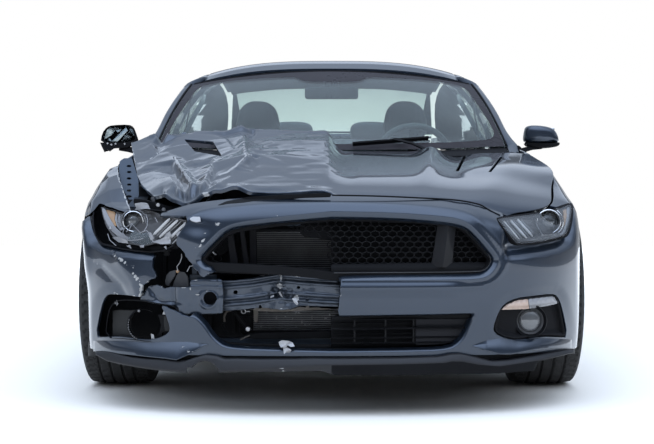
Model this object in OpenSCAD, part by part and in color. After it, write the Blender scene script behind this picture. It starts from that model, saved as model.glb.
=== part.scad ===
/* [Overall] */
// Height of both axle centres above the ground
axle_z = 343; // [343:1:347]
// Front axle position behind the middle of the car (negative is forward)
front_axle_y = -1437; // [-1440:1:-1434]
// Rear axle position
rear_axle_y = 1283; // [1280:1:1286]
/* [Wheels] */
// Outer radius of the tyres
tyre_r = 343; // [338:1:343]
// Width of the front tyres
tyre_w = 250; // [235:1:255]
// Width of the rear tyres
rear_tyre_w = 262; // [245:1:265]
// Rim radius at the bead seat
rim_r = 243; // [236:1:246]
// Distance of the front wheel centre plane from the middle of the car
front_track_half = 791; // [786:1:792]
// Distance of the rear wheel centre plane from the middle of the car
rear_track_half = 822; // [818:1:823]
// Number of spokes
spokes = 5; // [5:1:7]
/* [Panels] */
// Radius of the front wheel arches
arch_f = 388; // [384:1:390]
// Radius of the rear wheel arches
arch_r = 392; // [388:1:394]
// Thickness of the bonnet with its inner frame
hood_t = 16; // [12:1:20]
// Thickness of the wings and bumper covers
skin_t = 10; // [8:1:12]
// Thickness of the doors
door_t = 90; // [80:1:100]
// Height that the bent bonnet stands proud at its damaged rear edge
buckle = 80; // [60:5:90]
/* [Damage] */
// Depth of the bend in the crash beam
beam_bend = 45; // [20:5:60]
// Radius of the towing hole in the crash beam
tow_r = 22; // [20:1:24]

/* [Hidden] */
$fn = 48;
fy = front_axle_y;
ry = rear_axle_y;
paint = [0.24, 0.29, 0.37];
black = [0.06, 0.06, 0.07];
glass = [0.55, 0.68, 0.68, 0.4];

// Body side lines: each station runs from the sill to the bonnet or belt edge, as 8 points x, y, z
RC = [
 [[0,-2345,195],[0,-2352,255],[0,-2382,370],[0,-2392,480],[0,-2388,590],[0,-2378,655],[0,-2345,692],[0,-2272,717]],
 [[250,-2338,195],[250,-2346,255],[250,-2374,370],[250,-2384,480],[250,-2380,590],[250,-2371,652],[250,-2336,687],[248,-2267,709]],
 [[450,-2295,193],[450,-2305,253],[452,-2334,370],[454,-2346,480],[455,-2344,590],[455,-2332,638],[452,-2292,668],[442,-2240,690]],
 [[610,-2222,190],[612,-2234,250],[616,-2262,370],[620,-2272,480],[622,-2260,575],[620,-2234,612],[606,-2200,636],[592,-2165,653]],
 [[742,-2112,187],[746,-2122,250],[752,-2142,370],[760,-2148,480],[764,-2120,578],[756,-2092,620],[734,-2068,650],[711,-2050,668]],
 [[832,-1978,183],[838,-1984,250],[850,-1992,370],[862,-1996,480],[866,-1986,580],[850,-1972,634],[808,-1966,668],[757,-1972,682]],
 [[872,-1850,178],[884,-1850,250],[900,-1850,370],[912,-1850,480],[914,-1850,585],[894,-1850,650],[842,-1850,692],[784,-1850,707]],
 [[892,-1640,176],[905,-1640,262],[922,-1640,370],[934,-1640,490],[936,-1640,600],[916,-1640,672],[870,-1640,724],[814,-1640,749]],
 [[900,-1437,176],[914,-1437,265],[932,-1437,375],[946,-1437,495],[946,-1437,615],[930,-1437,695],[894,-1437,754],[849,-1437,795]],
 [[880,-1150,178],[896,-1150,270],[914,-1150,380],[928,-1150,505],[932,-1150,635],[922,-1150,725],[898,-1150,792],[868,-1150,830]],
 [[866,-800,180],[882,-800,270],[900,-800,380],[912,-800,510],[917,-800,645],[908,-800,748],[880,-800,836],[836,-800,893]],
 [[858,-400,182],[874,-400,270],[890,-400,380],[901,-400,512],[905,-400,655],[894,-400,760],[862,-400,862],[826,-400,930]],
 [[856,100,185],[872,100,270],[888,100,380],[898,100,515],[902,100,658],[890,100,768],[860,100,874],[826,100,945]],
 [[862,550,188],[880,550,272],[898,550,382],[910,550,518],[915,550,664],[902,550,778],[870,550,888],[834,550,960]],
 [[880,900,192],[904,900,275],[924,900,385],[938,900,520],[942,900,672],[928,900,792],[888,900,908],[842,900,984]],
 [[900,1283,200],[926,1283,280],[944,1283,390],[955,1283,530],[957,1283,685],[940,1283,812],[884,1283,934],[822,1283,1010]],
 [[895,1600,212],[916,1600,290],[932,1600,400],[944,1600,540],[946,1600,695],[918,1600,832],[852,1600,956],[782,1600,1034]],
 [[866,1900,226],[888,1900,305],[906,1900,415],[916,1900,550],[916,1900,704],[880,1900,850],[806,1900,982],[740,1900,1056]],
 [[804,2108,235],[826,2128,312],[842,2146,420],[852,2156,556],[850,2152,706],[816,2140,858],[746,2136,998],[686,2128,1068]],
 [[664,2240,240],[684,2268,316],[694,2292,424],[702,2304,560],[700,2300,706],[664,2290,862],[602,2276,1008],[556,2258,1078]],
 [[386,2306,243],[392,2338,320],[396,2364,428],[400,2378,562],[400,2370,706],[388,2355,864],[352,2338,1010],[330,2318,1086]],
 [[0,2318,245],[0,2352,322],[0,2378,430],[0,2392,564],[0,2388,706],[0,2370,865],[0,2354,1010],[0,2334,1090]]];

function mx(p) = [-p[0], p[1], p[2]];
function colj(j) = j < 0 ? [for (p = RC[-j]) mx(p)] : j > 21 ? [for (p = RC[42 - j]) mx(p)] : RC[j];
function cr(a, b, c, d, t) = 0.5 * (2*b + (c - a)*t + (2*a - 5*b + 4*c - d)*t*t + (3*b - a - 3*c + d)*t*t*t);
function cm(P, v) = let (n = len(P) - 1, i = max(0, min(n - 1, floor(v))), t = v - i,
  a = i > 0 ? P[i-1] : 2*P[0] - P[1], d = i < n - 1 ? P[i+2] : 2*P[n] - P[n-1]) cr(a, P[i], P[i+1], d, t);
function ring(u, v) = let (i = floor(u), t = u - i) cr(cm(colj(i-1), v), cm(colj(i), v), cm(colj(i+1), v), cm(colj(i+2), v), t);
function unit(a) = a / max(norm(a), 1e-9);
function rn(u, v) = unit(cross(ring(u+0.02, v) - ring(u-0.02, v), ring(u, v+0.02) - ring(u, v-0.02)));
function lp(a, b, t) = a + (b - a) * t;
// Value of a table [[position, value], ...] at x, smooth through its points
function tab(T, x) = let (n = len(T) - 1, k = max([0, for (i = [0:n-1]) if (x >= T[i][0]) i]),
  t = max(0, min(1, (x - T[k][0]) / (T[k+1][0] - T[k][0]))),
  a = k > 0 ? T[k-1][1] : 2*T[k][1] - T[k+1][1], d = k < n - 1 ? T[k+2][1] : 2*T[k+1][1] - T[k][1]) cr(a, T[k][1], T[k+1][1], d, t);
function sstep(a, b, x) = let (t = max(0, min(1, (x - a) / (b - a)))) t*t*(3 - 2*t);
function bump(x, y, x0, y0, rx, ry_, h) = h * exp(-pow((x - x0)/rx, 2) - pow((y - y0)/ry_, 2));

module slab(A, B) {
  nu = len(A) - 1; nv = len(A[0]) - 1; m = nv + 1; o = (nu + 1) * m;
  pts = concat([for (r = A) for (p = r) p], [for (r = B) for (p = r) p]);
  function q(a, b, c, d) = [[a, b, c], [a, c, d]];
  fs = concat(
    [for (i = [0:nu-1]) for (j = [0:nv-1]) for (f = q(i*m+j, i*m+j+1, (i+1)*m+j+1, (i+1)*m+j)) f],
    [for (i = [0:nu-1]) for (j = [0:nv-1]) for (f = q(o+i*m+j, o+(i+1)*m+j, o+(i+1)*m+j+1, o+i*m+j+1)) f],
    [for (i = [0:nu-1]) for (f = q(i*m, (i+1)*m, o+(i+1)*m, o+i*m)) f],
    [for (i = [0:nu-1]) for (f = q((i+1)*m+nv, i*m+nv, o+i*m+nv, o+(i+1)*m+nv)) f],
    [for (j = [0:nv-1]) for (f = q(j+1, j, o+j, o+j+1)) f],
    [for (j = [0:nv-1]) for (f = q(nu*m+j, nu*m+j+1, o+nu*m+j+1, o+nu*m+j)) f]);
  polyhedron(pts, fs, convexity = 6);
}
// A piece of the body skin, its back face set in along the surface normal
module skin(u0, u1, nu, v0, v1, nv, t, off = 0) {
  slab([for (i = [0:nu]) let (u = lp(u0, u1, i/nu)) [for (j = [0:nv]) let (v = lp(v0, v1, j/nv)) ring(u, v) - off * rn(u, v)]],
       [for (i = [0:nu]) let (u = lp(u0, u1, i/nu)) [for (j = [0:nv]) let (v = lp(v0, v1, j/nv)) ring(u, v) - (off + t) * rn(u, v)]]);
}
// The same with the back face set straight inward, for doors and quarter panels
module wall(u0, u1, nu, v0, v1, nv, t, ttop) {
  slab([for (i = [0:nu]) let (u = lp(u0, u1, i/nu)) [for (j = [0:nv]) ring(u, lp(v0, v1, j/nv))]],
       [for (i = [0:nu]) let (u = lp(u0, u1, i/nu)) [for (j = [0:nv]) let (v = lp(v0, v1, j/nv)) ring(u, v) - [lp(t, ttop, sstep(4.5, 7, v)), 0, 0]]]);
}
// The same with the back face set in by one fixed step
module block(u0, u1, nu, v0, v1, nv, off, step) {
  A = [for (i = [0:nu]) let (u = lp(u0, u1, i/nu)) [for (j = [0:nv]) let (v = lp(v0, v1, j/nv)) ring(u, v) - off * rn(u, v)]];
  slab(A, [for (c = A) [for (p = c) p + step]]);
}
// Evaluates a group as one meshed piece
module shaped() { resize([0, 0, 0]) children(); }
module front_cut(pts, y0 = -2600, y1 = -1500) { translate([0, y1, 0]) rotate([90, 0, 0]) linear_extrude(y1 - y0) polygon(pts); }
module side_cut(pts, x0, x1) { translate([x0, 0, 0]) rotate([90, 0, 90]) linear_extrude(x1 - x0) polygon(pts); }
module plan_cut(pts, z0, z1) { translate([0, 0, z0]) linear_extrude(z1 - z0) polygon(pts); }
module arches(r, y, x0 = 560, rr = 0) { for (s = [-1, 1]) translate([s * (x0 + 270), y, axle_z - 3]) rotate([0, 90, 0]) cylinder(r = r, h = 540, center = true, $fn = 64); }
function shrink(P, c, k) = [for (p = P) c + (p - c) * k];
function flip(P) = [for (p = P) [-p[0], p[1]]];

// Outlines in the front view, x and z
GRILLE = [[0,662],[150,660],[300,650],[370,643],[415,634],[465,606],[520,540],[532,520],[526,496],[500,468],[470,456],[300,452],[0,449]];
GRILLE_IN = [[0,646],[150,644],[300,635],[366,628],[405,619],[450,594],[500,532],[510,516],[504,500],[482,478],[455,468],[300,465],[0,462]];
LOWER = [[0,328],[250,330],[440,334],[478,336],[462,300],[440,262],[415,238],[385,226],[300,220],[0,214]];
LAMP = [[538,634],[562,644],[640,652],[711,662],[756,676],[800,683],[842,690],[847,660],[846,635],[838,596],[818,570],[780,560],[720,555],[625,551],[604,556],[592,568]];
FOG = [[553,350],[566,372],[600,386],[700,398],[752,400],[772,394],[790,360],[806,310],[818,256],[760,252],[700,250],[620,243],[575,252],[538,268],[534,284]];
function whole(P) = concat(P, [for (i = [len(P)-1:-1:0]) if (P[i][0] > 0) [-P[i][0], P[i][1]]]);

// Torn area of the bumper cover on the damaged side, x and z
TEAR = [[25,441],[25,330],[-30,312],[-120,322],[-210,316],[-262,325],[-300,300],[-335,322],[-395,345],[-455,338],[-520,352],[-560,392],[-575,372],[-625,380],[-660,352],[-695,362],[-640,432],[-600,450],[-625,500],[-612,552],[-560,560],[-548,520],[-500,500],[-478,455],[-430,441],[-300,446],[-150,440]];

module front_bumper() {
  color(paint) shaped() difference() {
    skin(-6.3, 6.3, 46, 0, 6.88, 11, skin_t);
    front_cut(whole(GRILLE));
    front_cut(whole(LOWER));
    for (m = [0, 1]) mirror([m, 0, 0]) {
      front_cut(concat([[528,640],[556,900],[838,900]], [for (i = [6:15]) LAMP[i]], [[535,630]]), -2600, -1500);
      front_cut(FOG);
      side_cut([[-1884,1000],[-1886,692],[-1834,600],[-1808,470],[-1808,100],[-1500,100],[-1500,1000]], 500, 1100);
    }
    arches(arch_f, fy);
    front_cut(TEAR);
    front_cut([[-260,190],[-300,235],[-345,222],[-380,238],[-420,190]]);
  }
}
module chin_lip() {
  function L(u, k) = let (p = ring(u, 0), n = rn(u, 0.2), h = unit([n[0], n[1], 0]), e = 1 - 0.55*sstep(3.5, 6, abs(u)), o = [16, 20, -14, -30][k]*e, z = [p[2] - 5, p[2] - 20, p[2] - 30, lp(138, 134, sstep(3, 5, abs(u)))][k]) [p[0] + h[0]*o, p[1] + h[1]*o, z];
  color(black) shaped() difference() {
    slab([for (i = [0:40]) let (u = lp(-5.95, 5.95, i/40)) [for (k = [3:-1:0]) L(u, k)]],
         [for (i = [0:40]) let (u = lp(-5.95, 5.95, i/40), h = unit([rn(u, 0.2)[0], rn(u, 0.2)[1], 0])) [for (k = [3:-1:0]) L(u, k) - 22*h]]);
    front_cut([[-300,120],[-310,150],[-345,172],[-385,176],[-425,150],[-432,120]]);
  }
}
module grilles() {
  color(black) shaped() union() {
    intersection() { skin(-0.2, 2.9, 14, 3.0, 6.4, 6, 14, 46); front_cut([for (p = shrink(GRILLE_IN, [0, 552], 0.985)) if (true) p]); }
    difference() {
      skin(-2.95, 2.95, 22, 2.7, 6.5, 9, 18, 30);
      front_cut(whole(shrink(GRILLE_IN, [0, 556], 0.94)));
      difference() { front_cut([[-900,100],[900,100],[900,900],[-900,900]], -2700, -1400); front_cut(whole(shrink(GRILLE, [0, 556], 0.982))); }
    }
    intersection() { skin(-0.2, 2.6, 12, 0.2, 1.8, 3, 12, 60); front_cut(shrink(LOWER, [0, 270], 0.97)); }
  }
}
module headlight(broken) {
  color([0.6, 0.6, 0.62]) shaped() intersection() {
    block(2.4, 6.35, 18, 3.2, 6.5, 8, broken ? 30 : 3, broken ? [-24, 50, -26] : [-30, 60, -30]);
    front_cut(shrink(LAMP, [710, 615], 0.975), -2600, -1700);
    side_cut([[-2500,300],[-2500,695],[-1990,668],[-1893,684],[-1840,604],[-1840,300]], 400, 1000);
  }
}
module fog_lamps() {
  color(black) {
    shaped() intersection() { skin(2.6, 5.5, 14, 0.3, 3, 6, 12, 48); front_cut(shrink(FOG, [680, 320], 0.97), -2600, -1700); }
    shaped() difference() {
      intersection() { mirror([1,0,0]) skin(2.6, 5.5, 14, 0.3, 3, 6, 12, 48); front_cut(flip(shrink(FOG, [680, 320], 0.97)), -2600, -1700); }
      translate([-655, -1900, 312]) rotate([90, 0, 0]) cylinder(r = 52, h = 600, $fn = 32);
      front_cut([[-600,392],[-660,402],[-700,380],[-690,340],[-640,346]]);
    }
  }
}
module fender() {
  color(paint) shaped() difference() {
    intersection() {
      skin(4.95, 10.02, 24, 0.02, 6.9, 11, skin_t);
      side_cut([[-1996,688],[-1888,698],[-1828,602],[-1802,472],[-1802,120],[-828,120],[-828,1000],[-1996,1000]], 500, 1100);
    }
    arches(arch_f, fy);
    side_cut([[-1600,100],[-1600,330],[-1118,330],[-1118,180],[-700,180],[-700,100]], 500, 1100);
  }
}
function hood_z(s, t) = let (a = abs(s), zc = tab([[0,716],[0.1,748],[0.2,772],[0.4,812],[0.6,848],[0.8,880],[1,904]], t),
  ze = tab([[0,652],[0.085,668],[0.143,682],[0.23,707],[0.385,749],[0.533,795],[0.744,830],[1,893]], t),
  x = a * hood_xe(t), xr = lp(300, 420, t), xo = tab([[0,500],[0.75,738],[1,790]], t))
  ze + (zc - ze) * (1 - pow(a, 2.4)) + lp(4, 24, t*t) * exp(-pow((x - xr)/48, 2)) - 22*t*t*exp(-pow((x - xr - 105)/62, 2)) + 9 * exp(-pow((x - xo)/75, 2)) * (1 - pow(a, 8));
function hood_xe(t) = tab([[0,586],[0.085,705],[0.143,750],[0.23,777],[0.385,807],[0.533,842],[0.744,856],[0.9,839],[1,821]], t);
// Buckling of the bonnet on its damaged side
function dent(x, y) = let (m = 1 - sstep(-60, 40, x), w = 1 - sstep(-2250, -1500, y))
  m * (buckle * (1 - 0.9*w) * (0.55 + 0.45*sin(x/3.1 + 40)) + bump(x, y, -330, -1750, 130, 170, -38) + bump(x, y, -560, -1500, 90, 240, 30) + bump(x, y, -240, -1150, 60, 260, 34) + bump(x, y, -700, -1250, 110, 260, 26) + bump(x, y, -130, -1550, 120, 160, -20));
function hood_p(s, t) = let (a = abs(s), x = s * hood_xe(t), y = lp(-2260 + 104*pow(a, 4), -812 - 16*a*a, t), k = s < 0 ? sstep(0, 0.4, a) : 0,
   xin = x + k * 62 * (1 - t) * sstep(0.1, 0.6, 1 - t)) [xin, y + (s < 0 ? 26*sstep(0.1, 0.8, a)*(1 - t) : 0), hood_z(s, t) + dent(x, y)];
module hood() {
  N = 30; M = 18;
  A = [for (i = [0:N]) [for (j = [0:M]) hood_p(-1 + 2*i/N, j/M)]];
  color(paint) shaped() difference() {
    slab(A, [for (i = [0:N]) [for (j = [0:M]) A[i][j] - [0, 0, (i == 0 || i == N || j == 0) ? 8 : hood_t]]]);
    plan_cut([[-520,-905],[-415,-905],[-440,-1040],[-545,-1040]], 700, 1150);
  }
}
function wind(s, t) = let (x = s*lp(764, 665, t), y = lp(-752 + 150*s*s, -45 + 60*s*s, t), z = lp(908 + 22*s*s, 1308 - 60*s*s, t)) [x, y, z] + 26*4*t*(1-t)*[0, -0.5, 0.87];
module windshield() {
  A = [for (i = [0:14]) [for (j = [0:6]) wind(-0.995 + 1.99*i/14, 0.005 + 0.985*j/6)]];
  color(glass) slab(A, [for (c = A) [for (p = c) p - [0, -2.4, 5]]]);
}
function roof(s, t) = let (a = pow(abs(s), 2.3), zc = tab([[0,1318],[0.1,1347],[0.25,1371],[0.45,1381],[0.65,1378],[0.85,1355],[1,1330]], t),
  ze = tab([[0,1266],[0.1,1293],[0.25,1322],[0.45,1336],[0.65,1330],[0.85,1308],[1,1290]], t))
  [s*lp(606, 566, t), lp(-25 + 60*s*s, 1090 - 50*s*s, t), lp(zc, ze, a)];
module roof_panel() {
  A = [for (i = [0:14]) [for (j = [0:9]) roof(-1 + 2*i/14, 0.005 + 0.99*j/9)]];
  color(paint) slab(A, [for (c = A) [for (p = c) p - [0, 0, 10]]]);
}
function rearw(s, t) = let (x = s*lp(545, 600, t), y = lp(1108 - 55*s*s, 1800 - 120*s*s, t), z = lp(1322 - 42*s*s, 1088 - 14*s*s, t)) [x, y, z] + 22*4*t*(1-t)*[0, 0.32, 0.95];
module rear_window() {
  A = [for (i = [0:12]) [for (j = [0:6]) rearw(-0.985 + 1.97*i/12, 0.01 + 0.98*j/6)]];
  color(glass) slab([for (i = [0:12]) A[i]], [for (c = A) [for (p = c) p - [0, 0, 5]]]);
}
// Upper edge of the quarter panel, along the roof and then the rear window
RE = [[484,[612,484,1318]],[700,[606,700,1322]],[900,[596,900,1306]],[1050,[590,1050,1280]],[1200,[590,1200,1244]],[1400,[600,1400,1186]],[1600,[616,1600,1118]],[1700,[628,1700,1084]],[1850,[636,1850,1072]],[2000,[628,2000,1072]],[2200,[600,2200,1078]]];
function re_at(y) = let (T = RE, k = max([0, for (i = [0:len(T)-2]) if (y >= T[i][0]) i]), t = max(0, min(1, (y - T[k][0])/(T[k+1][0] - T[k][0])))) lp(T[k][1], T[k+1][1], t);
function sail(u, k) = let (b = ring(u, 7), e = re_at(b[1]), h = max(0, (e[2] - b[2]) / 330)) lp(b, [e[0], b[1], max(e[2], b[2] + 6)], k) + [30*h*sin(180*k), 0, 8*h*sin(180*k)];
module quarter(sgn) {
  NU = 24; NV = 8; NK = 4;
  A = [for (i = [0:NU]) let (u = lp(12.82, 18.35, i/NU)) concat([for (j = [0:NV]) ring(u, lp(0.02, 7, j/NV))], [for (k = [1:NK]) sail(u, k/NK)])];
  B = [for (i = [0:NU]) let (u = lp(12.82, 18.35, i/NU)) concat([for (j = [0:NV]) let (v = lp(0.02, 7, j/NV)) ring(u, v) - [lp(56, 30, sstep(4.5, 7, v)), 0, lp(0, 10, sstep(5, 7, v))]], [for (k = [1:NK]) sail(u, k/NK) - [28*(1 - 0.6*k/NK), 0, 12 + 12*k/NK]])];
  mirror([sgn < 0 ? 1 : 0, 0, 0]) shaped() difference() {
    slab(A, B);
    side_cut([[300,100],[300,1500],[489,1500],[489,268],[940,268],[940,100]], 400, 1100);
    side_cut(QG, 400, 1000);
    side_cut([[1640,100],[1672,440],[1700,470],[1900,640],[2062,700],[2300,700],[2300,100]], 400, 1100);
    side_cut([[2065,695],[2068,860],[2085,1020],[2400,1020],[2400,695]], 400, 1100);
    arches(arch_r, ry);
    plan_cut([[100,1822],[622,1822],[612,2400],[100,2400]], 900, 1300);
  }
}
QG = [[520,985],[520,1255],[640,1262],[780,1240],[900,1170],[985,1075],[960,1030]];
module quarter_panels() { color(paint) { quarter(1); quarter(-1); } }
module quarter_glass() {
  color(glass) for (m = [0, 1]) mirror([m, 0, 0]) shaped() intersection() {
    slab([for (i = [0:12]) let (u = lp(12.9, 14.6, i/12)) [for (k = [0:6]) sail(u, k/6) - [9, 0, 2]]],
         [for (i = [0:12]) let (u = lp(12.9, 14.6, i/12)) [for (k = [0:6]) sail(u, k/6) - [14, 0, 4]]]);
    side_cut(shrink(QG, [740, 1140], 0.96), 400, 1000);
  }
}
// Windscreen pillars and cant rails: outer and inner line of each, from the scuttle to the rear edge of the door
PO = concat([[786,-648,896]], [for (t = [0:0.25:1]) wind(1, t) + [19, 6, -8]], [[662,250,1282],[650,472,1292]]);
PI = concat([[770,-636,884]], [for (t = [0:0.25:1]) wind(1, t) + [5, 17, -25]], [[626,250,1312],[622,472,1322]]);
module bar(a, b, c, d, w = 14) { hull() { translate(a) cube(w, center = true); translate(b) cube(w, center = true); translate(c) cube(w, center = true); translate(d) cube(w, center = true); } }
module pillar_frame() {
  color(paint) shaped() union() {
    for (m = [0, 1]) mirror([m, 0, 0]) {
      for (i = [0:6]) bar(PO[i], PI[i], PO[i+1], PI[i+1]);
      for (i = [0:3]) let (p = [660 - 165*i, 50 - 12*i, [1222, 1243, 1257, 1264][i]], q = [660 - 165*(i+1), 50 - 12*(i+1), [1243, 1257, 1264, 1266][i]]) bar(p, p + [0, 40, 4], q, q + [0, 40, 4], 14);
      bar([786,-648,896], [770,-636,884], [776,-720,878], [770,-680,862], 18);
      bar([776,-720,878], [770,-680,862], [-4,-800,858], [-4,-764,854], 14);
    }
  }
}
module door() {
  color(paint) shaped() intersection() {
    wall(9.9, 12.95, 18, 0.95, 6.96, 10, door_t, 26);
    side_cut([[-818,272],[-818,800],[-806,1000],[478,1000],[478,272]], 500, 1100);
  }
}
function glass_top(y) = tab([[-595,[799,936]],[-455,[773,994]],[-303,[749,1082]],[-146,[725,1156]],[20,[701,1218]],[250,[677,1262]],[472,[665,1272]]], y);
module door_glass() {
  Y = [for (i = [0:14]) -590 + 1062*i/14];
  A = [for (y = Y) let (b = tab([[-600,[812,926]],[-300,[810,938]],[0,[810,948]],[300,[812,957]],[480,[814,963]]], y), e = glass_top(y))
    [for (k = [0:5]) [lp(b[0], e[0], k/5) + 14*sin(36*k)*min(1, (e[1]-b[1])/250), y, lp(b[1], e[1], k/5)]]];
  color(glass) shaped() slab(A, [for (c = A) [for (p = c) p - [5, 0, 0]]]);
}
module trunk_lid() {
  K = [[600,1828,0,1079],[592,1980,0,1084],[580,2150,-12,1090],[566,2290,-52,1098],[560,2338,-72,1101],[548,2344,-74,1080],[470,2352,-52,1000],[424,2374,-30,884]];
  A = [for (i = [0:16]) let (s = -1 + i/8) [for (k = K) [s*k[0]*0.992, k[1] + k[2]*s*s, k[3] - 4*s*s]]];
  B = [for (i = [0:16]) let (s = -1 + i/8) [for (n = [0:7]) A[i][n] + (n < 4 ? [0, 0, -14] : n == 4 ? [0, -14, -14] : [0, -14, 0])]];
  color(paint) shaped() slab([for (i = [0:16]) A[i]], B);
}
module rear_bumper() {
  color(paint) shaped() difference() {
    skin(15.7, 26.3, 34, 0, 4.78, 8, skin_t + 2);
    for (m = [0, 1]) mirror([m, 0, 0]) side_cut([[1300,90],[1645,90],[1678,436],[1706,466],[1905,636],[2073,694],[2073,1000],[1300,1000]], 500, 1100);
    arches(arch_r + 2, ry);
    for (s = [-1, 1]) translate([s*560, 2200, 268]) rotate([-90, 0, 0]) cylinder(r = 58, h = 300);
    translate([-172, 2200, 486]) cube([344, 300, 172]);
  }
  // Bare carrier for the rear plate in its recess
  color(black) difference() {
    translate([-152, 2362, 496]) cube([304, 8, 152]);
    for (s = [-1, 1]) translate([s*89, 2300, 625]) rotate([-90, 0, 0]) cylinder(r = 3.5, h = 100);
  }
}
module tail_lamps() {
  color([0.5, 0.05, 0.05]) for (m = [0, 1]) mirror([m, 0, 0]) shaped() difference() {
    skin(18.05, 19.6, 10, 4.92, 6.1, 5, 40, 3);
    side_cut([[1900,600],[1900,1100],[2090,1100],[2074,880],[2071,600]], 500, 1100);
    plan_cut([[100,1800],[494,1800],[494,2500],[100,2500]], 600, 1200);
  }
}
module side_skirts() {
  color(paint) for (m = [0, 1]) mirror([m, 0, 0]) shaped() difference() {
    wall(8.4, 14.6, 18, 0, 0.94, 2, 60, 60);
    side_cut([[-1600,100],[-1600,400],[-1114,400],[-1112,100]], 500, 1100);
    side_cut([[-1120,176],[-1120,400],[-818,400],[-818,262],[-824,176]], 500, 1100);
    side_cut([[934,100],[934,400],[1300,400],[1300,100]], 500, 1100);
    side_cut([[484,400],[484,262],[1300,262],[1300,400]], 500, 1100);
    arches(arch_f + 4, fy);
    arches(arch_r + 4, ry);
  }
}
module floor_pan() {
  color([0.13, 0.13, 0.14]) union() {
    difference() { translate([-785, -960, 196]) cube([1570, 1810, 16]); translate([-790, -961, 190]) cube([30, 100, 40]); translate([760, -961, 190]) cube([30, 100, 40]); }
    translate([-92, -960, 205]) cube([184, 1810, 215]);
    translate([-735, -960, 205]) cube([1470, 14, 625]);
    translate([-650, 836, 205]) cube([1300, 14, 185]);
    translate([-632, 836, 376]) cube([1264, 1314, 14]);
    translate([-560, 1372, 380]) cube([1120, 14, 640]);
    translate([-560, 1372, 1006]) cube([1120, 380, 14]);
    for (s = [-1, 1]) for (y = [-700, 640]) translate([s*740 - 30, y - 40, 168]) cube([60, 80, 34]);
  }
}
module front_structure() {
  color([0.16, 0.18, 0.21]) union() {
    for (s = [-1, 1]) {
      translate([s*425 - 35, -2200, 330]) cube([70, 1226, 110]);
      translate([s*425 - 45, -2210, 320]) cube([90, 12, 130]);
      side_cut([[-1960,435],[-1960,636],[-1660,696],[-974,778],[-974,435]], s*455 - 6, s*455 + 6);
      translate([s*700 - 25, -1850, 640]) rotate([8.8, 0, 0]) cube([50, 878, 34]);
      translate([s > 0 ? 455 : -610, -1530, 706]) cube([155, 190, 60]);
      translate([s > 0 ? 455 : -690, -1830, 646]) cube([235, 30, 30]);
      translate([s > 0 ? 455 : -690, -1004, 744]) cube([235, 30, 34]);
    }
    translate([-560, -2010, 600]) cube([1120, 24, 36]);
    translate([-470, -2206, 612]) cube([940, 30, 34]);
    for (s = [-1, 1]) translate([s*455 - 8, -2190, 440]) cube([16, 200, 200]);
    translate([-470, -2200, 214]) cube([940, 40, 24]);
    for (s = [-1, 1]) translate([s*440 - 8, -2200, 230]) cube([16, 40, 110]);
  }
}
module bumper_beam() {
  // Bent box beam seen from above, with its crush plates
  B = [[-545,-2226],[-534,-2262],[-440,-2306],[-340,-2306],[-170,-2310],[-110,-2310 + beam_bend],[-60,-2306],[60,-2316],[300,-2306],[430,-2292],[545,-2256],[545,-2216],[430,-2246],[300,-2258],[60,-2262],[-60,-2252],[-110,-2252 + beam_bend],[-170,-2252],[-300,-2258],[-420,-2250],[-500,-2216]];
  color([0.24, 0.28, 0.34]) difference() {
    union() { plan_cut(B, 338, 432); }
    translate([-394, -2276, 385]) rotate([90, 0, 0]) cylinder(r = tow_r, h = 120);
  }
}
module radiator() {
  color([0.2, 0.2, 0.2]) difference() {
    union() { translate([-262, -2150, 246]) cube([524, 60, 356]); for (s = [-1, 1]) translate([s*285 - 22, -2156, 246]) cube([44, 72, 356]); }
  }
}
module engine_block() { color([0.3, 0.3, 0.31]) translate([-270, -1900, 300]) cube([540, 620, 400]); }
module front_seats() {
  color([0.1, 0.1, 0.11]) for (s = [-1, 1]) translate([s*367, 0, 0]) shaped() union() {
    hull() for (x = [-214, 214]) { translate([x, 90, 300]) sphere(40, $fn = 14); translate([x, 90, 430]) sphere(40, $fn = 14); translate([x, 520, 280]) sphere(40, $fn = 14); translate([x, 520, 395]) sphere(40, $fn = 14); }
    hull() for (x = [-1, 1]) { translate([x*215, 520, 400]) sphere(50, $fn = 14); translate([x*180, 690, 960]) sphere(40, $fn = 14); }
    hull() for (x = [-1, 1]) { translate([x*95, 700, 1010]) sphere(38, $fn = 14); translate([x*80, 722, 1160]) sphere(34, $fn = 14); }
    translate([-40, 690, 940]) cube([80, 24, 90]);
    translate([-200, 100, 213]) cube([400, 420, 60]);
  }
}
module rear_bench() {
  color([0.1, 0.1, 0.11]) shaped() union() {
    hull() for (x = [-560, 560]) { translate([x, 900, 430]) sphere(36, $fn = 12); translate([x, 900, 500]) sphere(36, $fn = 12); translate([x, 1300, 430]) sphere(36, $fn = 12); translate([x, 1300, 460]) sphere(36, $fn = 12); }
    hull() for (x = [-540, 540]) { translate([x, 1240, 480]) sphere(40, $fn = 12); translate([x*0.94, 1335, 1030]) sphere(30, $fn = 12); }
    for (s = [-1, 1]) hull() for (x = [-110, 110]) { translate([s*300 + x, 1330, 1020]) sphere(28, $fn = 12); translate([s*300 + x*0.8, 1340, 1085]) sphere(26, $fn = 12); }
  }
}
module dashboard() {
  color([0.12, 0.12, 0.13]) difference() {
    side_cut([[-650,700],[-650,850],[-600,896],[-430,912],[-330,880],[-300,780],[-330,640],[-600,560],[-650,560]], -690, 690);
    side_cut([[-1000,400],[-1000,700],[-560,700],[-400,540],[-400,400]], -700, -160);
    side_cut([[-1000,400],[-1000,700],[-560,700],[-400,540],[-400,400]], 160, 700);
  }
}
module steering_wheel() {
  color([0.08, 0.08, 0.08]) translate([380, -150, 882]) rotate([-65, 0, 0]) union() {
    rotate_extrude() translate([172, 0]) circle(r = 15);
    cylinder(r = 52, h = 40, center = true);
    for (a = [0, 180, 270]) rotate([0, 0, a]) translate([40, -14, -8]) cube([128, 28, 16]);
  }
}
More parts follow.
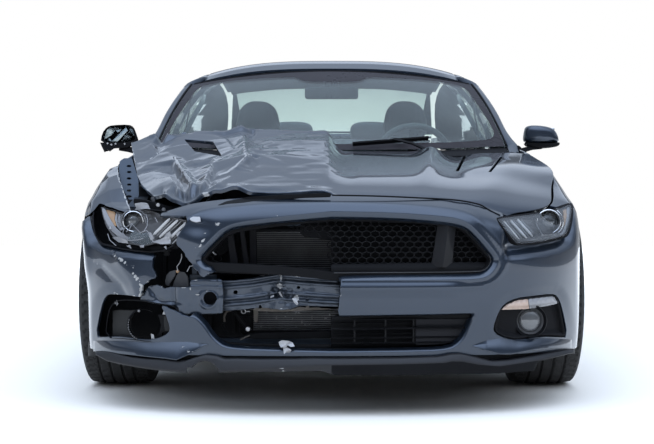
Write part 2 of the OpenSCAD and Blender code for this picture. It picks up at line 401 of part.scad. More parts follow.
module mirror_housing(broken) {
  color(broken ? black : paint) shaped() difference() {
    union() {
      hull() { translate([886, -440, 970]) sphere(32, $fn = 16); translate([886, -452, 1002]) sphere(30, $fn = 16); translate([985, -420, 968]) sphere(34, $fn = 16); translate([975, -430, 1000]) sphere(32, $fn = 16); translate([1004, -412, 975]) sphere(26, $fn = 16);
               translate([880, -402, 985]) rotate([-90, 0, 0]) cylinder(r = 42, h = 30, $fn = 20); translate([990, -385, 985]) rotate([-90, 0, 0]) cylinder(r = 40, h = 20, $fn = 20); }
      hull() { translate([900, -430, 944]) cube([60, 46, 14], center = true); translate([852, -430, 936]) cube([22, 60, 20], center = true); }
    }
    translate([872, -374, 948]) cube([150, 60, 76]);
    if (broken) translate([865, -500, 972]) rotate([0, 0, -6]) cube([150, 52, 80]);
  }
}
module tyre(w) {
  r = tyre_r; h = w/2;
  color(black) rotate([0, 90, 0]) rotate_extrude($fn = 96) polygon([[rim_r+1,-h+22],[rim_r+14,-h+6],[rim_r+46,-h],[r-34,-h+3],[r-12,-h+12],[r-3,-h+30],[r,-h+60],[r,h-60],[r-3,h-30],[r-12,h-12],[r-34,h-3],[rim_r+46,h],[rim_r+14,h-6],[rim_r+1,h-22]]);
}
// Rim, hub and brake disc in one; the outer face is towards +x
module rim(w) {
  h = w/2; r = rim_r;
  color([0.35, 0.36, 0.38]) union() {
    rotate([0, 90, 0]) rotate_extrude($fn = 96) polygon([[r-14,-h+14],[r+6,-h+14],[r,-h+20],[r,h-20],[r+6,h-14],[r-6,h-10],[r-14,h-20],[r-22,h-40],[r-22,-h+20]]);
    for (i = [0:spokes-1]) rotate([i*360/spokes, 0, 0]) translate([h-64, 0, 0]) rotate([90, 0, 90]) linear_extrude(30) polygon([[-34,40],[34,40],[26,r-14],[-26,r-14]]);
    difference() { translate([10, 0, 0]) rotate([0, 90, 0]) cylinder(r = 72, h = h - 30); translate([-30, 0, 0]) rotate([0, 90, 0]) cylinder(r = 30.06, h = 90); }
    difference() { translate([-12, 0, 0]) rotate([0, 90, 0]) cylinder(r = 175, h = 26); translate([-30, 0, 0]) rotate([0, 90, 0]) cylinder(r = 30.06, h = 90); }
  }
}
module hub_carrier() {
  // Knuckle with stub axle, strut foot and caliper; x is measured from the wheel plane, positive outward
  color([0.3, 0.3, 0.3]) union() {
    translate([-150, 0, 0]) rotate([0, 90, 0]) cylinder(r = 62, h = 132);
    translate([-60, 0, 0]) rotate([0, 90, 0]) cylinder(r = 30, h = 112);
    translate([-160, -20, -160]) cube([60, 40, 320]);
    translate([-166, 0, 90]) cylinder(r = 22, h = 208);
    translate([-150, 20, -20]) cube([30, 120, 34]);
    difference() { translate([-60, 60, -70]) cube([110, 136, 140]); translate([-18, 0, 0]) rotate([0, 90, 0]) cylinder(r = 181, h = 38); translate([-100, 0, 0]) rotate([0, 90, 0]) cylinder(r = 84, h = 260); difference() { translate([-100, 0, 0]) rotate([0, 90, 0]) cylinder(r = 330, h = 260); translate([-110, 0, 0]) rotate([0, 90, 0]) cylinder(r = 208, h = 280); } }
    translate([-60, 40, -12]) cube([28, 60, 24]);
  }
}
module at_wheel(sgn, y, x) { translate([sgn*x, y, axle_z]) mirror([sgn < 0 ? 1 : 0, 0, 0]) children(); }
module subframes() {
  color([0.14, 0.14, 0.15]) {
    union() {
      translate([-330, -1560, 186]) cube([660, 90, 60]);
      translate([-330, -1330, 186]) cube([660, 70, 50]);
      for (s = [-1, 1]) { translate([s*310 - 30, -1560, 186]) cube([60, 300, 50]); translate([s > 0 ? 320 : -610, -1462, 150]) cube([290, 50, 26]); translate([s > 0 ? 320 : -350, -1480, 150]) cube([30, 90, 50]); }
    }
    union() {
      translate([-330, 1120, 230]) cube([660, 60, 60]);
      translate([-330, 1380, 230]) cube([660, 60, 60]);
      translate([-110, 1170, 220]) cube([220, 220, 140]);
      for (s = [-1, 1]) { translate([s*300 - 25, 1120, 230]) cube([50, 320, 50]); translate([s > 0 ? 300 : -660, ry - 25, 200]) cube([360, 50, 34]);
        translate([s > 0 ? 100 : -810, ry, axle_z]) rotate([0, 90, 0]) cylinder(r = 30, h = 710);
        translate([s > 0 ? 648 : -700, ry, axle_z]) rotate([0, 90, 0]) cylinder(r = 66, h = 52);
        translate([s > 0 ? 648 : -678, ry - 22, 200]) cube([30, 44, 120]); }
    }
  }
}
module exhaust() {
  color([0.45, 0.44, 0.42]) for (s = [-1, 1]) union() {
    translate([s*200, -900, 166]) rotate([-90, 0, 0]) cylinder(r = 27, h = 1990);
    translate([s*200, 1080, 166]) rotate([-90, 0, 0]) cylinder(r = 27, h = 640);
    translate([s*520 - 130, 1770, 196]) cube([260, 330, 130]);
    translate([s > 0 ? 173 : -400, 1700, 200]) cube([227, 54, 54]);
    translate([s > 0 ? 345 : -400, 1700, 200]) cube([55, 90, 54]);
    translate([s*200, 1720, 150]) cylinder(r = 27, h = 60);
    translate([s*560, 2090, 268]) rotate([-90, 0, 0]) difference() { cylinder(r = 48, h = 262); translate([0, 0, 30]) cylinder(r = 43, h = 300); }
  }
}
module rear_glass() { rear_window(); quarter_glass(); }
module in_left(s) { mirror([s < 0 ? 1 : 0, 0, 0]) children(); }

floor_pan();
front_structure();
bumper_beam();
radiator();
engine_block();
front_bumper();
grilles();
chin_lip();
headlight(false);  // headlight_left
in_left(-1) headlight(true);  // headlight_right
fog_lamps();
fender();  // fender_left
in_left(-1) fender();  // fender_right
hood();
windshield();
roof_panel();
pillar_frame();
door();  // door_left
in_left(-1) door();  // door_right
door_glass();  // door_glass_left
in_left(-1) door_glass();  // door_glass_right
quarter_panels();
rear_glass();
trunk_lid();
rear_bumper();
tail_lamps();
side_skirts();
front_seats();
rear_bench();
dashboard();
steering_wheel();
mirror_housing(false);  // mirror_left
in_left(-1) mirror_housing(true);  // mirror_right
at_wheel(1, fy, front_track_half) tyre(tyre_w);  // tyre_front_left
at_wheel(-1, fy, front_track_half) tyre(tyre_w);  // tyre_front_right
at_wheel(1, ry, rear_track_half) tyre(rear_tyre_w);  // tyre_rear_left
at_wheel(-1, ry, rear_track_half) tyre(rear_tyre_w);  // tyre_rear_right
at_wheel(1, fy, front_track_half) rim(tyre_w);  // rim_front_left
at_wheel(-1, fy, front_track_half) rim(tyre_w);  // rim_front_right
at_wheel(1, ry, rear_track_half) rim(rear_tyre_w);  // rim_rear_left
at_wheel(-1, ry, rear_track_half) rim(rear_tyre_w);  // rim_rear_right
at_wheel(1, fy, front_track_half) hub_carrier();  // knuckle_left
at_wheel(-1, fy, front_track_half) hub_carrier();  // knuckle_right
subframes();
exhaust();
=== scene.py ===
import bpy, bmesh, math
import numpy as np
from mathutils import Vector, Matrix
from mathutils.bvhtree import BVHTree


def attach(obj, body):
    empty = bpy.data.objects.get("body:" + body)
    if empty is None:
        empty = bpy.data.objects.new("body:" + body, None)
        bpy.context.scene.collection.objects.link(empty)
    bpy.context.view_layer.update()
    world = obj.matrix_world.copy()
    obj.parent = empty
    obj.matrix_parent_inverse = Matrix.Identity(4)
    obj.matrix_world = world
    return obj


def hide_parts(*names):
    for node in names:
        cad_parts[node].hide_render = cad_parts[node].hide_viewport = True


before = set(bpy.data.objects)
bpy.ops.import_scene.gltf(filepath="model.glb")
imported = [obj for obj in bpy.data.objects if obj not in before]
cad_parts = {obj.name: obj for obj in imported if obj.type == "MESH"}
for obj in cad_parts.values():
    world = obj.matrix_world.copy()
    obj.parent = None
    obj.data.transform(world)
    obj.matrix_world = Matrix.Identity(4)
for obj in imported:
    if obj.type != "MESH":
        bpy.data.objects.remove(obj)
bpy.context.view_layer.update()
MM = 0.001
scene = bpy.context.scene
coll = scene.collection

# ---------------------------------------------------------------- numbers
def sst(a, b, x):
    t = np.clip((np.asarray(x, float) - a) / (b - a), 0, 1)
    return t * t * (3 - 2 * t)
def unit(a):
    return a / np.maximum(np.linalg.norm(a, axis=-1, keepdims=True), 1e-9)
def lerp(a, b, t):
    return a + (b - a) * t
def _hash(ix, iy, iz, seed):
    h = (ix.astype(np.int64) * 374761393 + iy.astype(np.int64) * 668265263 + iz.astype(np.int64) * 2147483647 + seed * 974634777) & 0xffffffff
    h = ((h ^ (h >> 13)) * 1274126177) & 0xffffffff
    h = ((h ^ (h >> 16)) * 2246822519) & 0xffffffff
    return ((h ^ (h >> 15)) & 0xffffff) / float(0xffffff)
def noise(p, s, seed=0):
    """Smooth value noise from -1 to 1, cell size s, at points p (..., 3)."""
    q = np.asarray(p, float) / s
    i = np.floor(q); f = q - i; f = f * f * (3 - 2 * f)
    r = 0
    for dx in (0, 1):
        for dy in (0, 1):
            for dz in (0, 1):
                w = (f[..., 0] if dx else 1 - f[..., 0]) * (f[..., 1] if dy else 1 - f[..., 1]) * (f[..., 2] if dz else 1 - f[..., 2])
                r = r + w * _hash(i[..., 0] + dx, i[..., 1] + dy, i[..., 2] + dz, seed)
    return r * 2 - 1
def fbm(p, s, seed=0, n=3):
    return sum(noise(p, s / 2 ** k, seed + k) * 0.5 ** k for k in range(n))
def cr(a, b, c, d, t):
    return 0.5 * (2 * b + (c - a) * t + (2 * a - 5 * b + 4 * c - d) * t * t + (3 * b - a - 3 * c + d) * t ** 3)
def tab(T, x):
    """Smooth value through a table [[position, value or values], ...]."""
    X = np.array([r[0] for r in T], float); Y = np.array([r[1] for r in T], float)
    x = np.asarray(x, float)
    k = np.clip(np.searchsorted(X, x, side="right") - 1, 0, len(X) - 2)
    t = np.clip((x - X[k]) / (X[k + 1] - X[k]), 0, 1)
    E = np.concatenate([[2 * Y[0] - Y[1]], Y, [2 * Y[-1] - Y[-2]]])
    if Y.ndim > 1: t = t[..., None]
    return cr(E[k], E[k + 1], E[k + 2], E[k + 3], t)
class spl:
    """Natural cubic spline through uneven knots."""
    def __init__(s, T):
        s.X = np.array([r[0] for r in T], float); s.Y = np.array([r[1] for r in T], float); n = len(s.X); h = np.diff(s.X); A = np.eye(n); b = np.zeros(n)
        for i in range(1, n - 1):
            A[i, i - 1], A[i, i], A[i, i + 1] = h[i - 1], 2 * (h[i - 1] + h[i]), h[i]; b[i] = 6 * ((s.Y[i + 1] - s.Y[i]) / h[i] - (s.Y[i] - s.Y[i - 1]) / h[i - 1])
        s.M = np.linalg.solve(A, b)
    def __call__(s, x):
        X, Y, M = s.X, s.Y, s.M; x = np.clip(np.asarray(x, float), X[0], X[-1]); k = np.clip(np.searchsorted(X, x, side="right") - 1, 0, len(X) - 2); h = X[k + 1] - X[k]; a = X[k + 1] - x; c = x - X[k]
        return (M[k] * a ** 3 + M[k + 1] * c ** 3) / (6 * h) + (Y[k] / h - M[k] * h / 6) * a + (Y[k + 1] / h - M[k + 1] * h / 6) * c
def poly_dist(x, z, pts, closed=True):
    """Distance to a polyline, and for a closed one whether inside (positive inside)."""
    P = np.asarray(pts, float); A = P; B = np.roll(P, -1, 0)
    if not closed: A, B = P[:-1], P[1:]
    sh = np.shape(x); x = np.ravel(x); z = np.ravel(z)
    best = np.full(len(x), 1e18); ins = np.zeros(len(x), bool)
    for (ax, az), (bx, bz) in zip(A, B):
        dx, dz = bx - ax, bz - az; L = dx * dx + dz * dz + 1e-12
        t = np.clip(((x - ax) * dx + (z - az) * dz) / L, 0, 1)
        best = np.minimum(best, (x - ax - t * dx) ** 2 + (z - az - t * dz) ** 2)
        if closed:
            c = (az > z) != (bz > z)
            if dz != 0: ins ^= c & (x < ax + (z - az) * dx / dz)
    d = np.sqrt(best)
    if closed: d = np.where(ins, d, -d)
    return d.reshape(sh)
def ridge(x, z, pts, w1, w2, soft=4.0):
    """Height 1 on an open polyline, falling off over w1 on its left side and w2 on its right; fades past its ends."""
    P = np.asarray(pts, float); sh = np.shape(x); x = np.ravel(x); z = np.ravel(z)
    best = np.full(len(x), 1e18); side = np.ones(len(x))
    for (ax, az), (bx, bz) in zip(P[:-1], P[1:]):
        dx, dz = bx - ax, bz - az; L = dx * dx + dz * dz
        t = np.clip(((x - ax) * dx + (z - az) * dz) / L, 0, 1)
        qx, qz = x - ax - t * dx, z - az - t * dz; d = qx * qx + qz * qz
        s = np.sign(dx * qz - dz * qx); m = d < best
        best = np.where(m, d, best); side = np.where(m, s, side)
    d = np.sqrt(best + soft * soft) - soft; w = np.where(side > 0, w1, w2)
    return (np.exp(-(d / w) ** 1.5)).reshape(sh)

# ---------------------------------------------------------------- the body's side lines, as in the CAD source
RC = np.array([
 [[0,-2345,195],[0,-2352,255],[0,-2382,370],[0,-2392,480],[0,-2388,590],[0,-2378,655],[0,-2345,692],[0,-2272,717]],
 [[250,-2338,195],[250,-2346,255],[250,-2374,370],[250,-2384,480],[250,-2380,590],[250,-2371,652],[250,-2336,687],[248,-2267,709]],
 [[450,-2295,193],[450,-2305,253],[452,-2334,370],[454,-2346,480],[455,-2344,590],[455,-2332,638],[452,-2292,668],[442,-2240,690]],
 [[610,-2222,190],[612,-2234,250],[616,-2262,370],[620,-2272,480],[622,-2260,575],[620,-2234,612],[606,-2200,636],[592,-2165,653]],
 [[742,-2112,187],[746,-2122,250],[752,-2142,370],[760,-2148,480],[764,-2120,578],[756,-2092,620],[734,-2068,650],[711,-2050,668]],
 [[832,-1978,183],[838,-1984,250],[850,-1992,370],[862,-1996,480],[866,-1986,580],[850,-1972,634],[808,-1966,668],[757,-1972,682]],
 [[872,-1850,178],[884,-1850,250],[900,-1850,370],[912,-1850,480],[914,-1850,585],[894,-1850,650],[842,-1850,692],[784,-1850,707]],
 [[892,-1640,176],[905,-1640,262],[922,-1640,370],[934,-1640,490],[936,-1640,600],[916,-1640,672],[870,-1640,724],[814,-1640,749]],
 [[900,-1437,176],[914,-1437,265],[932,-1437,375],[946,-1437,495],[946,-1437,615],[930,-1437,695],[894,-1437,754],[849,-1437,795]],
 [[880,-1150,178],[896,-1150,270],[914,-1150,380],[928,-1150,505],[932,-1150,635],[922,-1150,725],[898,-1150,792],[868,-1150,830]],
 [[866,-800,180],[882,-800,270],[900,-800,380],[912,-800,510],[917,-800,645],[908,-800,748],[880,-800,836],[836,-800,893]],
 [[858,-400,182],[874,-400,270],[890,-400,380],[901,-400,512],[905,-400,655],[894,-400,760],[862,-400,862],[826,-400,930]],
 [[856,100,185],[872,100,270],[888,100,380],[898,100,515],[902,100,658],[890,100,768],[860,100,874],[826,100,945]],
 [[862,550,188],[880,550,272],[898,550,382],[910,550,518],[915,550,664],[902,550,778],[870,550,888],[834,550,960]],
 [[880,900,192],[904,900,275],[924,900,385],[938,900,520],[942,900,672],[928,900,792],[888,900,908],[842,900,984]],
 [[900,1283,200],[926,1283,280],[944,1283,390],[955,1283,530],[957,1283,685],[940,1283,812],[884,1283,934],[822,1283,1010]],
 [[895,1600,212],[916,1600,290],[932,1600,400],[944,1600,540],[946,1600,695],[918,1600,832],[852,1600,956],[782,1600,1034]],
 [[866,1900,226],[888,1900,305],[906,1900,415],[916,1900,550],[916,1900,704],[880,1900,850],[806,1900,982],[740,1900,1056]],
 [[804,2108,235],[826,2128,312],[842,2146,420],[852,2156,556],[850,2152,706],[816,2140,858],[746,2136,998],[686,2128,1068]],
 [[664,2240,240],[684,2268,316],[694,2292,424],[702,2304,560],[700,2300,706],[664,2290,862],[602,2276,1008],[556,2258,1078]],
 [[386,2306,243],[392,2338,320],[396,2364,428],[400,2378,562],[400,2370,706],[388,2355,864],[352,2338,1010],[330,2318,1086]],
 [[0,2318,245],[0,2352,322],[0,2378,430],[0,2392,564],[0,2388,706],[0,2370,865],[0,2354,1010],[0,2334,1090]]], float)
_ext = np.array([RC[-j] * [-1, 1, 1] if j < 0 else RC[42 - j] * [-1, 1, 1] if j > 21 else RC[j] for j in range(-9, 31)])
_ext = np.concatenate([2 * _ext[:, :1] - _ext[:, 1:2], _ext, 2 * _ext[:, -1:] - _ext[:, -2:-1]], 1)
def ring(U, V):
    U = np.asarray(U, float); V = np.asarray(V, float)
    i = np.floor(U).astype(int); t = (U - i)[..., None]
    k = np.clip(np.floor(V).astype(int), 0, 6); s = (V - k)[..., None]
    c = [cr(_ext[i + 9 + d, k], _ext[i + 9 + d, k + 1], _ext[i + 9 + d, k + 2], _ext[i + 9 + d, k + 3], s) for d in (-1, 0, 1, 2)]
    return cr(c[0], c[1], c[2], c[3], t)
def normals_of(fn, U, V, e=0.01):
    return unit(np.cross(fn(U + e, V) - fn(U - e, V), fn(U, V + e) - fn(U, V - e)))

# ---------------------------------------------------------------- meshes
def make(name, V, F, mat, body, rep=(), normals=None, angle=None, attrs=None, flat=False, slot=None, mats=None, midx=None):
    """A piece from points in mm and faces, riding on a body."""
    me = bpy.data.meshes.new(name)
    V = np.asarray(V, float)
    me.from_pydata((V * MM).tolist(), [], [list(map(int, f)) for f in F])
    for m in (mats or [mat]): me.materials.append(m)
    if midx is not None: me.polygons.foreach_set("material_index", np.asarray(midx, np.int32))
    if attrs:
        for k, a in attrs.items():
            at = me.attributes.new(k, "FLOAT", "POINT"); at.data.foreach_set("value", np.asarray(a, np.float32))
    me.update()
    if not flat: me.shade_smooth()
    if angle is not None: me.set_sharp_from_angle(angle=math.radians(angle))
    if normals is not None: me.normals_split_custom_set_from_vertices(np.asarray(normals, float).tolist())
    o = bpy.data.objects.new(name, me); coll.objects.link(o)
    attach(o, body)
    if rep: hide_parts(*([rep] if isinstance(rep, str) else rep))
    return o
def join_parts(parts):
    """[(V, F), ...] -> one V, F"""
    Vs, Fs, n = [], [], 0
    for V, F in parts:
        V = np.asarray(V, float); Vs.append(V); Fs += [[i + n for i in f] for f in F]; n += len(V)
    return np.concatenate(Vs), Fs
def join_mat(parts):
    """[(V, F, material index), ...] -> V, F, indices"""
    V, F = join_parts([p[:2] for p in parts]); mi = []
    for p in parts: mi += [p[2]] * len(p[1])
    return V, F, mi
ROUND = lambda r, n=3: [(r * math.sin(a), r * (1 - math.cos(a)), math.degrees(a)) for a in [math.pi / 2 * k / n for k in range(1, n + 1)]]

def panel(fn, us, vs, trim, r=3.0, t=10.0, flange=None, normal_fn=None, hole=None, thick_dir=None, post=None):
    """A sheet panel: fn(U, V) trimmed where trim(P) < 0, with a rounded rim, a return flange and an inner face.
    hole(p) may return another flange profile [(out, depth, normal angle), ...] for a rim vertex at p."""
    U, Vv = np.meshgrid(us, vs, indexing="ij"); P = fn(U, Vv); N = (normal_fn or (lambda a, b: normals_of(fn, a, b)))(U, Vv)
    F = trim(P) - r
    nu, nv = U.shape; idx = -np.ones((nu, nv), int); keep = F >= 0
    pts, nrm, uvs = [P[keep]], [N[keep]], [np.stack([U[keep], Vv[keep]], -1)]
    idx[keep] = np.arange(keep.sum()); n = int(keep.sum())
    def crossings(a, b):
        nonlocal n
        Fa, Fb = F[a], F[b]; m = (Fa >= 0) != (Fb >= 0); ids = -np.ones(Fa.shape, int)
        if not m.any(): return ids
        ua, va, ub, vb = U[a][m], Vv[a][m], U[b][m], Vv[b][m]; fa, fb = Fa[m], Fb[m]
        ta, tb = np.zeros(len(fa)), np.ones(len(fa))
        for _ in range(3):
            t_ = ta + (tb - ta) * np.clip(fa / (fa - fb), 0.05, 0.95); q = fn(lerp(ua, ub, t_), lerp(va, vb, t_)); f = trim(q) - r
            same = (f >= 0) == (fa >= 0)
            ta = np.where(same, t_, ta); fa = np.where(same, f, fa); tb = np.where(same, tb, t_); fb = np.where(same, fb, f)
        t_ = ta + (tb - ta) * np.clip(fa / (fa - fb), 0, 1); u, v = lerp(ua, ub, t_), lerp(va, vb, t_)
        pts.append(fn(u, v)); nrm.append((normal_fn or (lambda a, b: normals_of(fn, a, b)))(u, v)); uvs.append(np.stack([u, v], -1))
        ids[m] = n + np.arange(m.sum()); n += int(m.sum()); return ids
    eu = crossings(np.s_[:-1, :], np.s_[1:, :]); ev = crossings(np.s_[:, :-1], np.s_[:, 1:])
    k4 = keep[:-1, :-1].astype(int) + keep[1:, :-1] + keep[1:, 1:] + keep[:-1, 1:]
    full = np.argwhere(k4 == 4); faces = [[idx[i, j], idx[i + 1, j], idx[i + 1, j + 1], idx[i, j + 1]] for i, j in full]
    for i, j in np.argwhere((k4 > 0) & (k4 < 4)):
        c = [(idx[i, j], eu[i, j]), (idx[i + 1, j], ev[i + 1, j]), (idx[i + 1, j + 1], eu[i, j + 1]), (idx[i, j + 1], ev[i, j])]
        f = []
        for a, e in c:
            if a >= 0: f.append(a)
            if e >= 0: f.append(e)
        if len(f) >= 3: faces.append(f)
    P = np.concatenate(pts); N = np.concatenate(nrm); UV = np.concatenate(uvs)
    used = np.zeros(len(P), bool)
    for f in faces: used[f] = True
    remap = -np.ones(len(P), int); remap[used] = np.arange(used.sum()); P, N, UV = P[used], N[used], UV[used]
    faces = [[int(remap[i]) for i in f] for f in faces]
    wear = np.zeros(len(P))
    if post is not None:
        P, N2, wear = post(P, N, UV); 
        if N2 is not None: N = N2
    n0 = len(P); E = set()
    for f in faces:
        for a, b in zip(f, f[1:] + f[:1]): E.add((a, b))
    B = [e for e in E if (e[1], e[0]) not in E]; B.sort()
    nxt = {a: b for a, b in B}; prv = {b: a for a, b in B}
    bv = sorted(nxt); loc = {a: k for k, a in enumerate(bv)}
    tn = unit(P[[nxt[a] for a in bv]] - P[[prv.get(a, a) for a in bv]]); bn = N[bv]; o = unit(np.cross(tn, bn))
    for _ in range(2):  # even out the outward direction along the rim
        pr = np.array([loc.get(prv.get(a, a), k) for k, a in enumerate(bv)]); nx = np.array([loc[nxt[a]] if nxt[a] in loc else k for k, a in enumerate(bv)])
        o = unit(o * 2 + o[pr] + o[nx])
    base = flange or (ROUND(r) + [(r, t, 90)])
    prof = [base] * len(bv)
    if hole is not None: prof = [hole(P[a]) or base for a in bv]
    K = max(len(p) for p in prof); prof = [p + [p[-1]] * (K - len(p)) for p in prof]
    V, NN, W = [P], [N], [wear]
    for k in range(K):
        pr_ = np.array([[p[k][0], p[k][1], math.radians(p[k][2])] for p in prof])
        V.append(P[bv] + o * pr_[:, :1] - bn * pr_[:, 1:2]); NN.append(unit(bn * np.cos(pr_[:, 2:]) + o * np.sin(pr_[:, 2:]))); W.append(wear[bv])
    V.append(P - N * t if thick_dir is None else P + thick_dir(P)); NN.append(-N); W.append(wear)
    nb = len(bv); inner = n0 + K * nb
    for a, b in B:
        ka, kb = loc[a], loc.get(b)
        if kb is None: continue
        la, lb = a, b
        for k in range(K):
            ra, rb = n0 + k * nb + ka, n0 + k * nb + kb
            faces.append([lb, la, ra, rb]); la, lb = ra, rb
        faces.append([lb, la, inner + a, inner + b])
    nout = len(full) and None
    fo = [f for f in faces if max(f) < n0]
    faces += [[inner + i for i in reversed(f)] for f in fo]
    return dict(V=np.concatenate(V), F=faces, N=np.concatenate(NN), wear=np.concatenate(W), n0=n0, UV=UV)
def put(name, d, mat, body, rep=(), slot="paint", **k):
    return make(name, d["V"], d["F"], mat, body, rep, normals=d["N"], attrs={"wear": d["wear"]}, slot=slot, **k)
def mirror(d):
    q = dict(d); q["V"] = d["V"] * [-1, 1, 1]; q["N"] = d["N"] * [-1, 1, 1]; q["F"] = [f[::-1] for f in d["F"]]; return q

def frames(path, closed=False, up=(0, 0, 1)):
    P = np.asarray(path, float)
    T = unit(np.roll(P, -1, 0) - np.roll(P, 1, 0)) if closed else unit(np.gradient(P, axis=0))
    u = unit(np.asarray(up, float)[None] - (T @ np.asarray(up, float))[:, None] * T); s = np.cross(T, u)
    return P, T, s, u
def sweep(path, prof, closed=False, up=(0, 0, 1), scale=None, cap=True):
    """Sweeps a closed profile [(side, up), ...] along a path."""
    P, T, s, u = frames(path, closed, up); prof = np.asarray(prof, float); m = len(prof); n = len(P)
    sc = np.ones(n) if scale is None else np.asarray(scale, float)
    V = (P[:, None] + s[:, None] * (prof[None, :, :1] * sc[:, None, None]) + u[:, None] * (prof[None, :, 1:] * sc[:, None, None])).reshape(-1, 3)
    F = []
    for i in range(n if closed else n - 1):
        j = (i + 1) % n
        for k in range(m):
            l = (k + 1) % m; F.append([i * m + k, i * m + l, j * m + l, j * m + k])
    if cap and not closed:
        F.append(list(range(m))[::-1]); F.append([(n - 1) * m + k for k in range(m)])
    return V, F
def circle(r, n=12, ry=None):
    return [(r * math.cos(2 * math.pi * k / n), (ry or r) * math.sin(2 * math.pi * k / n)) for k in range(n)]
def tube(path, r, n=10, closed=False, up=(0, 0, 1)):
    return sweep(path, circle(r, n), closed, up)
def revolve(prof, centre, axis="x", n=48, a0=0.0, a1=360.0, close=True):
    """prof [(along, radius)], turned about the axis through centre; a closed ring profile when close."""
    prof = np.asarray(prof, float); m = len(prof); full = abs(a1 - a0) > 359.9
    A = np.radians(np.linspace(a0, a1, n + 1)[:n if full else n + 1]); V = []
    c, s = np.cos(A)[:, None], np.sin(A)[:, None]; a = np.repeat(prof[None, :, 0], len(A), 0); r = prof[None, :, 1]
    X = {"x": (a, r * c, r * s), "y": (r * s, a, r * c), "z": (r * c, r * s, a)}[axis]
    V = np.stack(X, -1).reshape(-1, 3) + np.asarray(centre, float); F = []
    k_ = len(A)
    for i in range(k_ if full else k_ - 1):
        j = (i + 1) % k_
        for k in range(m if close else m - 1):
            l = (k + 1) % m; F.append([i * m + k, j * m + k, j * m + l, i * m + l])
    return V, F
def rbox(lo, hi, r=3.0, seg=2, rot=None, centre=None):
    """A box with rounded edges, from bmesh."""
    bm = bmesh.new(); bmesh.ops.create_cube(bm, size=1)
    lo, hi = np.asarray(lo, float), np.asarray(hi, float)
    for v in bm.verts: v.co = Vector((lo + hi) / 2 + np.array(v.co) * (hi - lo))
    if r > 0: bmesh.ops.bevel(bm, geom=bm.edges[:] + bm.verts[:], offset=min(r, float((hi - lo).min()) * 0.45), segments=seg, profile=0.5, affect="EDGES")
    V = np.array([v.co for v in bm.verts]); F = [[v.index for v in f.verts] for f in bm.faces]; bm.free()
    if rot is not None:
        c = (lo + hi) / 2 if centre is None else np.asarray(centre, float); R = np.array(rot); V = (V - c) @ R.T + c
    return V, F
def rotm(axis, deg):
    return np.array(Matrix.Rotation(math.radians(deg), 3, Vector(axis)))
def flipx(part):
    return np.asarray(part[0]) * [-1, 1, 1], [f[::-1] for f in part[1]]
def loft(rings, closed=True, cap=False):
    R = np.asarray(rings, float); n, m = R.shape[:2]; F = []
    for i in range(n - 1):
        for k in range(m if closed else m - 1):
            l = (k + 1) % m; F.append([i * m + k, i * m + l, (i + 1) * m + l, (i + 1) * m + k])
    if cap: F.append(list(range(m))[::-1]); F.append([(n - 1) * m + k for k in range(m)])
    return R.reshape(-1, 3), F
def thick_grid(A, B):
    """A closed solid between two grids of points."""
    A, B = np.asarray(A, float), np.asarray(B, float); n, m = A.shape[:2]; o = n * m; F = []
    g = lambda i, j: i * m + j
    for i in range(n - 1):
        for j in range(m - 1):
            F.append([g(i, j), g(i + 1, j), g(i + 1, j + 1), g(i, j + 1)]); F.append([o + g(i, j), o + g(i, j + 1), o + g(i + 1, j + 1), o + g(i + 1, j)])
    for i in range(n - 1):
        F.append([g(i + 1, 0), g(i, 0), o + g(i, 0), o + g(i + 1, 0)]); F.append([g(i, m - 1), g(i + 1, m - 1), o + g(i + 1, m - 1), o + g(i, m - 1)])
    for j in range(m - 1):
        F.append([g(0, j), g(0, j + 1), o + g(0, j + 1), o + g(0, j)]); F.append([g(n - 1, j + 1), g(n - 1, j), o + g(n - 1, j), o + g(n - 1, j + 1)])
    return np.concatenate([A.reshape(-1, 3), B.reshape(-1, 3)]), F
# front-view outlines, x and z
GRILLE = np.array([[0,662],[150,660],[300,650],[370,643],[415,634],[465,606],[520,540],[532,520],[526,496],[500,468],[470,456],[300,452],[0,449]], float)
LOWER = np.array([[0,328],[250,330],[440,334],[478,336],[462,300],[440,262],[415,238],[385,226],[300,220],[0,214]], float)
LAMP = np.array([[538,634],[562,644],[640,652],[711,662],[756,676],[800,683],[842,690],[847,660],[846,635],[838,596],[818,570],[780,560],[720,555],[625,551],[604,556],[592,568]], float)
FOG = np.array([[553,350],[566,372],[600,386],[700,398],[752,400],[772,394],[790,360],[806,310],[818,256],[760,252],[700,250],[620,243],[575,252],[538,268],[534,284]], float)
def whole(P):
    P = np.asarray(P); return np.concatenate([P, [[-x, z] for x, z in P[::-1] if x > 0]])
def smooth_poly(P, n=2, closed=True):
    """Chaikin corner cutting"""
    P = np.asarray(P, float)
    for _ in range(n):
        Q = np.roll(P, -1, 0) if closed else P[1:]; A = P if closed else P[:-1]
        R = np.empty((len(A) * 2, 2)); R[0::2] = A * 0.75 + Q * 0.25; R[1::2] = A * 0.25 + Q * 0.75
        P = R if closed else np.concatenate([P[:1], R, P[-1:]])
    return P
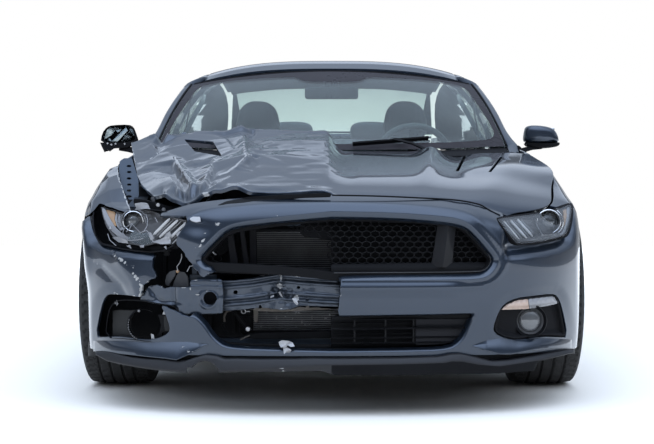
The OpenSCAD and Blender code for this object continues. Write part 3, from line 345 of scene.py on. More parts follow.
# ---------------------------------------------------------------- materials
class Mat:
    def __init__(s, name):
        s.m = bpy.data.materials.new(name); s.m.use_nodes = True; s.t = s.m.node_tree; s.t.nodes.clear()
        s.out = s.n("OutputMaterial"); s.b = s.n("BsdfPrincipled"); s.l(s.b, 0, s.out, 0)
        s.tc = s.n("TexCoord")
    def n(s, kind, **k):
        x = s.t.nodes.new("ShaderNode" + kind)
        for a, v in k.items(): setattr(x, a, v)
        return x
    def l(s, a, ao, b, bi):
        s.t.links.new(a.outputs[ao], b.inputs[bi])
    def set(s, **k):
        for a, v in k.items(): s.b.inputs[a.replace("_", " ")].default_value = v
        return s
    def noise(s, scale, detail=4, rough=0.5, coord="Object", stretch=None, dist=0.0):
        x = s.n("TexNoise"); x.inputs["Scale"].default_value = scale; x.inputs["Detail"].default_value = detail; x.inputs["Roughness"].default_value = rough; x.inputs["Distortion"].default_value = dist
        if stretch:
            mp = s.n("Mapping"); mp.inputs["Scale"].default_value = stretch; s.l(s.tc, coord, mp, 0); s.l(mp, 0, x, 0)
        else: s.l(s.tc, coord, x, 0)
        return x
    def ramp(s, src, so, stops, interp="LINEAR"):
        r = s.n("ValToRGB"); r.color_ramp.interpolation = interp; e = r.color_ramp.elements
        while len(e) < len(stops): e.new(0.5)
        for q, (p, c) in zip(e, stops):
            q.position = p; q.color = (c, c, c, 1) if not hasattr(c, "__len__") else tuple(c)[:3] + (1,)
        s.l(src, so, r, 0); return r
    def mix(s, f, fo, a, b, blend="MIX"):
        x = s.n("Mix", data_type="RGBA", blend_type=blend)
        if f is None: x.inputs[0].default_value = fo
        else: s.l(f, fo, x, 0)
        for v, i in ((a, 6), (b, 7)):
            if isinstance(v, tuple) and len(v) == 2 and hasattr(v[0], "outputs"): s.l(v[0], v[1], x, i)
            else: x.inputs[i].default_value = tuple(v)[:3] + (1,)
        return x
    def math(s, op, a, b=None):
        x = s.n("Math", operation=op)
        for i, v in enumerate([a, b]):
            if v is None: continue
            if isinstance(v, tuple): s.l(v[0], v[1], x, i)
            else: x.inputs[i].default_value = v
        return x
    def bump(s, src, so, strength=0.3, dist=0.001, chain=None):
        x = s.n("Bump"); x.inputs["Strength"].default_value = strength; x.inputs["Distance"].default_value = dist
        s.l(src, so, x, "Height")
        if chain is not None: s.l(chain, 0, x, "Normal")
        s.l(x, 0, s.b, "Normal"); return x
    def col(s, x, o=0): s.l(x, o, s.b, "Base Color"); return s
    def rough(s, x, o=0): s.l(x, o, s.b, "Roughness"); return s

def paint_mat(name="body_paint", base=(0.025, 0.037, 0.059), dark=(0.019, 0.029, 0.046), coat=1.0, dull=0.0):
    m = Mat(name); m.set(Metallic=0.72, Coat_Weight=coat, Coat_Roughness=0.03, Coat_IOR=1.45, IOR=1.5)
    fl = m.n("TexVoronoi"); fl.inputs["Scale"].default_value = 1400; m.l(m.tc, "Object", fl, 0)
    big = m.noise(2.2, 3)
    c1 = m.mix(big, 0, dark, base)
    fr = m.ramp(fl, 0, [(0.0, 1.18), (0.6, 0.92)])
    c2 = m.mix(None, 0.35, (c1, 2), (fr, 0), "MULTIPLY")
    # chips, scratches and torn edges follow the mesh's wear attribute
    at = m.n("Attribute", attribute_name="wear")
    n1 = m.noise(55, 6, 0.65); n2 = m.noise(14, 4, 0.6, stretch=(1, 1, 3.5), dist=1.5)
    sm = m.math("ADD", (n1, 0), (n2, 0)); w = m.math("MULTIPLY", (at, 2), 1.35); s_ = m.math("ADD", (sm, 0), (w, 0))
    k = m.ramp(s_, 0, [(0.0, 0.0), (0.80, 0.0), (0.84, 1.0)])
    s_.inputs[1].default_value = 0
    sc = m.math("MULTIPLY", (s_, 0), 0.5); m.l(sc, 0, k, 0)
    prim = m.mix(n1, 0, (0.20, 0.20, 0.205), (0.42, 0.42, 0.41))
    c3 = m.mix(k, 0, (c2, 2), (prim, 2)); m.col(c3, 2)
    rr = m.ramp(k, 0, [(0, 0.30 + dull), (1, 0.62)]); m.rough(rr)
    cw = m.ramp(k, 0, [(0, coat), (1, 0.0)]); m.l(cw, 0, m.b, "Coat Weight")
    me = m.ramp(k, 0, [(0, 0.72), (1, 0.0)]); m.l(me, 0, m.b, "Metallic")
    op = m.noise(420, 2)
    b1 = m.bump(op, 0, 0.012, 0.0005); m.bump(k, 0, 0.25, 0.0006, chain=b1)
    return m.m
def plastic_mat(name, c=(0.0055, 0.0056, 0.0064), rough=0.5, grain=900, strength=0.25, coat=0.0, spec=0.05, dust=0.003):
    m = Mat(name); m.set(Coat_Weight=coat, Coat_Roughness=0.08); m.b.inputs["Specular IOR Level"].default_value = spec
    a = m.noise(grain, 3); b = m.noise(6, 4)
    c1 = m.mix(b, 0, c, tuple(x * 1.5 + dust for x in c)); m.col(c1, 2)
    r = m.ramp(b, 0, [(0.3, rough - 0.08), (0.7, rough + 0.1)]); m.rough(r); m.bump(a, 0, strength, 0.0006)
    return m.m
def metal_mat(name, c=(0.5, 0.5, 0.5), rough=0.35, brushed=None, dirt=0.25, dirtc=(0.05, 0.045, 0.04), metallic=1.0):
    m = Mat(name); m.set(Metallic=metallic)
    n = m.noise(9, 6, 0.6); f = m.noise(300, 3, stretch=brushed) if brushed else m.noise(160, 5)
    k = m.ramp(n, 0, [(0.42, 0.0), (0.75, dirt)]); c1 = m.mix(f, 0, tuple(x * 0.85 for x in c), tuple(min(1, x * 1.1) for x in c))
    c2 = m.mix(k, 0, (c1, 2), dirtc); m.col(c2, 2)
    r = m.ramp(n, 0, [(0.3, rough), (0.8, min(1, rough + 0.25))]); m.rough(r); m.bump(f, 0, 0.08, 0.0005)
    return m.m
def glass_mat(name, c=(0.8, 0.9, 0.88), alpha=0.25, rough=0.0, coat=0.0, vary=0.04):
    m = Mat(name); m.set(Roughness=rough, IOR=1.45, Alpha=alpha); n = m.noise(3, 3)
    c1 = m.mix(n, 0, c, tuple(max(0, x - vary) for x in c)); m.col(c1, 2); m.b.inputs["Specular IOR Level"].default_value = 0.8
    return m.m
def tint_glass(name, tint=(0.55, 0.70, 0.66), rough=0.0, grime=0.02):
    """Thin pane: clear to straight rays with a tint, glossy on the surface."""
    m = Mat(name); t = m.t
    tr = m.n("BsdfTransparent"); tr.inputs[0].default_value = tuple(tint) + (1,)
    gl = m.n("BsdfGlossy"); gl.inputs["Roughness"].default_value = rough; gl.inputs["Color"].default_value = (1, 1, 1, 1)
    lw = m.n("LayerWeight"); lw.inputs[0].default_value = 0.5; pw = m.math("POWER", (lw, 1), 5.0); ml = m.math("MULTIPLY", (pw, 0), 0.95); fr = m.math("ADD", (ml, 0), 0.045)
    n = m.noise(5, 4); di = m.n("BsdfDiffuse"); di.inputs[0].default_value = (0.5, 0.55, 0.55, 1)
    k = m.ramp(n, 0, [(0.35, 0.0), (0.9, grime)])
    a = m.n("MixShader"); m.l(k, 0, a, 0); m.l(tr, 0, a, 1); m.l(di, 0, a, 2)
    b = m.n("MixShader"); m.l(fr, 0, b, 0); m.l(a, 0, b, 1); m.l(gl, 0, b, 2); m.l(b, 0, m.out, 0)
    m.t.nodes.remove(m.b)
    return m.m
def leather_mat(name, c=(0.02, 0.021, 0.023), rough=0.5):
    m = Mat(name); v = m.n("TexVoronoi", feature="DISTANCE_TO_EDGE"); v.inputs["Scale"].default_value = 420; m.l(m.tc, "Object", v, 0)
    n = m.noise(5, 5); c1 = m.mix(n, 0, c, tuple(x * 2.0 + 0.004 for x in c)); m.col(c1, 2); r = m.ramp(n, 0, [(0.3, rough - 0.1), (0.7, rough + 0.12)]); m.rough(r)
    e = m.ramp(v, 0, [(0.0, 0.0), (0.12, 1.0)]); b = m.bump(e, 0, 0.35, 0.0006); m.bump(n, 0, 0.2, 0.004, chain=b); m.b.inputs["Sheen Weight"].default_value = 0.15
    return m.m
def tyre_mat(name="tyre_rubber"):
    m = Mat(name); n = m.noise(14, 6, 0.65); f = m.noise(700, 3)
    c1 = m.mix(n, 0, (0.012, 0.012, 0.013), (0.034, 0.033, 0.032)); m.col(c1, 2); r = m.ramp(n, 0, [(0.3, 0.62), (0.75, 0.86)]); m.rough(r); m.bump(f, 0, 0.3, 0.0008); m.b.inputs["Specular IOR Level"].default_value = 0.35
    return m.m
M_PAINT = paint_mat()
M_PAINT_IN = paint_mat("inner_paint", base=(0.05, 0.066, 0.09), dark=(0.03, 0.04, 0.055), coat=0.2, dull=0.2)
M_BLACK = plastic_mat("black_plastic")
M_GRAIN = plastic_mat("grained_plastic", c=(0.008, 0.008, 0.009), rough=0.62, grain=500, strength=0.5)
M_GLOSSB = plastic_mat("gloss_black", c=(0.005, 0.005, 0.0056), rough=0.3, strength=0.03, coat=0.12, dust=0.003)
M_FRIT = plastic_mat("frit", c=(0.024, 0.022, 0.025), rough=0.3, strength=0.02, dust=0.004)
M_GREY = plastic_mat("grey_plastic", c=(0.06, 0.06, 0.063), rough=0.5)
M_CAST = metal_mat("cast_metal", (0.20, 0.20, 0.20), 0.6, dirt=0.6)
M_STEEL = metal_mat("bare_steel", (0.55, 0.55, 0.56), 0.3, brushed=(1, 1, 12), dirt=0.15)
M_TORN = metal_mat("torn_edge", (0.40, 0.40, 0.41), 0.45, dirt=0.45, metallic=0.3)
M_DISC = metal_mat("disc_steel", (0.45, 0.44, 0.43), 0.3, dirt=0.3)
M_CHROME = metal_mat("chrome", (0.66, 0.66, 0.67), 0.06, dirt=0.02)
M_FIN = metal_mat("radiator_fins", (0.12, 0.12, 0.12), 0.55, dirt=0.5)
M_EXH = metal_mat("exhaust_steel", (0.42, 0.40, 0.38), 0.35, dirt=0.5)
M_RIM = metal_mat("rim_dark", (0.075, 0.077, 0.082), 0.32, dirt=0.2, metallic=0.6)
M_RIMCUT = metal_mat("rim_machined", (0.55, 0.55, 0.56), 0.22, brushed=(1, 14, 14), dirt=0.05)
M_CHASSIS = plastic_mat("chassis_coat", c=(0.007, 0.0072, 0.0085), rough=0.6, grain=120, strength=0.3)
M_BEAM = paint_mat("beam_paint", base=(0.062, 0.074, 0.094), dark=(0.03, 0.037, 0.05), coat=0.5, dull=0.08)
M_TYRE = tyre_mat()
M_LEATHER = leather_mat("seat_leather")
M_DASH = plastic_mat("dash_skin", c=(0.028, 0.028, 0.03), rough=0.6, grain=350, strength=0.5)
M_CARPET = plastic_mat("carpet", c=(0.02, 0.02, 0.021), rough=0.95, grain=1500, strength=1.0)
M_WIND = tint_glass("windscreen_glass", (0.86, 0.93, 0.91))
M_SIDEG = tint_glass("side_glass", (0.88, 0.94, 0.93))
M_LENS = tint_glass("clear_lens", (0.93, 0.94, 0.95))
M_REDLENS = glass_mat("red_lens", (0.32, 0.006, 0.008), 0.92, 0.05)
M_AMBER = glass_mat("amber_reflector", (0.46, 0.32, 0.22), 0.95, 0.25, vary=0.2)
M_CLEARREF = glass_mat("clear_reflector", (0.38, 0.38, 0.39), 0.9, 0.15, vary=0.25)
M_BOWL = plastic_mat("lamp_bowl", c=(0.045, 0.044, 0.045), rough=0.3, strength=0.02, coat=0.5, dust=0.01)
M_BAR = plastic_mat("light_bar", c=(0.34, 0.335, 0.33), rough=0.25, strength=0.02, coat=0.6, dust=0.05)
M_SHARD = tint_glass("shard_glass", (0.82, 0.86, 0.88), 0.05, grime=0.25)
# ---------------------------------------------------------------- view geometry used to lay out outlines
def proj(P):
    P = np.asarray(P, float); s = (P[..., 1] + 7237) / 1520
    return 331.5 + P[..., 0] / s, 199.3 - (P[..., 2] - 700) / s, s
def unproj(px, py, Y):
    s = (np.asarray(Y, float) + 7237) / 1520
    return np.stack(np.broadcast_arrays((px - 331.5) * s, Y, 700 + (199.3 - py) * s), -1)
def mir(pts): return [(663 - a, b) for a, b in pts]
def pdist(P, pts, m=False):
    """Signed distance in mm, in the front view, to an outline; m for the same outline on the other side."""
    px, py, s = proj(P)
    if m: px = 663 - px
    return poly_dist(px, py, pts) * s
def even(fn1, a, b, step, n=400):
    x = np.linspace(a, b, n); L = np.concatenate([[0], np.cumsum(np.linalg.norm(np.diff(fn1(x), axis=0), axis=1))])
    return np.interp(np.linspace(0, L[-1], max(2, int(L[-1] / step) + 1)), L, x)
def ring_us(a, b, step, v=3.0): return even(lambda x: ring(x, np.full_like(x, v)), a, b, step)
def ring_vs(a, b, step, u=3.0): return even(lambda x: ring(np.full_like(x, u), x), a, b, step)
def yz(P, pts): return poly_dist(P[..., 1], P[..., 2], pts)
def xy(P, pts): return poly_dist(P[..., 0], P[..., 1], pts)
def arch(P, r, y, z=340): return np.hypot(P[..., 1] - y, P[..., 2] - z) - r
def ragged(P, amp, s=26, seed=1): return amp * (fbm(P, s, seed, 3) + 0.35 * noise(P, s / 7, seed + 9))
# outlines in the front view, in its pixels, for the undamaged side
G_OUT = smooth_poly([(331,211.6),(394,212.8),(440,216.2),(457,218.5),(468.5,223),(480,234.4),(490,246),(497,255),(499,260),(496,268),(489,275.7),(478,279),(440,279.6),(331,280.5),(166+165,300-88.4)][:14], 1, False)
G_OUT = np.concatenate([G_OUT, smooth_poly([(331,280.5),(300,276.5),(262,273.5),(230,272),(206,270.8),(199,266),(195.5,261),(196,256.5),(202,249),(210,240),(219,231),(229,225.5),(240,222.5),(262,219.5),(300,214.8),(331,211.8)], 1, False)])
L_OUT = smooth_poly([(331,316),(440,314.2),(470,313.3),(476.5,313.4),(473,322),(467,335),(460,344),(450,349.6),(430,351.4),(331,352.6)], 1, False)
L_OUT = np.concatenate([L_OUT, smooth_poly([(331,352.6),(300,352),(262,350.8),(240,350),(224,348),(216,343),(209,336),(203,327),(196,319.5),(190,315.5),(215,314.5),(262,314),(331,316)], 1, False)])
LAMP_O = smooth_poly([(495,218.6),(502,216.5),(518,214.4),(545,210.6),(553.5,208.8),(571,202.6),(573,204),(573.2,212),(572.2,222),(569.8,232),(566.5,236.8),(556.5,240.2),(541,243),(522,245),(516,244),(512,240.4)], 1)
FOG_O = smooth_poly([(499,312),(505,303.6),(516.5,298.2),(534,296),(552,294),(557.5,295.8),(562,307),(568,337.4),(558,337),(542,336.4),(517.5,340.4),(505,338.4),(495,333.4),(493.4,328)], 1)
HOLE1 = [(156,251),(152.5,259),(155,270.5),(158,279),(149,281),(143,287),(139,299.5),(150,299),(163,298),(189.5,299),(205,284),(192,264),(184.5,258),(181,251),(176,244.5)]
TORN_TOP = [(139.7,300),(143,290),(150,286),(160,286),(165,289),(170,287.5),(189.5,287.5),(192,300),(190,308),(179,313)]
def front_disp(P, N):
    """Shape within the bumper cover that the side lines don't carry."""
    x = np.abs(P[..., 0]); z = P[..., 2]; px, py, s = proj(P); ax = np.where(px < 331.5, 663 - px, px)
    cz = np.interp(ax, [480, 506, 520, 545, 560, 573, 600], [262, 262, 261, 257, 253.5, 247, 240])
    m = sst(500, 513, ax) * (1 - sst(566, 576, ax)); d = -24 * m * sst(0, 1, (cz - py) / 13.0) * (1 - 0.35 * sst(14, 30, cz - py))
    fd = poly_dist(ax, py, FOG_O) * s                       # shallow recess round the lower lamps
    d = d - 6 * (1 - sst(2, 38, -fd)) * sst(488, 512, ax)
    gd = poly_dist(ax, py, G_OUT) * s                       # raised lip round the grille
    d = d + 3.0 * np.exp(-((gd + 26) / 9) ** 2)
    bar = sst(281, 285, py) * (1 - sst(290, 300, py)) * (1 - sst(440, 470, ax)); d = d + 5 * bar
    return d
def slim(P):
    """Keeps the flanks inside the outline of the nose, softly."""
    px, py, s = proj(P); x = P[..., 0]
    tl = np.interp(py, [150, 164, 172, 180, 188, 196, 204, 212, 220, 228, 236, 300, 330, 360], [214, 215.5, 220.5, 225.5, 230.5, 235.5, 241.5, 245, 246.5, 247.5, 248.3, 248.8, 248.8, 248])
    tr = np.interp(py, [150, 164, 172, 180, 188, 196, 204, 212, 220, 228, 236, 252, 268, 284, 292, 340, 360], [213, 214, 216, 220.5, 229, 240.5, 243.5, 245.5, 249.5, 250.3, 249.5, 248.5, 247.5, 245.5, 244.5, 243.5, 242])
    t = np.where(x > 0, tl, tr) * s; a = np.abs(x); w = 16.0; o = np.maximum(a - (t - w), 0); a = np.where(o > 0, t - w + w * (1 - np.exp(-o / w)), a)
    return np.stack([np.sign(x) * a, P[..., 1], P[..., 2]], -1)
def bumper_fn(U, V):
    P = ring(U, V); N = normals_of(ring, U, V); P = P + N * front_disp(P, N)[..., None]
    # damage on the right side: dents, buckles and the cover's rear edge standing proud
    px, py, s = proj(P); L = 1 - sst(-80, 20, P[..., 0])
    d = -16 * np.exp(-((px - 178) / 22) ** 2 - ((py - 262) / 20) ** 2) - 12 * np.exp(-((px - 196) / 14) ** 2 - ((py - 226) / 10) ** 2)
    d = d + 7 * ridge(px, py, [(120, 262), (133, 280), (139, 300)], 5, 9, 1) - 8 * ridge(px, py, [(100, 268), (118, 286), (128, 306)], 7, 4, 1)
    d = d + 22 * np.exp(-((px - 83) / 6) ** 2) * sst(215, 224, py) * (1 - sst(255, 285, py))
    d = d + 3.0 * noise(P, 70, 5) * sst(60, 0, poly_dist(px, py, HOLE1) * -s * 0.4 + 10)
    return slim(P + N * (d * L)[..., None])
def zone_tear(P):
    """What is torn away in the front: the middle bar's right half and the corner under the lamp."""
    px, py, s = proj(P); q = np.minimum(0, 0)
    T = [(340,283.4),(336,282),(335,274),(331,270),(300,268),(262,266),(214,266),(207.5,273),(203,276.5),(196,270),(191.5,263),(184.5,257),(181,250),(176,244.5),(166,247),(156,251),(152.5,259),(155,270.5),(158,279),(149,281),(143,287),(139,300),(150,300),(179,313.5),(192,317),(230,314.5),(262,318),(331,316),(339,314)]
    d = poly_dist(px, py, T) * s
    return -(d + ragged(P, 7, 40, 3))
def bumper_trim(P):
    x, y, z = P[..., 0], P[..., 1], P[..., 2]; L = x < 0
    f = -pdist(P, G_OUT); f = np.minimum(f, -pdist(P, L_OUT))
    gl = [(262,220),(229,225),(213,238),(196,256),(199,265),(206,270),(260,271),(262,240)]
    for m in (False, True):
        side = (x < 0) == m
        lamp = -pdist(P, LAMP_O, m); fog = -pdist(P, FOG_O, m)
        if m: lamp = np.minimum(lamp, -pdist(P, [(93,211.6),(100,203),(108,206),(150,216),(186,216),(187,222),(176,238),(176,245),(158,252.6),(127.6,249.5),(106.6,245),(100,243),(94,232.6)]))
        up = -np.where((np.abs(x) > 470), pdist(P, [(503,214.3),(509,212.8),(522,210),(540,205),(556,197),(560,100),(640,100),(640,218.6),(590,218.6),(579,214.4),(573.4,204.6),(571,202.4),(560,212),(510,220)] , m), -1e3)
        f = np.where(side, np.minimum(np.minimum(f, lamp), np.minimum(fog, up)), f)
    # hood's front edge: shut line in front of it
    top = np.where(x > 0, (np.interp(np.abs(x), [0, 120, 215, 340, 470, 500, 560], [-2272, -2268, -2258, -2226, -2150, -2128, -2100]) - y), 400.0)
    f = np.minimum(f, np.where(np.abs(x) < 520, top, 1e3))
    sd = -yz(P, [(-1884, 1000), (-1886, 692), (-1834, 600), (-1808, 470), (-1808, 100), (-1400, 100), (-1400, 1000)])
    f = np.minimum(f, sd); f = np.minimum(f, arch(P, 392, -1437))
    f = np.where(x < 60, np.minimum(f, zone_tear(P)), f)
    f = np.where(x < -470, np.minimum(f, -pdist(P, [(40, 226), (80, 222.6), (88, 216), (94, 211.6), (100, 203.4), (110, 150), (40, 150)])), f)
    px, py, s = proj(P)
    f = np.where(L, np.minimum(f, -poly_dist(px, py, [(200,364),(188,373),(192,380),(222,380),(214,366)]) * s), f)
    return f
def bumper_hole(p):
    g = float(pdist(p[None], G_OUT)[0]); l = float(pdist(p[None], L_OUT)[0])
    if abs(g) < 9: return [(1.5, .4, 25), (4, 2, 45), (12, 9, 55), (15, 13, 75), (16, 30, 90)]
    if abs(l) < 9: return [(2, .6, 30), (6, 4, 55), (9, 10, 80), (9, 34, 90)]
    return None
def bumper_wear(P, N, UV):
    px, py, s = proj(P); w = np.zeros(len(P)); L = P[:, 0] < 40
    zt = -zone_tear(P); w = np.where(L & (zt < 0), np.maximum(w, 0.5 * np.exp(zt / 6)), w)
    spots = [(120,259,5,3,.8),(133,267,5,3,.75),(114,294,6,4,.85),(133,296,6,3,.8),(136,277,3,5,.7),(218,224,9,6,.8),(205,232,5,5,.7),(276,215,3,3,.8),(195,247,4,3,.6),(172,352,12,4,.7),(187,347,9,5,.7),(285,347,9,6,1.0),(212,300,10,8,.55),(116,262,8,2,.6),(98,246,9,2,.45),(240,213,14,3,.5),(150,300,8,3,.6),(127,353,6,3,.5),(192,291,8,3,.6),(108,232,3,6,.4)]
    for a, b, rx, ry, k in spots: w = np.maximum(w, 0.62 * k * np.exp(-((px - a) / rx) ** 2 - ((py - b) / ry) ** 2))
    for line in ([(131,272),(136,277),(141,285),(139,299)], [(118,258),(126,264),(132,271)], [(199,247),(205,238)]):
        w = np.maximum(w, 0.9 * np.exp(-(poly_dist(px, py, line, False) / 0.9) ** 2))
    return P, None, np.where(L, w, 0)
us = ring_us(-6.3, 6.3, 9.0); vs = ring_vs(0.0, 6.9, 8.5, 1.5)
bp = panel(bumper_fn, us, vs, bumper_trim, r=2.2, t=9, hole=bumper_hole, post=bumper_wear)
put("front_bumper_cover", bp, M_PAINT, "body_shell", "front_bumper")

# ---------------------------------------------------------------- front wings
def fender_disp(P):
    y, z = P[..., 1], P[..., 2]
    a = np.hypot(y + 1437, z - 340) - 392                    # flare round the wheel arch
    d = 7 * np.exp(-(np.maximum(a, 0) / 16) ** 2)
    cl = np.interp(y, [-1900, -1600, -1200, -818], [640, 690, 722, 735])
    return d + 4 * np.exp(-((z - cl) / 26) ** 2) * sst(-1990, -1700, y)
def fender_fn(U, V):
    P = ring(U, V); N = normals_of(ring, U, V); return slim(P + N * fender_disp(P)[..., None])
FEN_SIDE = [(-2010, 646), (-1856, 646), (-1828, 602), (-1802, 472), (-1802, 120), (-828, 120), (-828, 1000), (-1996, 1000)]
def fender_trim(P):
    f = yz(P, FEN_SIDE); f = np.minimum(f, arch(P, 390, -1437)); px, py, s = proj(P * [np.sign(P[..., :1].mean() + 1e-9), 1, 1])
    f = np.where(P[..., 1] < -1820, np.minimum(f, -poly_dist(px, py, [(520, 214), (545, 210.2), (553.5, 208.2), (571, 202.0), (573.6, 205), (579, 214.8), (590, 219), (640, 219), (640, 300), (520, 300)]) * s), f)
    f = np.minimum(f, -yz(P, [(-1600, 100), (-1600, 330), (-1118, 330), (-1118, 268), (-700, 268), (-700, 100)]))
    return f
us = ring_us(4.9, 10.05, 10); vs = ring_vs(0.0, 6.92, 9, 8)
fd = panel(fender_fn, us, vs, fender_trim, r=2.2, t=9)
put("front_wing_left", fd, M_PAINT, "body_shell", "fender_left")
def fenderR_fn(U, V):
    P = slim(fender_fn(U, np.minimum(V, 6.92)) * [-1, 1, 1]); y, z = P[..., 1], P[..., 2]; q = np.clip((V - 6.92) / .88, 0, 1)
    P = P + np.stack([1.3 * q * np.interp(y, [-2050, -1960, -1880, -1733, -1500, -1200, -1000], [35, 52, 60, 46, 34, 12, 0]), 0 * q, 1.15 * sst(5.3, 7.7, V) * np.interp(y, [-2010, -1960, -1880, -1733, -1500, -1200, -1000], [0, 4, 34, 50, 38, 10, 0])], -1)
    k = sst(-1250, -1900, y) * sst(600, 760, z)              # pushed up and out at the front, its top edge curled
    P = P + np.stack([-2 * k, 0 * k, 6 * k], -1)
    d = 10 * ridge(y, z, [(-1850, 660), (-1700, 690), (-1500, 770)], 30, 60, 4) * sst(-1300, -1500, y) + 2.5 * noise(P, 160, 7) * sst(-1100, -1500, y)
    return P + np.stack([-d, 0 * d, 0 * d], -1)
def fenderR_n(U, V): return -normals_of(fenderR_fn, U, V)
def fenderR_trim(P):
    px, py, s = proj(P); Q = P * [-1, 1, 1]; f = fender_trim(Q)
    keep = [(126, 157), (119.4, 163.4), (118.4, 171), (120.6, 181), (123.8, 189.5), (128.4, 202.4), (133, 214.2), (125, 212.8), (110, 207.8), (99.6, 203.4), (95, 209.5), (89, 215.4), (80, 221), (40, 225), (40, 100), (126, 100)]
    tr = np.where((P[..., 1] < -1150) & (P[..., 2] > 600), poly_dist(px, py, keep) * s + ragged(P, 1.5, 30, 11), 1e3)
    near = P[..., 1] < -1150
    return np.where(near & (P[..., 2] > 640), np.minimum(arch(Q, 390, -1437), tr), f)
def fenderR_wear(P, N, UV):
    px, py, s = proj(P); w = 0.8 * np.exp(-(poly_dist(px, py, [(118.7, 160), (117.7, 175), (127, 203), (132.6, 214.8)], False) / 0.9) ** 2) * (P[:, 1] < -1150)
    w = np.maximum(w, 0.5 * np.exp(-((P[:, 1] + 1850) / 60) ** 2 - ((P[:, 2] - 640) / 40) ** 2)); return P, None, w
fr = panel(fenderR_fn, ring_us(3.6, 10.05, 10), np.concatenate([vs, np.linspace(vs[-1] + .04, 7.8, 12)]), fenderR_trim, r=2.2, t=9, normal_fn=fenderR_n, post=fenderR_wear)
fr["F"] = [f[::-1] for f in fr["F"]]
put("front_wing_right", fr, M_PAINT, "body_shell", "fender_right")

# ---------------------------------------------------------------- bonnet
HXE = spl([[0,586],[0.085,705],[0.143,750],[0.23,777],[0.385,807],[0.533,842],[0.744,856],[0.9,839],[1,821]])
HZC = spl([[0,716],[0.1,748],[0.2,772],[0.4,812],[0.6,848],[0.8,880],[1,904]])
HZE = spl([[0,652],[0.085,668],[0.143,682],[0.23,707],[0.385,749],[0.533,793],[0.744,838],[1,893]])
def hood_L(s, t):
    """Undamaged half: s 0 to 1 across, t 0 to 1 from the nose to the windscreen."""
    a = np.abs(s); xe = HXE(t); zc = HZC(t); ze = HZE(t); x = a * xe
    xr = lerp(300, 420, t); xo = tab([[0,500],[0.75,738],[1,790]], t)
    z = ze + (zc - ze) * (1 - a ** 2.4) + lerp(4, 24, t * t) * np.exp(-((x - xr) / 44) ** 2) - 22 * t * t * np.exp(-((x - xr - 105) / 62) ** 2) + 9 * np.exp(-((x - xo) / 70) ** 2) * (1 - a ** 8)
    z = z - 5 * sst(0.03, 0, t) - 3 * sst(0.985, 1, t)
    return np.stack([x, lerp(-2260 + 104 * a ** 4, -812 - 16 * a * a, t), z], -1)
XLs = lambda Y: np.interp(Y, [-2010, -1880, -1700, -1480, -1180, -905], [610, 650, 692, 735, 785, 833])
YFs = lambda x: np.interp(x, [-610, -566, -530, -487, -458, -420, -366, -326, -265, -209, -103, 0], [-2010, -2070, -2110, -2150, -2170, -2185, -2200, -2205, -2225, -2235, -2250, -2260])
YRs = lambda x: np.interp(x, [-833, -784, -735, -636, -502, -385, -309, -111, 0], [-905, -880, -868, -856, -846, -838, -832, -818, -812])
def hood_base(x, y):
    t = np.clip((y + 2260) / 1448, 0, 1); a = np.clip(-x / XLs(y), 0, 1.1); m = sst(60, -30, x)
    drop = np.interp(t, [0, .173, .262, .387, .539, .746, .936, 1], [14, 65, 73, 87, 91, 77, 43, 36])
    return HZC(t) + 85 * t * m - drop * a ** 2.4
RIM = [(131.6,140.6,143.1,144.0),(144,138,141,142),(156,131.2,134.6,136),(168,130.4,133.0,137.2),(178,130.4,133.2,136.6),(195,130.4,132.2,133.2),(211,130.6,132.2,134.4),(224.5,130.8,133.0,136.6),(233,127.6,130.3,134.4),(241.3,124.8,128.2,131.8),(250,128.9,131.6,134.2),(258,128.4,129.6,131.0),(265,129.3,130.4,131.4),(290,130.2,131.5,133.1),(310,131,133,135.4),(329,131.9,134.4,137.4)]
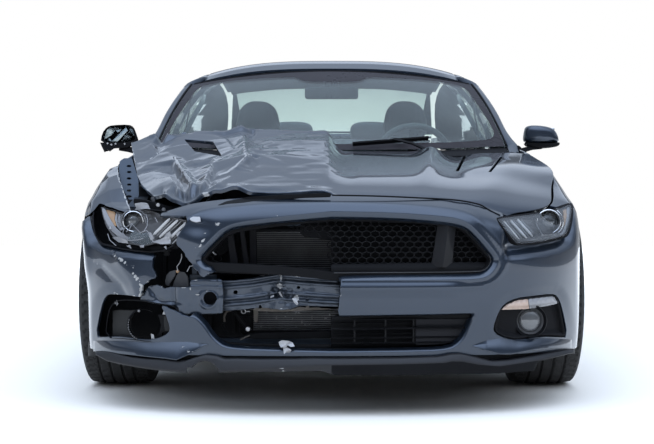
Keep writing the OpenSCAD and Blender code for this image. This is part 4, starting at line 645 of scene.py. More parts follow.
CREASE = [  # px, py, height over the smooth surface
 [(132,143,0),(134.5,159,2),(137.5,174,0),(141.5,183,-4),(147,190,-4),(154,195.5,-6)],
 [(148.4,144,6),(151.3,142.1,8),(158.3,135.6,8)],[(161.2,138.6,-20),(162.2,142.6,-24),(156.8,153.5,-4)],[(151.3,142.1,8),(154.3,147.6,10),(156.8,153.5,4)],
 [(180,137.2,-14),(168.2,141.1,-18),(162,139,-20)],[(166,147.6,10),(157,154,8),(149.4,159.4,8),(139.5,169.3,10)],[(168,149,-6),(159,155.5,-6),(150.5,161.5,-4)],
 [(166,147.6,10),(170,156,8),(177,163.9,20)],[(177,163.9,20),(188,178,22),(199.8,192,26)],[(199.8,192,26),(204.2,200.5,10)],
 [(171.5,165.8,-4),(174.1,171.3,-14),(183,189.1,-18),(190,200,-12),(193.9,205.5,-6)],
 [(150,172,6),(158,182,8),(166,190,8),(176,197,10)],[(170.1,175.2,14),(178,187,16),(186,198,12),(187.4,204,2)],[(164.2,195.5,4),(176,201,6),(185,205.5,4)],
 [(200.8,193,30),(197,180,2),(189,170,4),(182,163.4,8)],[(200.8,193,30),(206,180,22),(211,167,20),(214,158,10)],[(200.8,193,30),(212,186,18),(222,180.5,16),(231.4,175.2,20)],
 [(206,190,2),(213,178,-6),(216,172,-4)],[(190,160,16),(196,163,12),(205,168,-6)],[(184,158.4,-6),(187,162,-8)],
 [(246.2,154.5,42),(235.4,166.3,30),(226.5,172.6,18),(212,175.4,6)],[(248,157.5,26),(238,168.5,12),(228,175.5,2),(214,178,-2)],
 [(246.2,154.5,42),(245,145,34),(243.6,136,22),(243,132.4,14)],[(253.5,150.6,-4),(254,144,-10),(252,136,-12)],[(247.3,152.7,30),(246,143,20)],
 [(246.2,154.5,42),(238,152,16),(227,137.5,10)],[(235.4,151.5,2),(230,143,-2),(224.5,138.5,-4)],[(246.2,154.5,42),(232,156,14),(222,157.5,8)],
 [(246.2,154.5,42),(258,156.3,22),(275,154,12),(292.2,151.6,4)],[(258,153.8,6),(275,151.4,2),(291,150,0)],
 [(249,157,30),(253,167,10),(256.5,176.1,4)],[(257,160,8),(261,168,6)],[(251,160,14),(250,170,8)],
 [(204.5,198.6,6),(212,195,2),(218.8,190.8,2)],[(222,189.5,12),(231,188.4,26),(235.1,187.9,30),(241.2,189.4,24),(248,193,8)],
 [(228,184,8),(238,183,8),(250,186,4)],[(262,190,2),(290,188,2),(320,186,1)],[(300,140,4),(315,150,0),(325,165,0)],[(275,141,2),(268,147,-4)],[(290,165,2),(275,175,0),(300,178,0)],
]
from mathutils.geometry import delaunay_2d_cdt
def hood_controls():
    C, E = [], []
    for px, a, b, c in RIM:
        x = (px - 331.5) * 4.19; Y = float(YRs(x)); k = 1.0
        for py, dy in ((a, 0), (b, -34), (c, -44)):
            q = unproj(px, py, Y + dy); C.append((q[0], q[1], q[2] - hood_base(q[0], q[1])))
    for px, py, Y in [(131.6,143.6,-925),(134.5,159,-1180),(137.5,174,-1480),(141.5,183,-1700),(147,190,-1880),(154,195,-2010),(165,200,-2070),(175,204.5,-2110),(186,209,-2150),(194,206,-2170),(205,201,-2185),(212,198.4,-2190),(221,195.5,-2200),(226,191,-2203),(233,188,-2206),(239,188.6,-2212),(246,193,-2220),(251,195.6,-2225),(268,196,-2235),(285,195.2,-2243),(300,194.4,-2250),(316,193.2,-2256),(331,192.4,-2260)]:
        q = unproj(px, py, Y); C.append((q[0], q[1], q[2] - hood_base(q[0], q[1])))
    for line in CREASE:
        pts = []
        for k in range(len(line) - 1):
            (ax, ay, ah), (bx, by, bh) = line[k], line[k + 1]; n = max(1, int(np.hypot(bx - ax, (by - ay) * 1.0) / 4))
            pts += [(ax + (bx - ax) * i / n, ay + (by - ay) * i / n, ah + (bh - ah) * i / n) for i in range(n)]
        pts.append(line[-1]); start = len(C)
        for px, py, h in pts:
            lo_, hi_ = -2262.0, -860.0
            g = lambda Y: (700 + (199.3 - py) * (Y + 7237) / 1520) - hood_base((px - 331.5) * (Y + 7237) / 1520, Y) - h
            Ys = np.linspace(lo_, hi_, 300); gv = np.array([float(g(Y)) for Y in Ys]); w_ = np.where(gv[:-1] * gv[1:] <= 0)[0]
            Y = Ys[w_[0]] if len(w_) else Ys[np.abs(gv).argmin()]
            x = (px - 331.5) * (Y + 7237) / 1520; C.append((x, Y, h)); 
            if len(C) - start > 1: E.append((len(C) - 2, len(C) - 1))
    for y in np.linspace(-2255, -815, 12): C.append((50.0, y, 0.0)); C.append((-5.0, y, 0.0))
    return np.array(C), E
HC, HE = hood_controls()
def tri_field(C, E):
    out = delaunay_2d_cdt([Vector((c[0], c[1])) for c in C], E, [], 0, 1e-4)
    v = np.array([[p[0], p[1]] for p in out[0]]); h = np.array([np.mean([C[i][2] for i in o]) if o else np.nan for o in out[3]])
    for i in np.where(np.isnan(h))[0]:
        d = np.hypot(*(C[:, :2] - v[i]).T); k = d.argsort()[:3]; h[i] = (C[k, 2] / (d[k] + 1)).sum() / (1 / (d[k] + 1)).sum()
    return v, h, np.array([list(f) for f in out[2]])
hv, hh, hf = tri_field(HC, HE)
GX, GY = np.arange(-880, 60.1, 5.0), np.arange(-2290, -780.1, 5.0)
HG = np.full((len(GX), len(GY)), np.nan)
for f in hf:
    a, b, c = hv[f[0]], hv[f[1]], hv[f[2]]; x0, x1 = min(a[0], b[0], c[0]), max(a[0], b[0], c[0]); y0, y1 = min(a[1], b[1], c[1]), max(a[1], b[1], c[1])
    i0, i1 = max(0, int((x0 - GX[0]) / 5)), min(len(GX) - 1, int((x1 - GX[0]) / 5) + 1); j0, j1 = max(0, int((y0 - GY[0]) / 5)), min(len(GY) - 1, int((y1 - GY[0]) / 5) + 1)
    X, Y = np.meshgrid(GX[i0:i1 + 1], GY[j0:j1 + 1], indexing="ij"); D = (b[0] - a[0]) * (c[1] - a[1]) - (c[0] - a[0]) * (b[1] - a[1])
    if abs(D) < 1e-6: continue
    wb = ((X - a[0]) * (c[1] - a[1]) - (c[0] - a[0]) * (Y - a[1])) / D; wc = ((b[0] - a[0]) * (Y - a[1]) - (X - a[0]) * (b[1] - a[1])) / D; m = (wb >= -1e-6) & (wc >= -1e-6) & (wb + wc <= 1 + 1e-6)
    HG[i0:i1 + 1, j0:j1 + 1][m] = (hh[f[0]] * (1 - wb - wc) + hh[f[1]] * wb + hh[f[2]] * wc)[m]
for _ in range(200):   # carry the field past its outline
    nanm = np.isnan(HG)
    if not nanm.any(): break
    S = np.zeros_like(HG); K = np.zeros_like(HG)
    for dx, dy in ((1, 0), (-1, 0), (0, 1), (0, -1)):
        R_ = np.roll(HG, (dx, dy), (0, 1)); ok = ~np.isnan(R_); S[ok] += R_[ok]; K[ok] += 1
    fill = nanm & (K > 0); HG[fill] = S[fill] / K[fill]
HG = np.nan_to_num(HG)
def blur(A, n):
    for _ in range(n):
        B = np.pad(A, 1, mode="edge"); A = (B[:-2, 1:-1] + B[2:, 1:-1] + B[1:-1, :-2] + B[1:-1, 2:] + 4 * A) / 8
    return A
HS = blur(HG, 40); HG = blur(HG, 2)
def hg(x, y):
    u = np.clip((x - GX[0]) / 5, 0, len(GX) - 1.001); v = np.clip((y - GY[0]) / 5, 0, len(GY) - 1.001); i, j = u.astype(int), v.astype(int); a, b = u - i, v - j
    return HG[i, j] * (1 - a) * (1 - b) + HG[i + 1, j] * a * (1 - b) + HG[i, j + 1] * (1 - a) * b + HG[i + 1, j + 1] * a * b
def hs(x, y):
    u = np.clip((x - GX[0]) / 5, 0, len(GX) - 1.001); v = np.clip((y - GY[0]) / 5, 0, len(GY) - 1.001); i, j = u.astype(int), v.astype(int); a, b = u - i, v - j
    return HS[i, j] * (1 - a) * (1 - b) + HS[i + 1, j] * a * (1 - b) + HS[i, j + 1] * (1 - a) * b + HS[i + 1, j + 1] * a * b
def hood_fn(S, T):
    A = hood_L(np.maximum(S, 0), T); a = np.clip(-S, 0, 1)
    x = -a * XLs(lerp(-2010, -905, T)); y = lerp(YFs(-610 * a), YRs(-833 * a), T)
    x = np.where(S > 0, A[..., 0], x); y = np.where(S > 0, A[..., 1], y)
    e = np.minimum(y - YFs(x), (x + XLs(y)) * 1.4); ke = sst(70, 6, e) * sst(-150, -240, x) * np.interp(x, [-620, -470, -400, -240], [1, 1, .9, .55]); ke = np.maximum(ke, sst(-95, -30, x)); lf = -30 * np.exp(-((x + 475) / 62) ** 2) * np.exp(-(np.maximum(e, 0) / 60) ** 2) + 9 * np.exp(-(np.maximum(y - YFs(x), 0) / 70) ** 2) * sst(-420, -340, x) * sst(20, -30, x)
    zd = hood_base(x, y) + lerp(hg(x, y), hs(x, y), ke) + lf + 1.2 * noise(np.stack([x, y, 0 * x], -1), 60, 3); k = sst(110, -40, x)
    zd = zd + np.where(x > 0, -14 * ridge(x, y, [(60, -2200), (95, -1600), (70, -900)], 30, 16, 3), 0) * sst(-2250, -1500, y)
    zi = A[..., 2]
    z = np.where(S > 0, lerp(zi, zd, k), zd)
    return np.stack([x, y, z], -1)
VENT_R = [(184.6,139.4),(213.4,141.8),(221.6,155.8),(194.6,151)]
VENT_L = [(456,170),(463.4,156.6),(500.4,156.6),(488.6,171)]
def hood_trim(P):
    px, py, s = proj(P); x, y = P[..., 0], P[..., 1]
    f = np.full(x.shape, 1e3)
    vl = np.maximum(poly_dist(px, py, [(455.6,170.8),(463.2,156.2),(465.6,156.2),(458.8,170.8)]), poly_dist(px, py, [(488.4,171.4),(500.2,156.4),(502.6,157),(491,171.6)])) * 3.2; vr = poly_dist(px, py, VENT_R) * 3.2
    f = np.where(x > 0, -vl, -vr) 
    e = np.where((x < -20), np.minimum((y - YFs(x)), (x + XLs(y))), 1e3)
    return np.minimum(f, np.where(x < -20, e + ragged(P, 1.2, 40, 21) + 2, 1e3))
def hood_wear(P, N, UV):
    px, py, s = proj(P); w = np.zeros(len(P)); L = P[:, 0] < 0
    line = lambda pts, k, r: k * np.exp(-(poly_dist(px, py, pts, False) / r) ** 2)
    w = np.maximum.reduce([line([(247, 154.6), (242.3, 159.4), (235.4, 166.3), (226.5, 172.3), (219, 174.8)], .72, 1.2), line([(244, 154), (249, 154), (253, 156)], .66, 1.1), line([(175.1, 157.5), (179, 164.4)], 1.0, 1.0), line([(165.7, 147.6), (149.4, 159.4)], .62, .6),
        line([(222, 190.5), (231, 188.2), (235.1, 187.8), (241.2, 189.2), (251.4, 195.3)], .62, .8), line([(203, 193.5), (218.8, 190.4)], .66, .9), line([(203.6, 198.5), (212, 196)], .6, .8), line([(200.8, 193), (216, 184)], .6, .6), line([(131.6, 140.6), (134.5, 159), (141.5, 183)], .5, .5), line([(258, 155.5), (275, 153)], .5, .5)])
    return P, None, np.where(L, w, 0)
ss = np.concatenate([np.linspace(-1, 0, 104)[:-1], np.linspace(0, 1, 86)]); tt = np.linspace(0, 1, 165) ** 1.0
hp = panel(hood_fn, ss, tt, hood_trim, r=1.5, t=9, flange=[(1.0, .3, 25), (2.2, 1.6, 60), (2.6, 4, 90), (2.0, 13, 90)], post=hood_wear)
put("bonnet", hp, M_PAINT, "hood", "hood")

# ---------------------------------------------------------------- windscreen, roof, pillars
def wind(S, T):
    x = S * lerp(764, 665, T); y = lerp(-752 + 150 * S * S, -45 + 60 * S * S, T); z = lerp(908 + 22 * S * S, 1308 - 60 * S * S, T); b = 26 * 4 * T * (1 - T)
    return np.stack([x, y - 0.5 * b, z + 0.87 * b], -1)
def roof(S, T):
    a = np.abs(S) ** 3.0; zc = 13 * np.sin(np.pi * np.clip(T, 0, 1)) ** .8 + tab([[0,1318],[0.1,1347],[0.25,1371],[0.45,1381],[0.65,1378],[0.85,1355],[1,1330]], T); ze = tab([[0,1266],[0.1,1293],[0.25,1322],[0.45,1336],[0.65,1330],[0.85,1308],[1,1290]], T)
    return np.stack([S * lerp(606, 566, T), lerp(-25 + 60 * S * S, 1090 - 50 * S * S, T), lerp(zc, ze, a)], -1)
def rearw(S, T):
    b = 22 * 4 * T * (1 - T); return np.stack([S * lerp(545, 600, T), lerp(1108 - 55 * S * S, 1800 - 120 * S * S, T) + 0.32 * b, lerp(1322 - 42 * S * S, 1088 - 14 * S * S, T) + 0.95 * b], -1)
def sheet_grid(fn, ss, tt, thick, nf=None):
    S, T = np.meshgrid(ss, tt, indexing="ij"); A = fn(S, T); N = normals_of(fn, S, T); return A, A - N * thick
def shell(name, fn, ss, tt, thick, mat, body, rep=(), slot=None, off=0.0):
    S, T = np.meshgrid(ss, tt, indexing="ij"); A = fn(S, T); N = normals_of(fn, S, T); V, F = thick_grid(A - N * off, A - N * (off + thick)); return make(name, V, F, mat, body, rep, angle=40, slot=slot)
shell("windscreen", wind, np.linspace(-.995, .995, 49), np.linspace(.004, .99, 33), 5, M_WIND, "body_shell", "windshield", "clear_glass")
def frit_trim(P):   # keeps the border band: outside an inner rounded outline
    T = np.clip((P[..., 2] - 908) / 400, 0, 1); px, py, s = proj(P); ax = np.where(px < 331.5, 663 - px, px)
    inner = smooth_poly([(331, 81.8), (352, 81.8), (359, 81), (367, 77.6), (373, 77.2), (420, 79.4), (456, 84.2), (466, 89), (474, 100), (487, 119), (493.5, 131), (494, 136), (489, 139.5), (470, 141), (441, 142.6), (331, 144), (300, 144), (300, 81.8)], 2)
    f = -poly_dist(ax, py, inner) * s
    return f
wi = panel(lambda S, T: wind(S, T) + normals_of(wind, S, T) * 0.4, np.linspace(-.99, .99, 150), np.linspace(.006, .985, 110), frit_trim, r=.6, t=.8, flange=[(.3, .2, 45), (.5, .6, 90)])
put("windscreen_border", wi, M_FRIT, "body_shell", (), slot="black_plastic")
shell("roof_skin", roof, np.linspace(-1, 1, 61), np.concatenate([np.linspace(.004, .12, 12)[:-1], np.linspace(.12, .995, 40)]), 10, M_PAINT, "body_shell", "roof_panel", "paint")
def glass_top(y):
    return tab([[-595,[799,936]],[-455,[773,994]],[-303,[749,1082]],[-146,[725,1156]],[20,[701,1218]],[250,[677,1262]],[472,[665,1272]]], y)
def pillar():
    parts = []
    ys = np.concatenate([np.linspace(-690, 20, 40), np.linspace(30, 478, 22)]); R = []
    for y in ys:
        T = np.clip((y + 602) / (15 + 602.0), 0, 1); w = wind(np.float64(1.0), np.float64(T))
        if y < -602: w = w + [0, y + 602, (y + 602) * 0.30]
        if y > 15: k = (y - 15) / 463; w = np.array([lerp(665, 600, min(1, k * 6)) if k < .17 else lerp(603, 598, (k - .17) / .83), y, 0]); w[2] = float(np.interp(y, [15, 60, 150, 300, 478], [1262, 1284, 1304, 1320, 1328]))
        g = glass_top(np.clip(y, -595, 472)); gx, gz = float(g[0]), float(g[1])
        if y < -595: gx, gz = gx + 4, gz - (-595 - y) * 0.62
        I = np.array([w[0] + 2, y, w[2] - 1]); O = np.array([gx + 7, y, gz + 3]); 
        d = O - I; L = np.hypot(d[0], d[2]); d = d / max(L, 1); n = np.array([-d[2], 0, d[0]]); n = n if n[2] > 0 or n[0] > 0 else -n
        if n[0] < 0 and n[2] < 0: n = -n
        n = np.array([abs(n[0]), 0, abs(n[2])]); sec = [I + n * 0, I + d * L * .12 + n * 5, I + d * L * .4 + n * 9, I + d * L * .72 + n * 9, I + d * L * .93 + n * 5, O, O - n * 8 - d * 2, O - n * 24 - d * 10, I - n * 26 + d * 8, I - n * 9]
        R.append(sec)
    return loft(R, True, True)
pl = pillar(); parts = [pl, flipx(pl)]
hdr = []
for i in range(41):
    S = -1 + i / 20.0; a = wind(np.float64(S), np.float64(1.0)); b = roof(np.float64(np.clip(S * 1.0, -1, 1)), np.float64(0.0)); 
    hdr.append([a + [0, 4, -3], a + [0, 10, -14], b + [0, 20, -30], b + [0, 40, -22], b + [0, 30, -12], b + [0, 4, -11]])
parts.append(loft(hdr, True, True))
V, F = join_parts(parts); make("pillars_and_header", V, F, M_PAINT, "body_shell", "pillar_frame", angle=35, slot="paint")
# black seam beside the windscreen, and the drip seam along the roof
sm = []
for sg in (1, -1):
    sm.append(tube([wind(np.float64(sg * 0.998), np.float64(t)) + [sg * 2, 2, 2] for t in np.linspace(.01, .985, 30)], 4.5, 8))
sm.append(tube([wind(np.float64(s_), np.float64(.988)) + [0, 3, 1] for s_ in np.linspace(-.98, .98, 40)], 4.0, 8))
V, F = join_parts(sm); make("windscreen_seal", V, F, M_BLACK, "body_shell", angle=50, slot="black_plastic")
# scuttle panel and wipers
cow = []
for i in range(61):
    s_ = -1 + i / 30.0; a = wind(np.float64(s_), np.float64(0.0)); x = a[0]; yf = -790 - 14 * s_ * s_ + 60 * abs(s_) ** 6; zf = 872 + 14 * abs(s_)
    cow.append([[x, yf, zf], [x, yf + 10, zf + 6 + 1.5 * math.sin(i * 3.1)], [x, a[1] - 14, a[2] - 14], [x, a[1] + 6, a[2] - 5], [x, a[1] + 8, a[2] - 14], [x, yf + 8, zf - 10]])
V, F = loft(cow, True, True); cw = [(V, F)]
for i in range(-20, 21):
    if abs(i) > 1: cw.append(rbox((i * 30 - 8, -786, 876), (i * 30 + 8, -764, 886), 2))
V, F = join_parts(cw); make("scuttle_panel", V, F, M_GRAIN, "body_shell", angle=35, slot="black_plastic")
wp = []
for x0, x1, k in ((90, 420, 1), (-520, -160, 1)):
    q = [wind(np.float64(lerp(x0, x1, t) / 760), np.float64(0.03 + 0.05 * t)) + [0, -8, 12] for t in np.linspace(0, 1, 24)]
    wp.append(sweep(q, [(-4, 0), (4, 0), (6, 8), (0, 12), (-6, 8)], up=(0, -.5, .87))); wp.append(sweep([p + [0, 2, -8] for p in q], [(-1.5, 0), (1.5, 0), (1.5, 8), (-1.5, 8)], up=(0, -.5, .87)))
    m_ = q[12]; e_ = np.array([x0 + (x1 - x0) * 1.02, -770, 900.0]); wp.append(sweep([m_ + [0, -4, 10], (m_ + e_) / 2 + [0, -8, 14], e_], [(-7, -3), (7, -3), (7, 3), (-7, 3)], up=(0, -.5, .87))); wp.append(revolve([(-10, 0), (-10, 13), (4, 13), (8, 9), (8, 0)], e_, "z", 20, close=False))
V, F = join_parts(wp); make("wipers", V, F, M_BLACK, "body_shell", angle=35, slot="black_plastic")

# ---------------------------------------------------------------- doors, side glass, quarters, rear
def door_fn(U, V):
    P = ring(U, V); y, z = P[..., 1], P[..., 2]
    cl = np.interp(y, [-818, -300, 478], [735, 748, 768]); d = 4 * np.exp(-((z - cl) / 26) ** 2) - 7 * np.exp(-((z - (cl - 60)) / 40) ** 2)
    lo_ = np.interp(y, [-818, 478], [395, 372]); d = d + 5 * np.exp(-((z - lo_) / 24) ** 2)
    return P + np.stack([d, 0 * d, 0 * d], -1)
DOOR_SIDE = [(-818, 272), (-818, 800), (-806, 1100), (478, 1100), (478, 272)]
def door_trim(P): return yz(P, DOOR_SIDE)
us = ring_us(9.85, 13.0, 17); vs = np.concatenate([ring_vs(0.9, 6.2, 15, 11), ring_vs(6.25, 6.96, 7, 11)])
dd = panel(door_fn, us, vs, door_trim, r=2.5, t=30, thick_dir=lambda P: np.stack([-np.interp(P[:, 2], [800, 930], [80, 22]), 0 * P[:, 1], 0 * P[:, 2]], -1))
put("door_skin_left", dd, M_PAINT, "door_left", "door_left"); put("door_skin_right", mirror(dd), M_PAINT, "door_right", "door_right")
yv = np.linspace(-588, 472, 54)
def dglass(off, y, k):
    b = tab([[-600,[812,926]],[-300,[810,938]],[0,[810,948]],[300,[812,957]],[480,[814,963]]], y); e_ = glass_top(y)
    return np.stack([lerp(b[..., 0], e_[..., 0], k) + 14 * np.sin(np.pi * k) * np.minimum(1, (e_[..., 1] - b[..., 1]) / 250) - off, y, lerp(b[..., 1], e_[..., 1], k)], -1)
Y_, K_ = np.meshgrid(yv, np.linspace(0, 1, 17), indexing="ij"); gl = thick_grid(dglass(0, Y_, K_), dglass(5, Y_, K_))
gl = (gl[0], [f[::-1] for f in gl[1]])
for side, part in (("left", gl), ("right", flipx(gl))): make("door_glass_pane_" + side, part[0], part[1], M_SIDEG, "door_" + side, "door_glass_" + side, angle=40, slot="clear_glass")
tr = []
b_ = [dglass(-5, np.float64(y), np.float64(0.0)) for y in np.linspace(-600, 476, 50)]; tr.append(sweep(b_, [(-7, -9), (6, -9), (6, 5), (-3, 9), (-7, 3)], up=(0, 0, 1)))
t_ = [dglass(-2, np.float64(y), np.float64(1.0)) for y in np.linspace(-592, 472, 50)]; tr.append(sweep(t_, [(-6, -7), (6, -7), (6, 5), (-6, 5)], up=(0, 0, 1)))
V, F = join_parts(tr); 
for side, part in (("left", (V, F)), ("right", flipx((V, F)))): make("door_window_trim_" + side, part[0], part[1], M_BLACK, "door_" + side, angle=40, slot="black_plastic")
hn = []
P0 = [np.array([0, y, 0.0]) for y in ()]
hy = np.linspace(250, 415, 15); hb = [np.array([float(np.interp(y, [250, 415], [909, 915])) + 30 * math.sin(math.pi * (i / 14.0)) ** .5, y, 800 + 4 * i / 14.0]) for i, y in enumerate(hy)]
hn.append(sweep(hb, [(-8, -13), (4, -15), (8, -6), (8, 6), (4, 15), (-8, 13)], up=(0, 0, 1)))
hn.append(rbox((893, 262, 783), (912, 402, 822), 6)); V, F = join_parts(hn)
for side, part in (("left", (V, F)), ("right", flipx((V, F)))): make("door_handle_" + side, part[0], part[1], M_PAINT, "door_" + side, angle=40, slot="paint")
# quarter panels with the sail up to the roof
REt = np.array([[484,612,1318],[700,606,1322],[900,596,1306],[1050,590,1280],[1200,590,1244],[1400,600,1186],[1600,616,1118],[1700,628,1084],[1850,636,1072],[2000,628,1072],[2200,600,1078]], float)
def sail(U, K):
    b = ring(U, np.full_like(U, 7.0)); ex = np.interp(b[..., 1], REt[:, 0], REt[:, 1]); ez = np.interp(b[..., 1], REt[:, 0], REt[:, 2]); ez = np.maximum(ez, b[..., 2] + 6)
    h = np.maximum(0, (ez - b[..., 2]) / 330); s_ = np.sin(np.pi * K)
    return np.stack([lerp(b[..., 0], ex, K) + 30 * h * s_, b[..., 1], lerp(b[..., 2], ez, K) + 8 * h * s_], -1)
def quarter_fn(U, W):   # W runs 0 to 7 up the side, then 7 to 8 up the sail
    A = ring(U, np.minimum(W, 7.0)); B = sail(U, np.clip(W - 7, 0, 1)); P = np.where((W > 7)[..., None], B, A); y, z = P[..., 1], P[..., 2]
    a = np.hypot(y - 1283, z - 340) - 396; d = 8 * np.exp(-(np.maximum(a, 0) / 20) ** 2) * (W < 7)
    cl = np.interp(y, [478, 1283, 2100], [768, 800, 842]); d = d + 4 * np.exp(-((z - cl) / 26) ** 2) * (W < 7)
    return P + np.stack([d, 0 * d, 0 * d], -1)
QGp = smooth_poly([(520,985),(520,1255),(640,1262),(780,1240),(900,1170),(985,1075),(960,1030)], 1)
def quarter_trim(P):
    f = -yz(P, [(300,100),(300,1500),(489,1500),(489,268),(940,268),(940,100)]); f = np.minimum(f, -yz(P, QGp))
    f = np.minimum(f, -yz(P, [(1640,100),(1672,440),(1700,470),(1900,640),(2062,700),(2300,700),(2300,100)])); f = np.minimum(f, -yz(P, [(2065,695),(2068,860),(2085,1020),(2400,1020),(2400,695)]))
    f = np.minimum(f, arch(P, 394, 1283)); f = np.minimum(f, np.where(P[..., 2] > 900, -xy(P, [(100,1822),(622,1822),(612,2400),(100,2400)]), 1e3)); return f
us = ring_us(12.8, 18.35, 17); vs = np.concatenate([ring_vs(0.02, 7.0, 15, 15), np.linspace(7.03, 8, 22)])
qd = panel(quarter_fn, us, vs, quarter_trim, r=2.5, t=26, normal_fn=lambda a, b: normals_of(quarter_fn, a, b, 0.004))
put("rear_quarter_left", qd, M_PAINT, "body_shell", "quarter_panels"); put("rear_quarter_right", mirror(qd), M_PAINT, "body_shell")
U_, W_ = np.meshgrid(np.linspace(12.9, 14.6, 26), np.linspace(0.0, 1, 20), indexing="ij")
def qglass(sgn):
    fnq = lambda a, b: sail(a, b) - [9, 0, 2]
    return panel(fnq, np.linspace(12.88, 14.75, 60), np.linspace(0.0, 1, 40), lambda P: yz(P, QGp) + 6, r=1, t=5)
qg = qglass(1); put("quarter_window_left", qg, M_SIDEG, "body_shell", slot="clear_glass"); put("quarter_window_right", mirror(qg), M_SIDEG, "body_shell", slot="clear_glass")
shell("rear_screen", rearw, np.linspace(-.985, .985, 41), np.linspace(.01, .99, 25), 5, M_SIDEG, "body_shell", "rear_glass", "clear_glass")
def rw_trim(P):
    S = P[..., 0] / 560; T = (1322 - P[..., 2]) / 230; return -np.minimum(np.minimum((0.93 - np.abs(S)) * 560, (P[..., 1] - 1140 + 55 * S * S)), 1770 - 110 * S * S - P[..., 1])
rb = panel(lambda S, T: rearw(S, T) + normals_of(rearw, S, T) * 0.4, np.linspace(-.98, .98, 110), np.linspace(.012, .985, 70), rw_trim, r=.6, t=.8, flange=[(.3, .2, 45), (.5, .6, 90)])
put("rear_screen_border", rb, M_FRIT, "body_shell", slot="black_plastic")
KT = np.array([[600,1828,0,1079],[592,1980,0,1084],[580,2150,-12,1090],[566,2290,-52,1098],[560,2338,-72,1101],[548,2346,-74,1084],[470,2352,-52,1000],[424,2374,-30,884]], float)
def trunk_fn(S, W):
    i = np.clip(np.floor(W).astype(int), 0, 6); t = W - i; E = np.concatenate([[2 * KT[0] - KT[1]], KT, [2 * KT[-1] - KT[-2]]])
    lin = KT[i] + (KT[i + 1] - KT[i]) * t[..., None]; sm_ = cr(E[i], E[i + 1], E[i + 2], E[i + 3], t[..., None]); k = np.where((W > 3.2) & (W < 5.4), 0.0, 1.0)[..., None]; K = lin + (sm_ - lin) * k
    d = 7 * np.exp(-((W - 4.0) / .35) ** 2)
    return np.stack([S * K[..., 0] * .992, K[..., 1] + K[..., 2] * S * S + d * .6, K[..., 3] - 4 * S * S + d], -1)
S_, W_ = np.meshgrid(np.linspace(-1, 1, 61), np.concatenate([np.linspace(0, 3, 22)[:-1], np.linspace(3, 5.4, 26)[:-1], np.linspace(5.4, 7, 22)]), indexing="ij")
A = trunk_fn(S_, W_); N = normals_of(trunk_fn, S_, W_, .02); V, F = thick_grid(A, A - N * 13); tp = [(V, F)]
make("boot_lid", V, F, M_PAINT, "trunk_lid", "trunk_lid", angle=32, slot="paint")
def rb_fn(U, V):
    P = ring(U, V); N = normals_of(ring, U, V); x, z = np.abs(P[..., 0]), P[..., 2]; bk = P[..., 1] > 2100
    d = -26 * sst(178, 170, x) * sst(478, 492, z) * sst(668, 652, z) * bk
    d = d - 8 * sst(0, 14, 352 - z) * sst(520, 470, x) * bk + 5 * np.exp(-((z - 690) / 16) ** 2) * bk
    return P + N * d[..., None]
def rb_trim(P):
    f = np.full(P.shape[:-1], 1e3)
    Q = P * [1, 1, 1]; f = np.minimum(f, -yz(Q, [(1300,90),(1645,90),(1678,436),(1706,466),(1905,636),(2073,694),(2073,1000),(1300,1000)])); f = np.minimum(f, arch(P, 396, 1283))
    return np.minimum(f, np.hypot(np.abs(P[..., 0]) - 560, P[..., 2] - 268) - 58)
us = ring_us(15.7, 26.3, 15); vs = ring_vs(0.0, 4.8, 13, 20)
rbp = panel(rb_fn, us, vs, rb_trim, r=2.5, t=11); put("rear_bumper_cover", rbp, M_PAINT, "body_shell", "rear_bumper")
V, F = rbox((-152, 2362, 496), (152, 2370, 648), 3)
pc = [(V, F)]
for sx in (-89, 89): pc.append(revolve([(0, 4), (0, 8), (3, 8), (3, 4)], (sx, 2369, 625), "y", 20))
for sz in (502, 642): pc.append(rbox((-146, 2369, sz - 3), (146, 2372, sz + 3), 1))
V, F = join_parts(pc); make("plate_carrier", V, F, M_GRAIN, "body_shell", angle=35, slot="black_plastic")
# under-bumper diffuser fins
df = [rbox((x - 4, 2230, 150), (x + 4, 2350, 240), 3) for x in (-330, -200, -70, 70, 200, 330)] + [rbox((-430, 2215, 196), (430, 2335, 206), 4)]
V, F = join_parts(df); make("rear_diffuser", V, F, M_GRAIN, "body_shell", angle=35, slot="black_plastic")
# tail lamps: black housing, three red bars a side
hs, br = [], []
for i in range(1):
    U0, V0 = np.meshgrid(np.linspace(18.05, 19.58, 34), np.linspace(4.93, 6.09, 20), indexing="ij"); A = ring(U0, V0); N = normals_of(ring, U0, V0); ok = None
    U0, V0 = np.meshgrid(np.linspace(18.3, 19.5, 30), np.linspace(4.95, 6.07, 18), indexing="ij"); A = ring(U0, V0); N = normals_of(ring, U0, V0); hs.append(thick_grid(A - N * 10, A - N * 40))
    for u0, u1 in ((18.42, 18.68), (18.76, 19.04), (19.12, 19.42)):
        U1, V1 = np.meshgrid(np.linspace(u0, u1, 8), np.linspace(5.06, 5.96, 16), indexing="ij"); A = ring(U1, V1); N = normals_of(ring, U1, V1); e_ = 1 - np.maximum(np.abs((U1 - (u0 + u1) / 2) / ((u1 - u0) / 2)) ** 4, np.abs((V1 - 5.51) / .45) ** 6)
        br.append(thick_grid(A - N * (6 - 7 * e_)[..., None], A - N * 16))
V, F = join_parts(hs + [flipx(p) for p in hs]); make("tail_lamp_housings", V, F, M_GLOSSB, "body_shell", "tail_lamps", angle=40, slot="black_plastic")
V, F = join_parts(br + [flipx(p) for p in br]); make("tail_lamp_bars", V, F, M_REDLENS, "body_shell", angle=50, slot="lamp_red")
rp_ = []
S_, W_ = np.meshgrid(np.linspace(-.86, .86, 40), np.linspace(5.72, 6.95, 14), indexing="ij"); A = trunk_fn(S_, W_); N = normals_of(trunk_fn, S_, W_, .02); V, F = thick_grid(A + N * 3, A - N * 2); make("rear_centre_panel", V, F, M_GLOSSB, "trunk_lid", angle=40, slot="black_plastic")
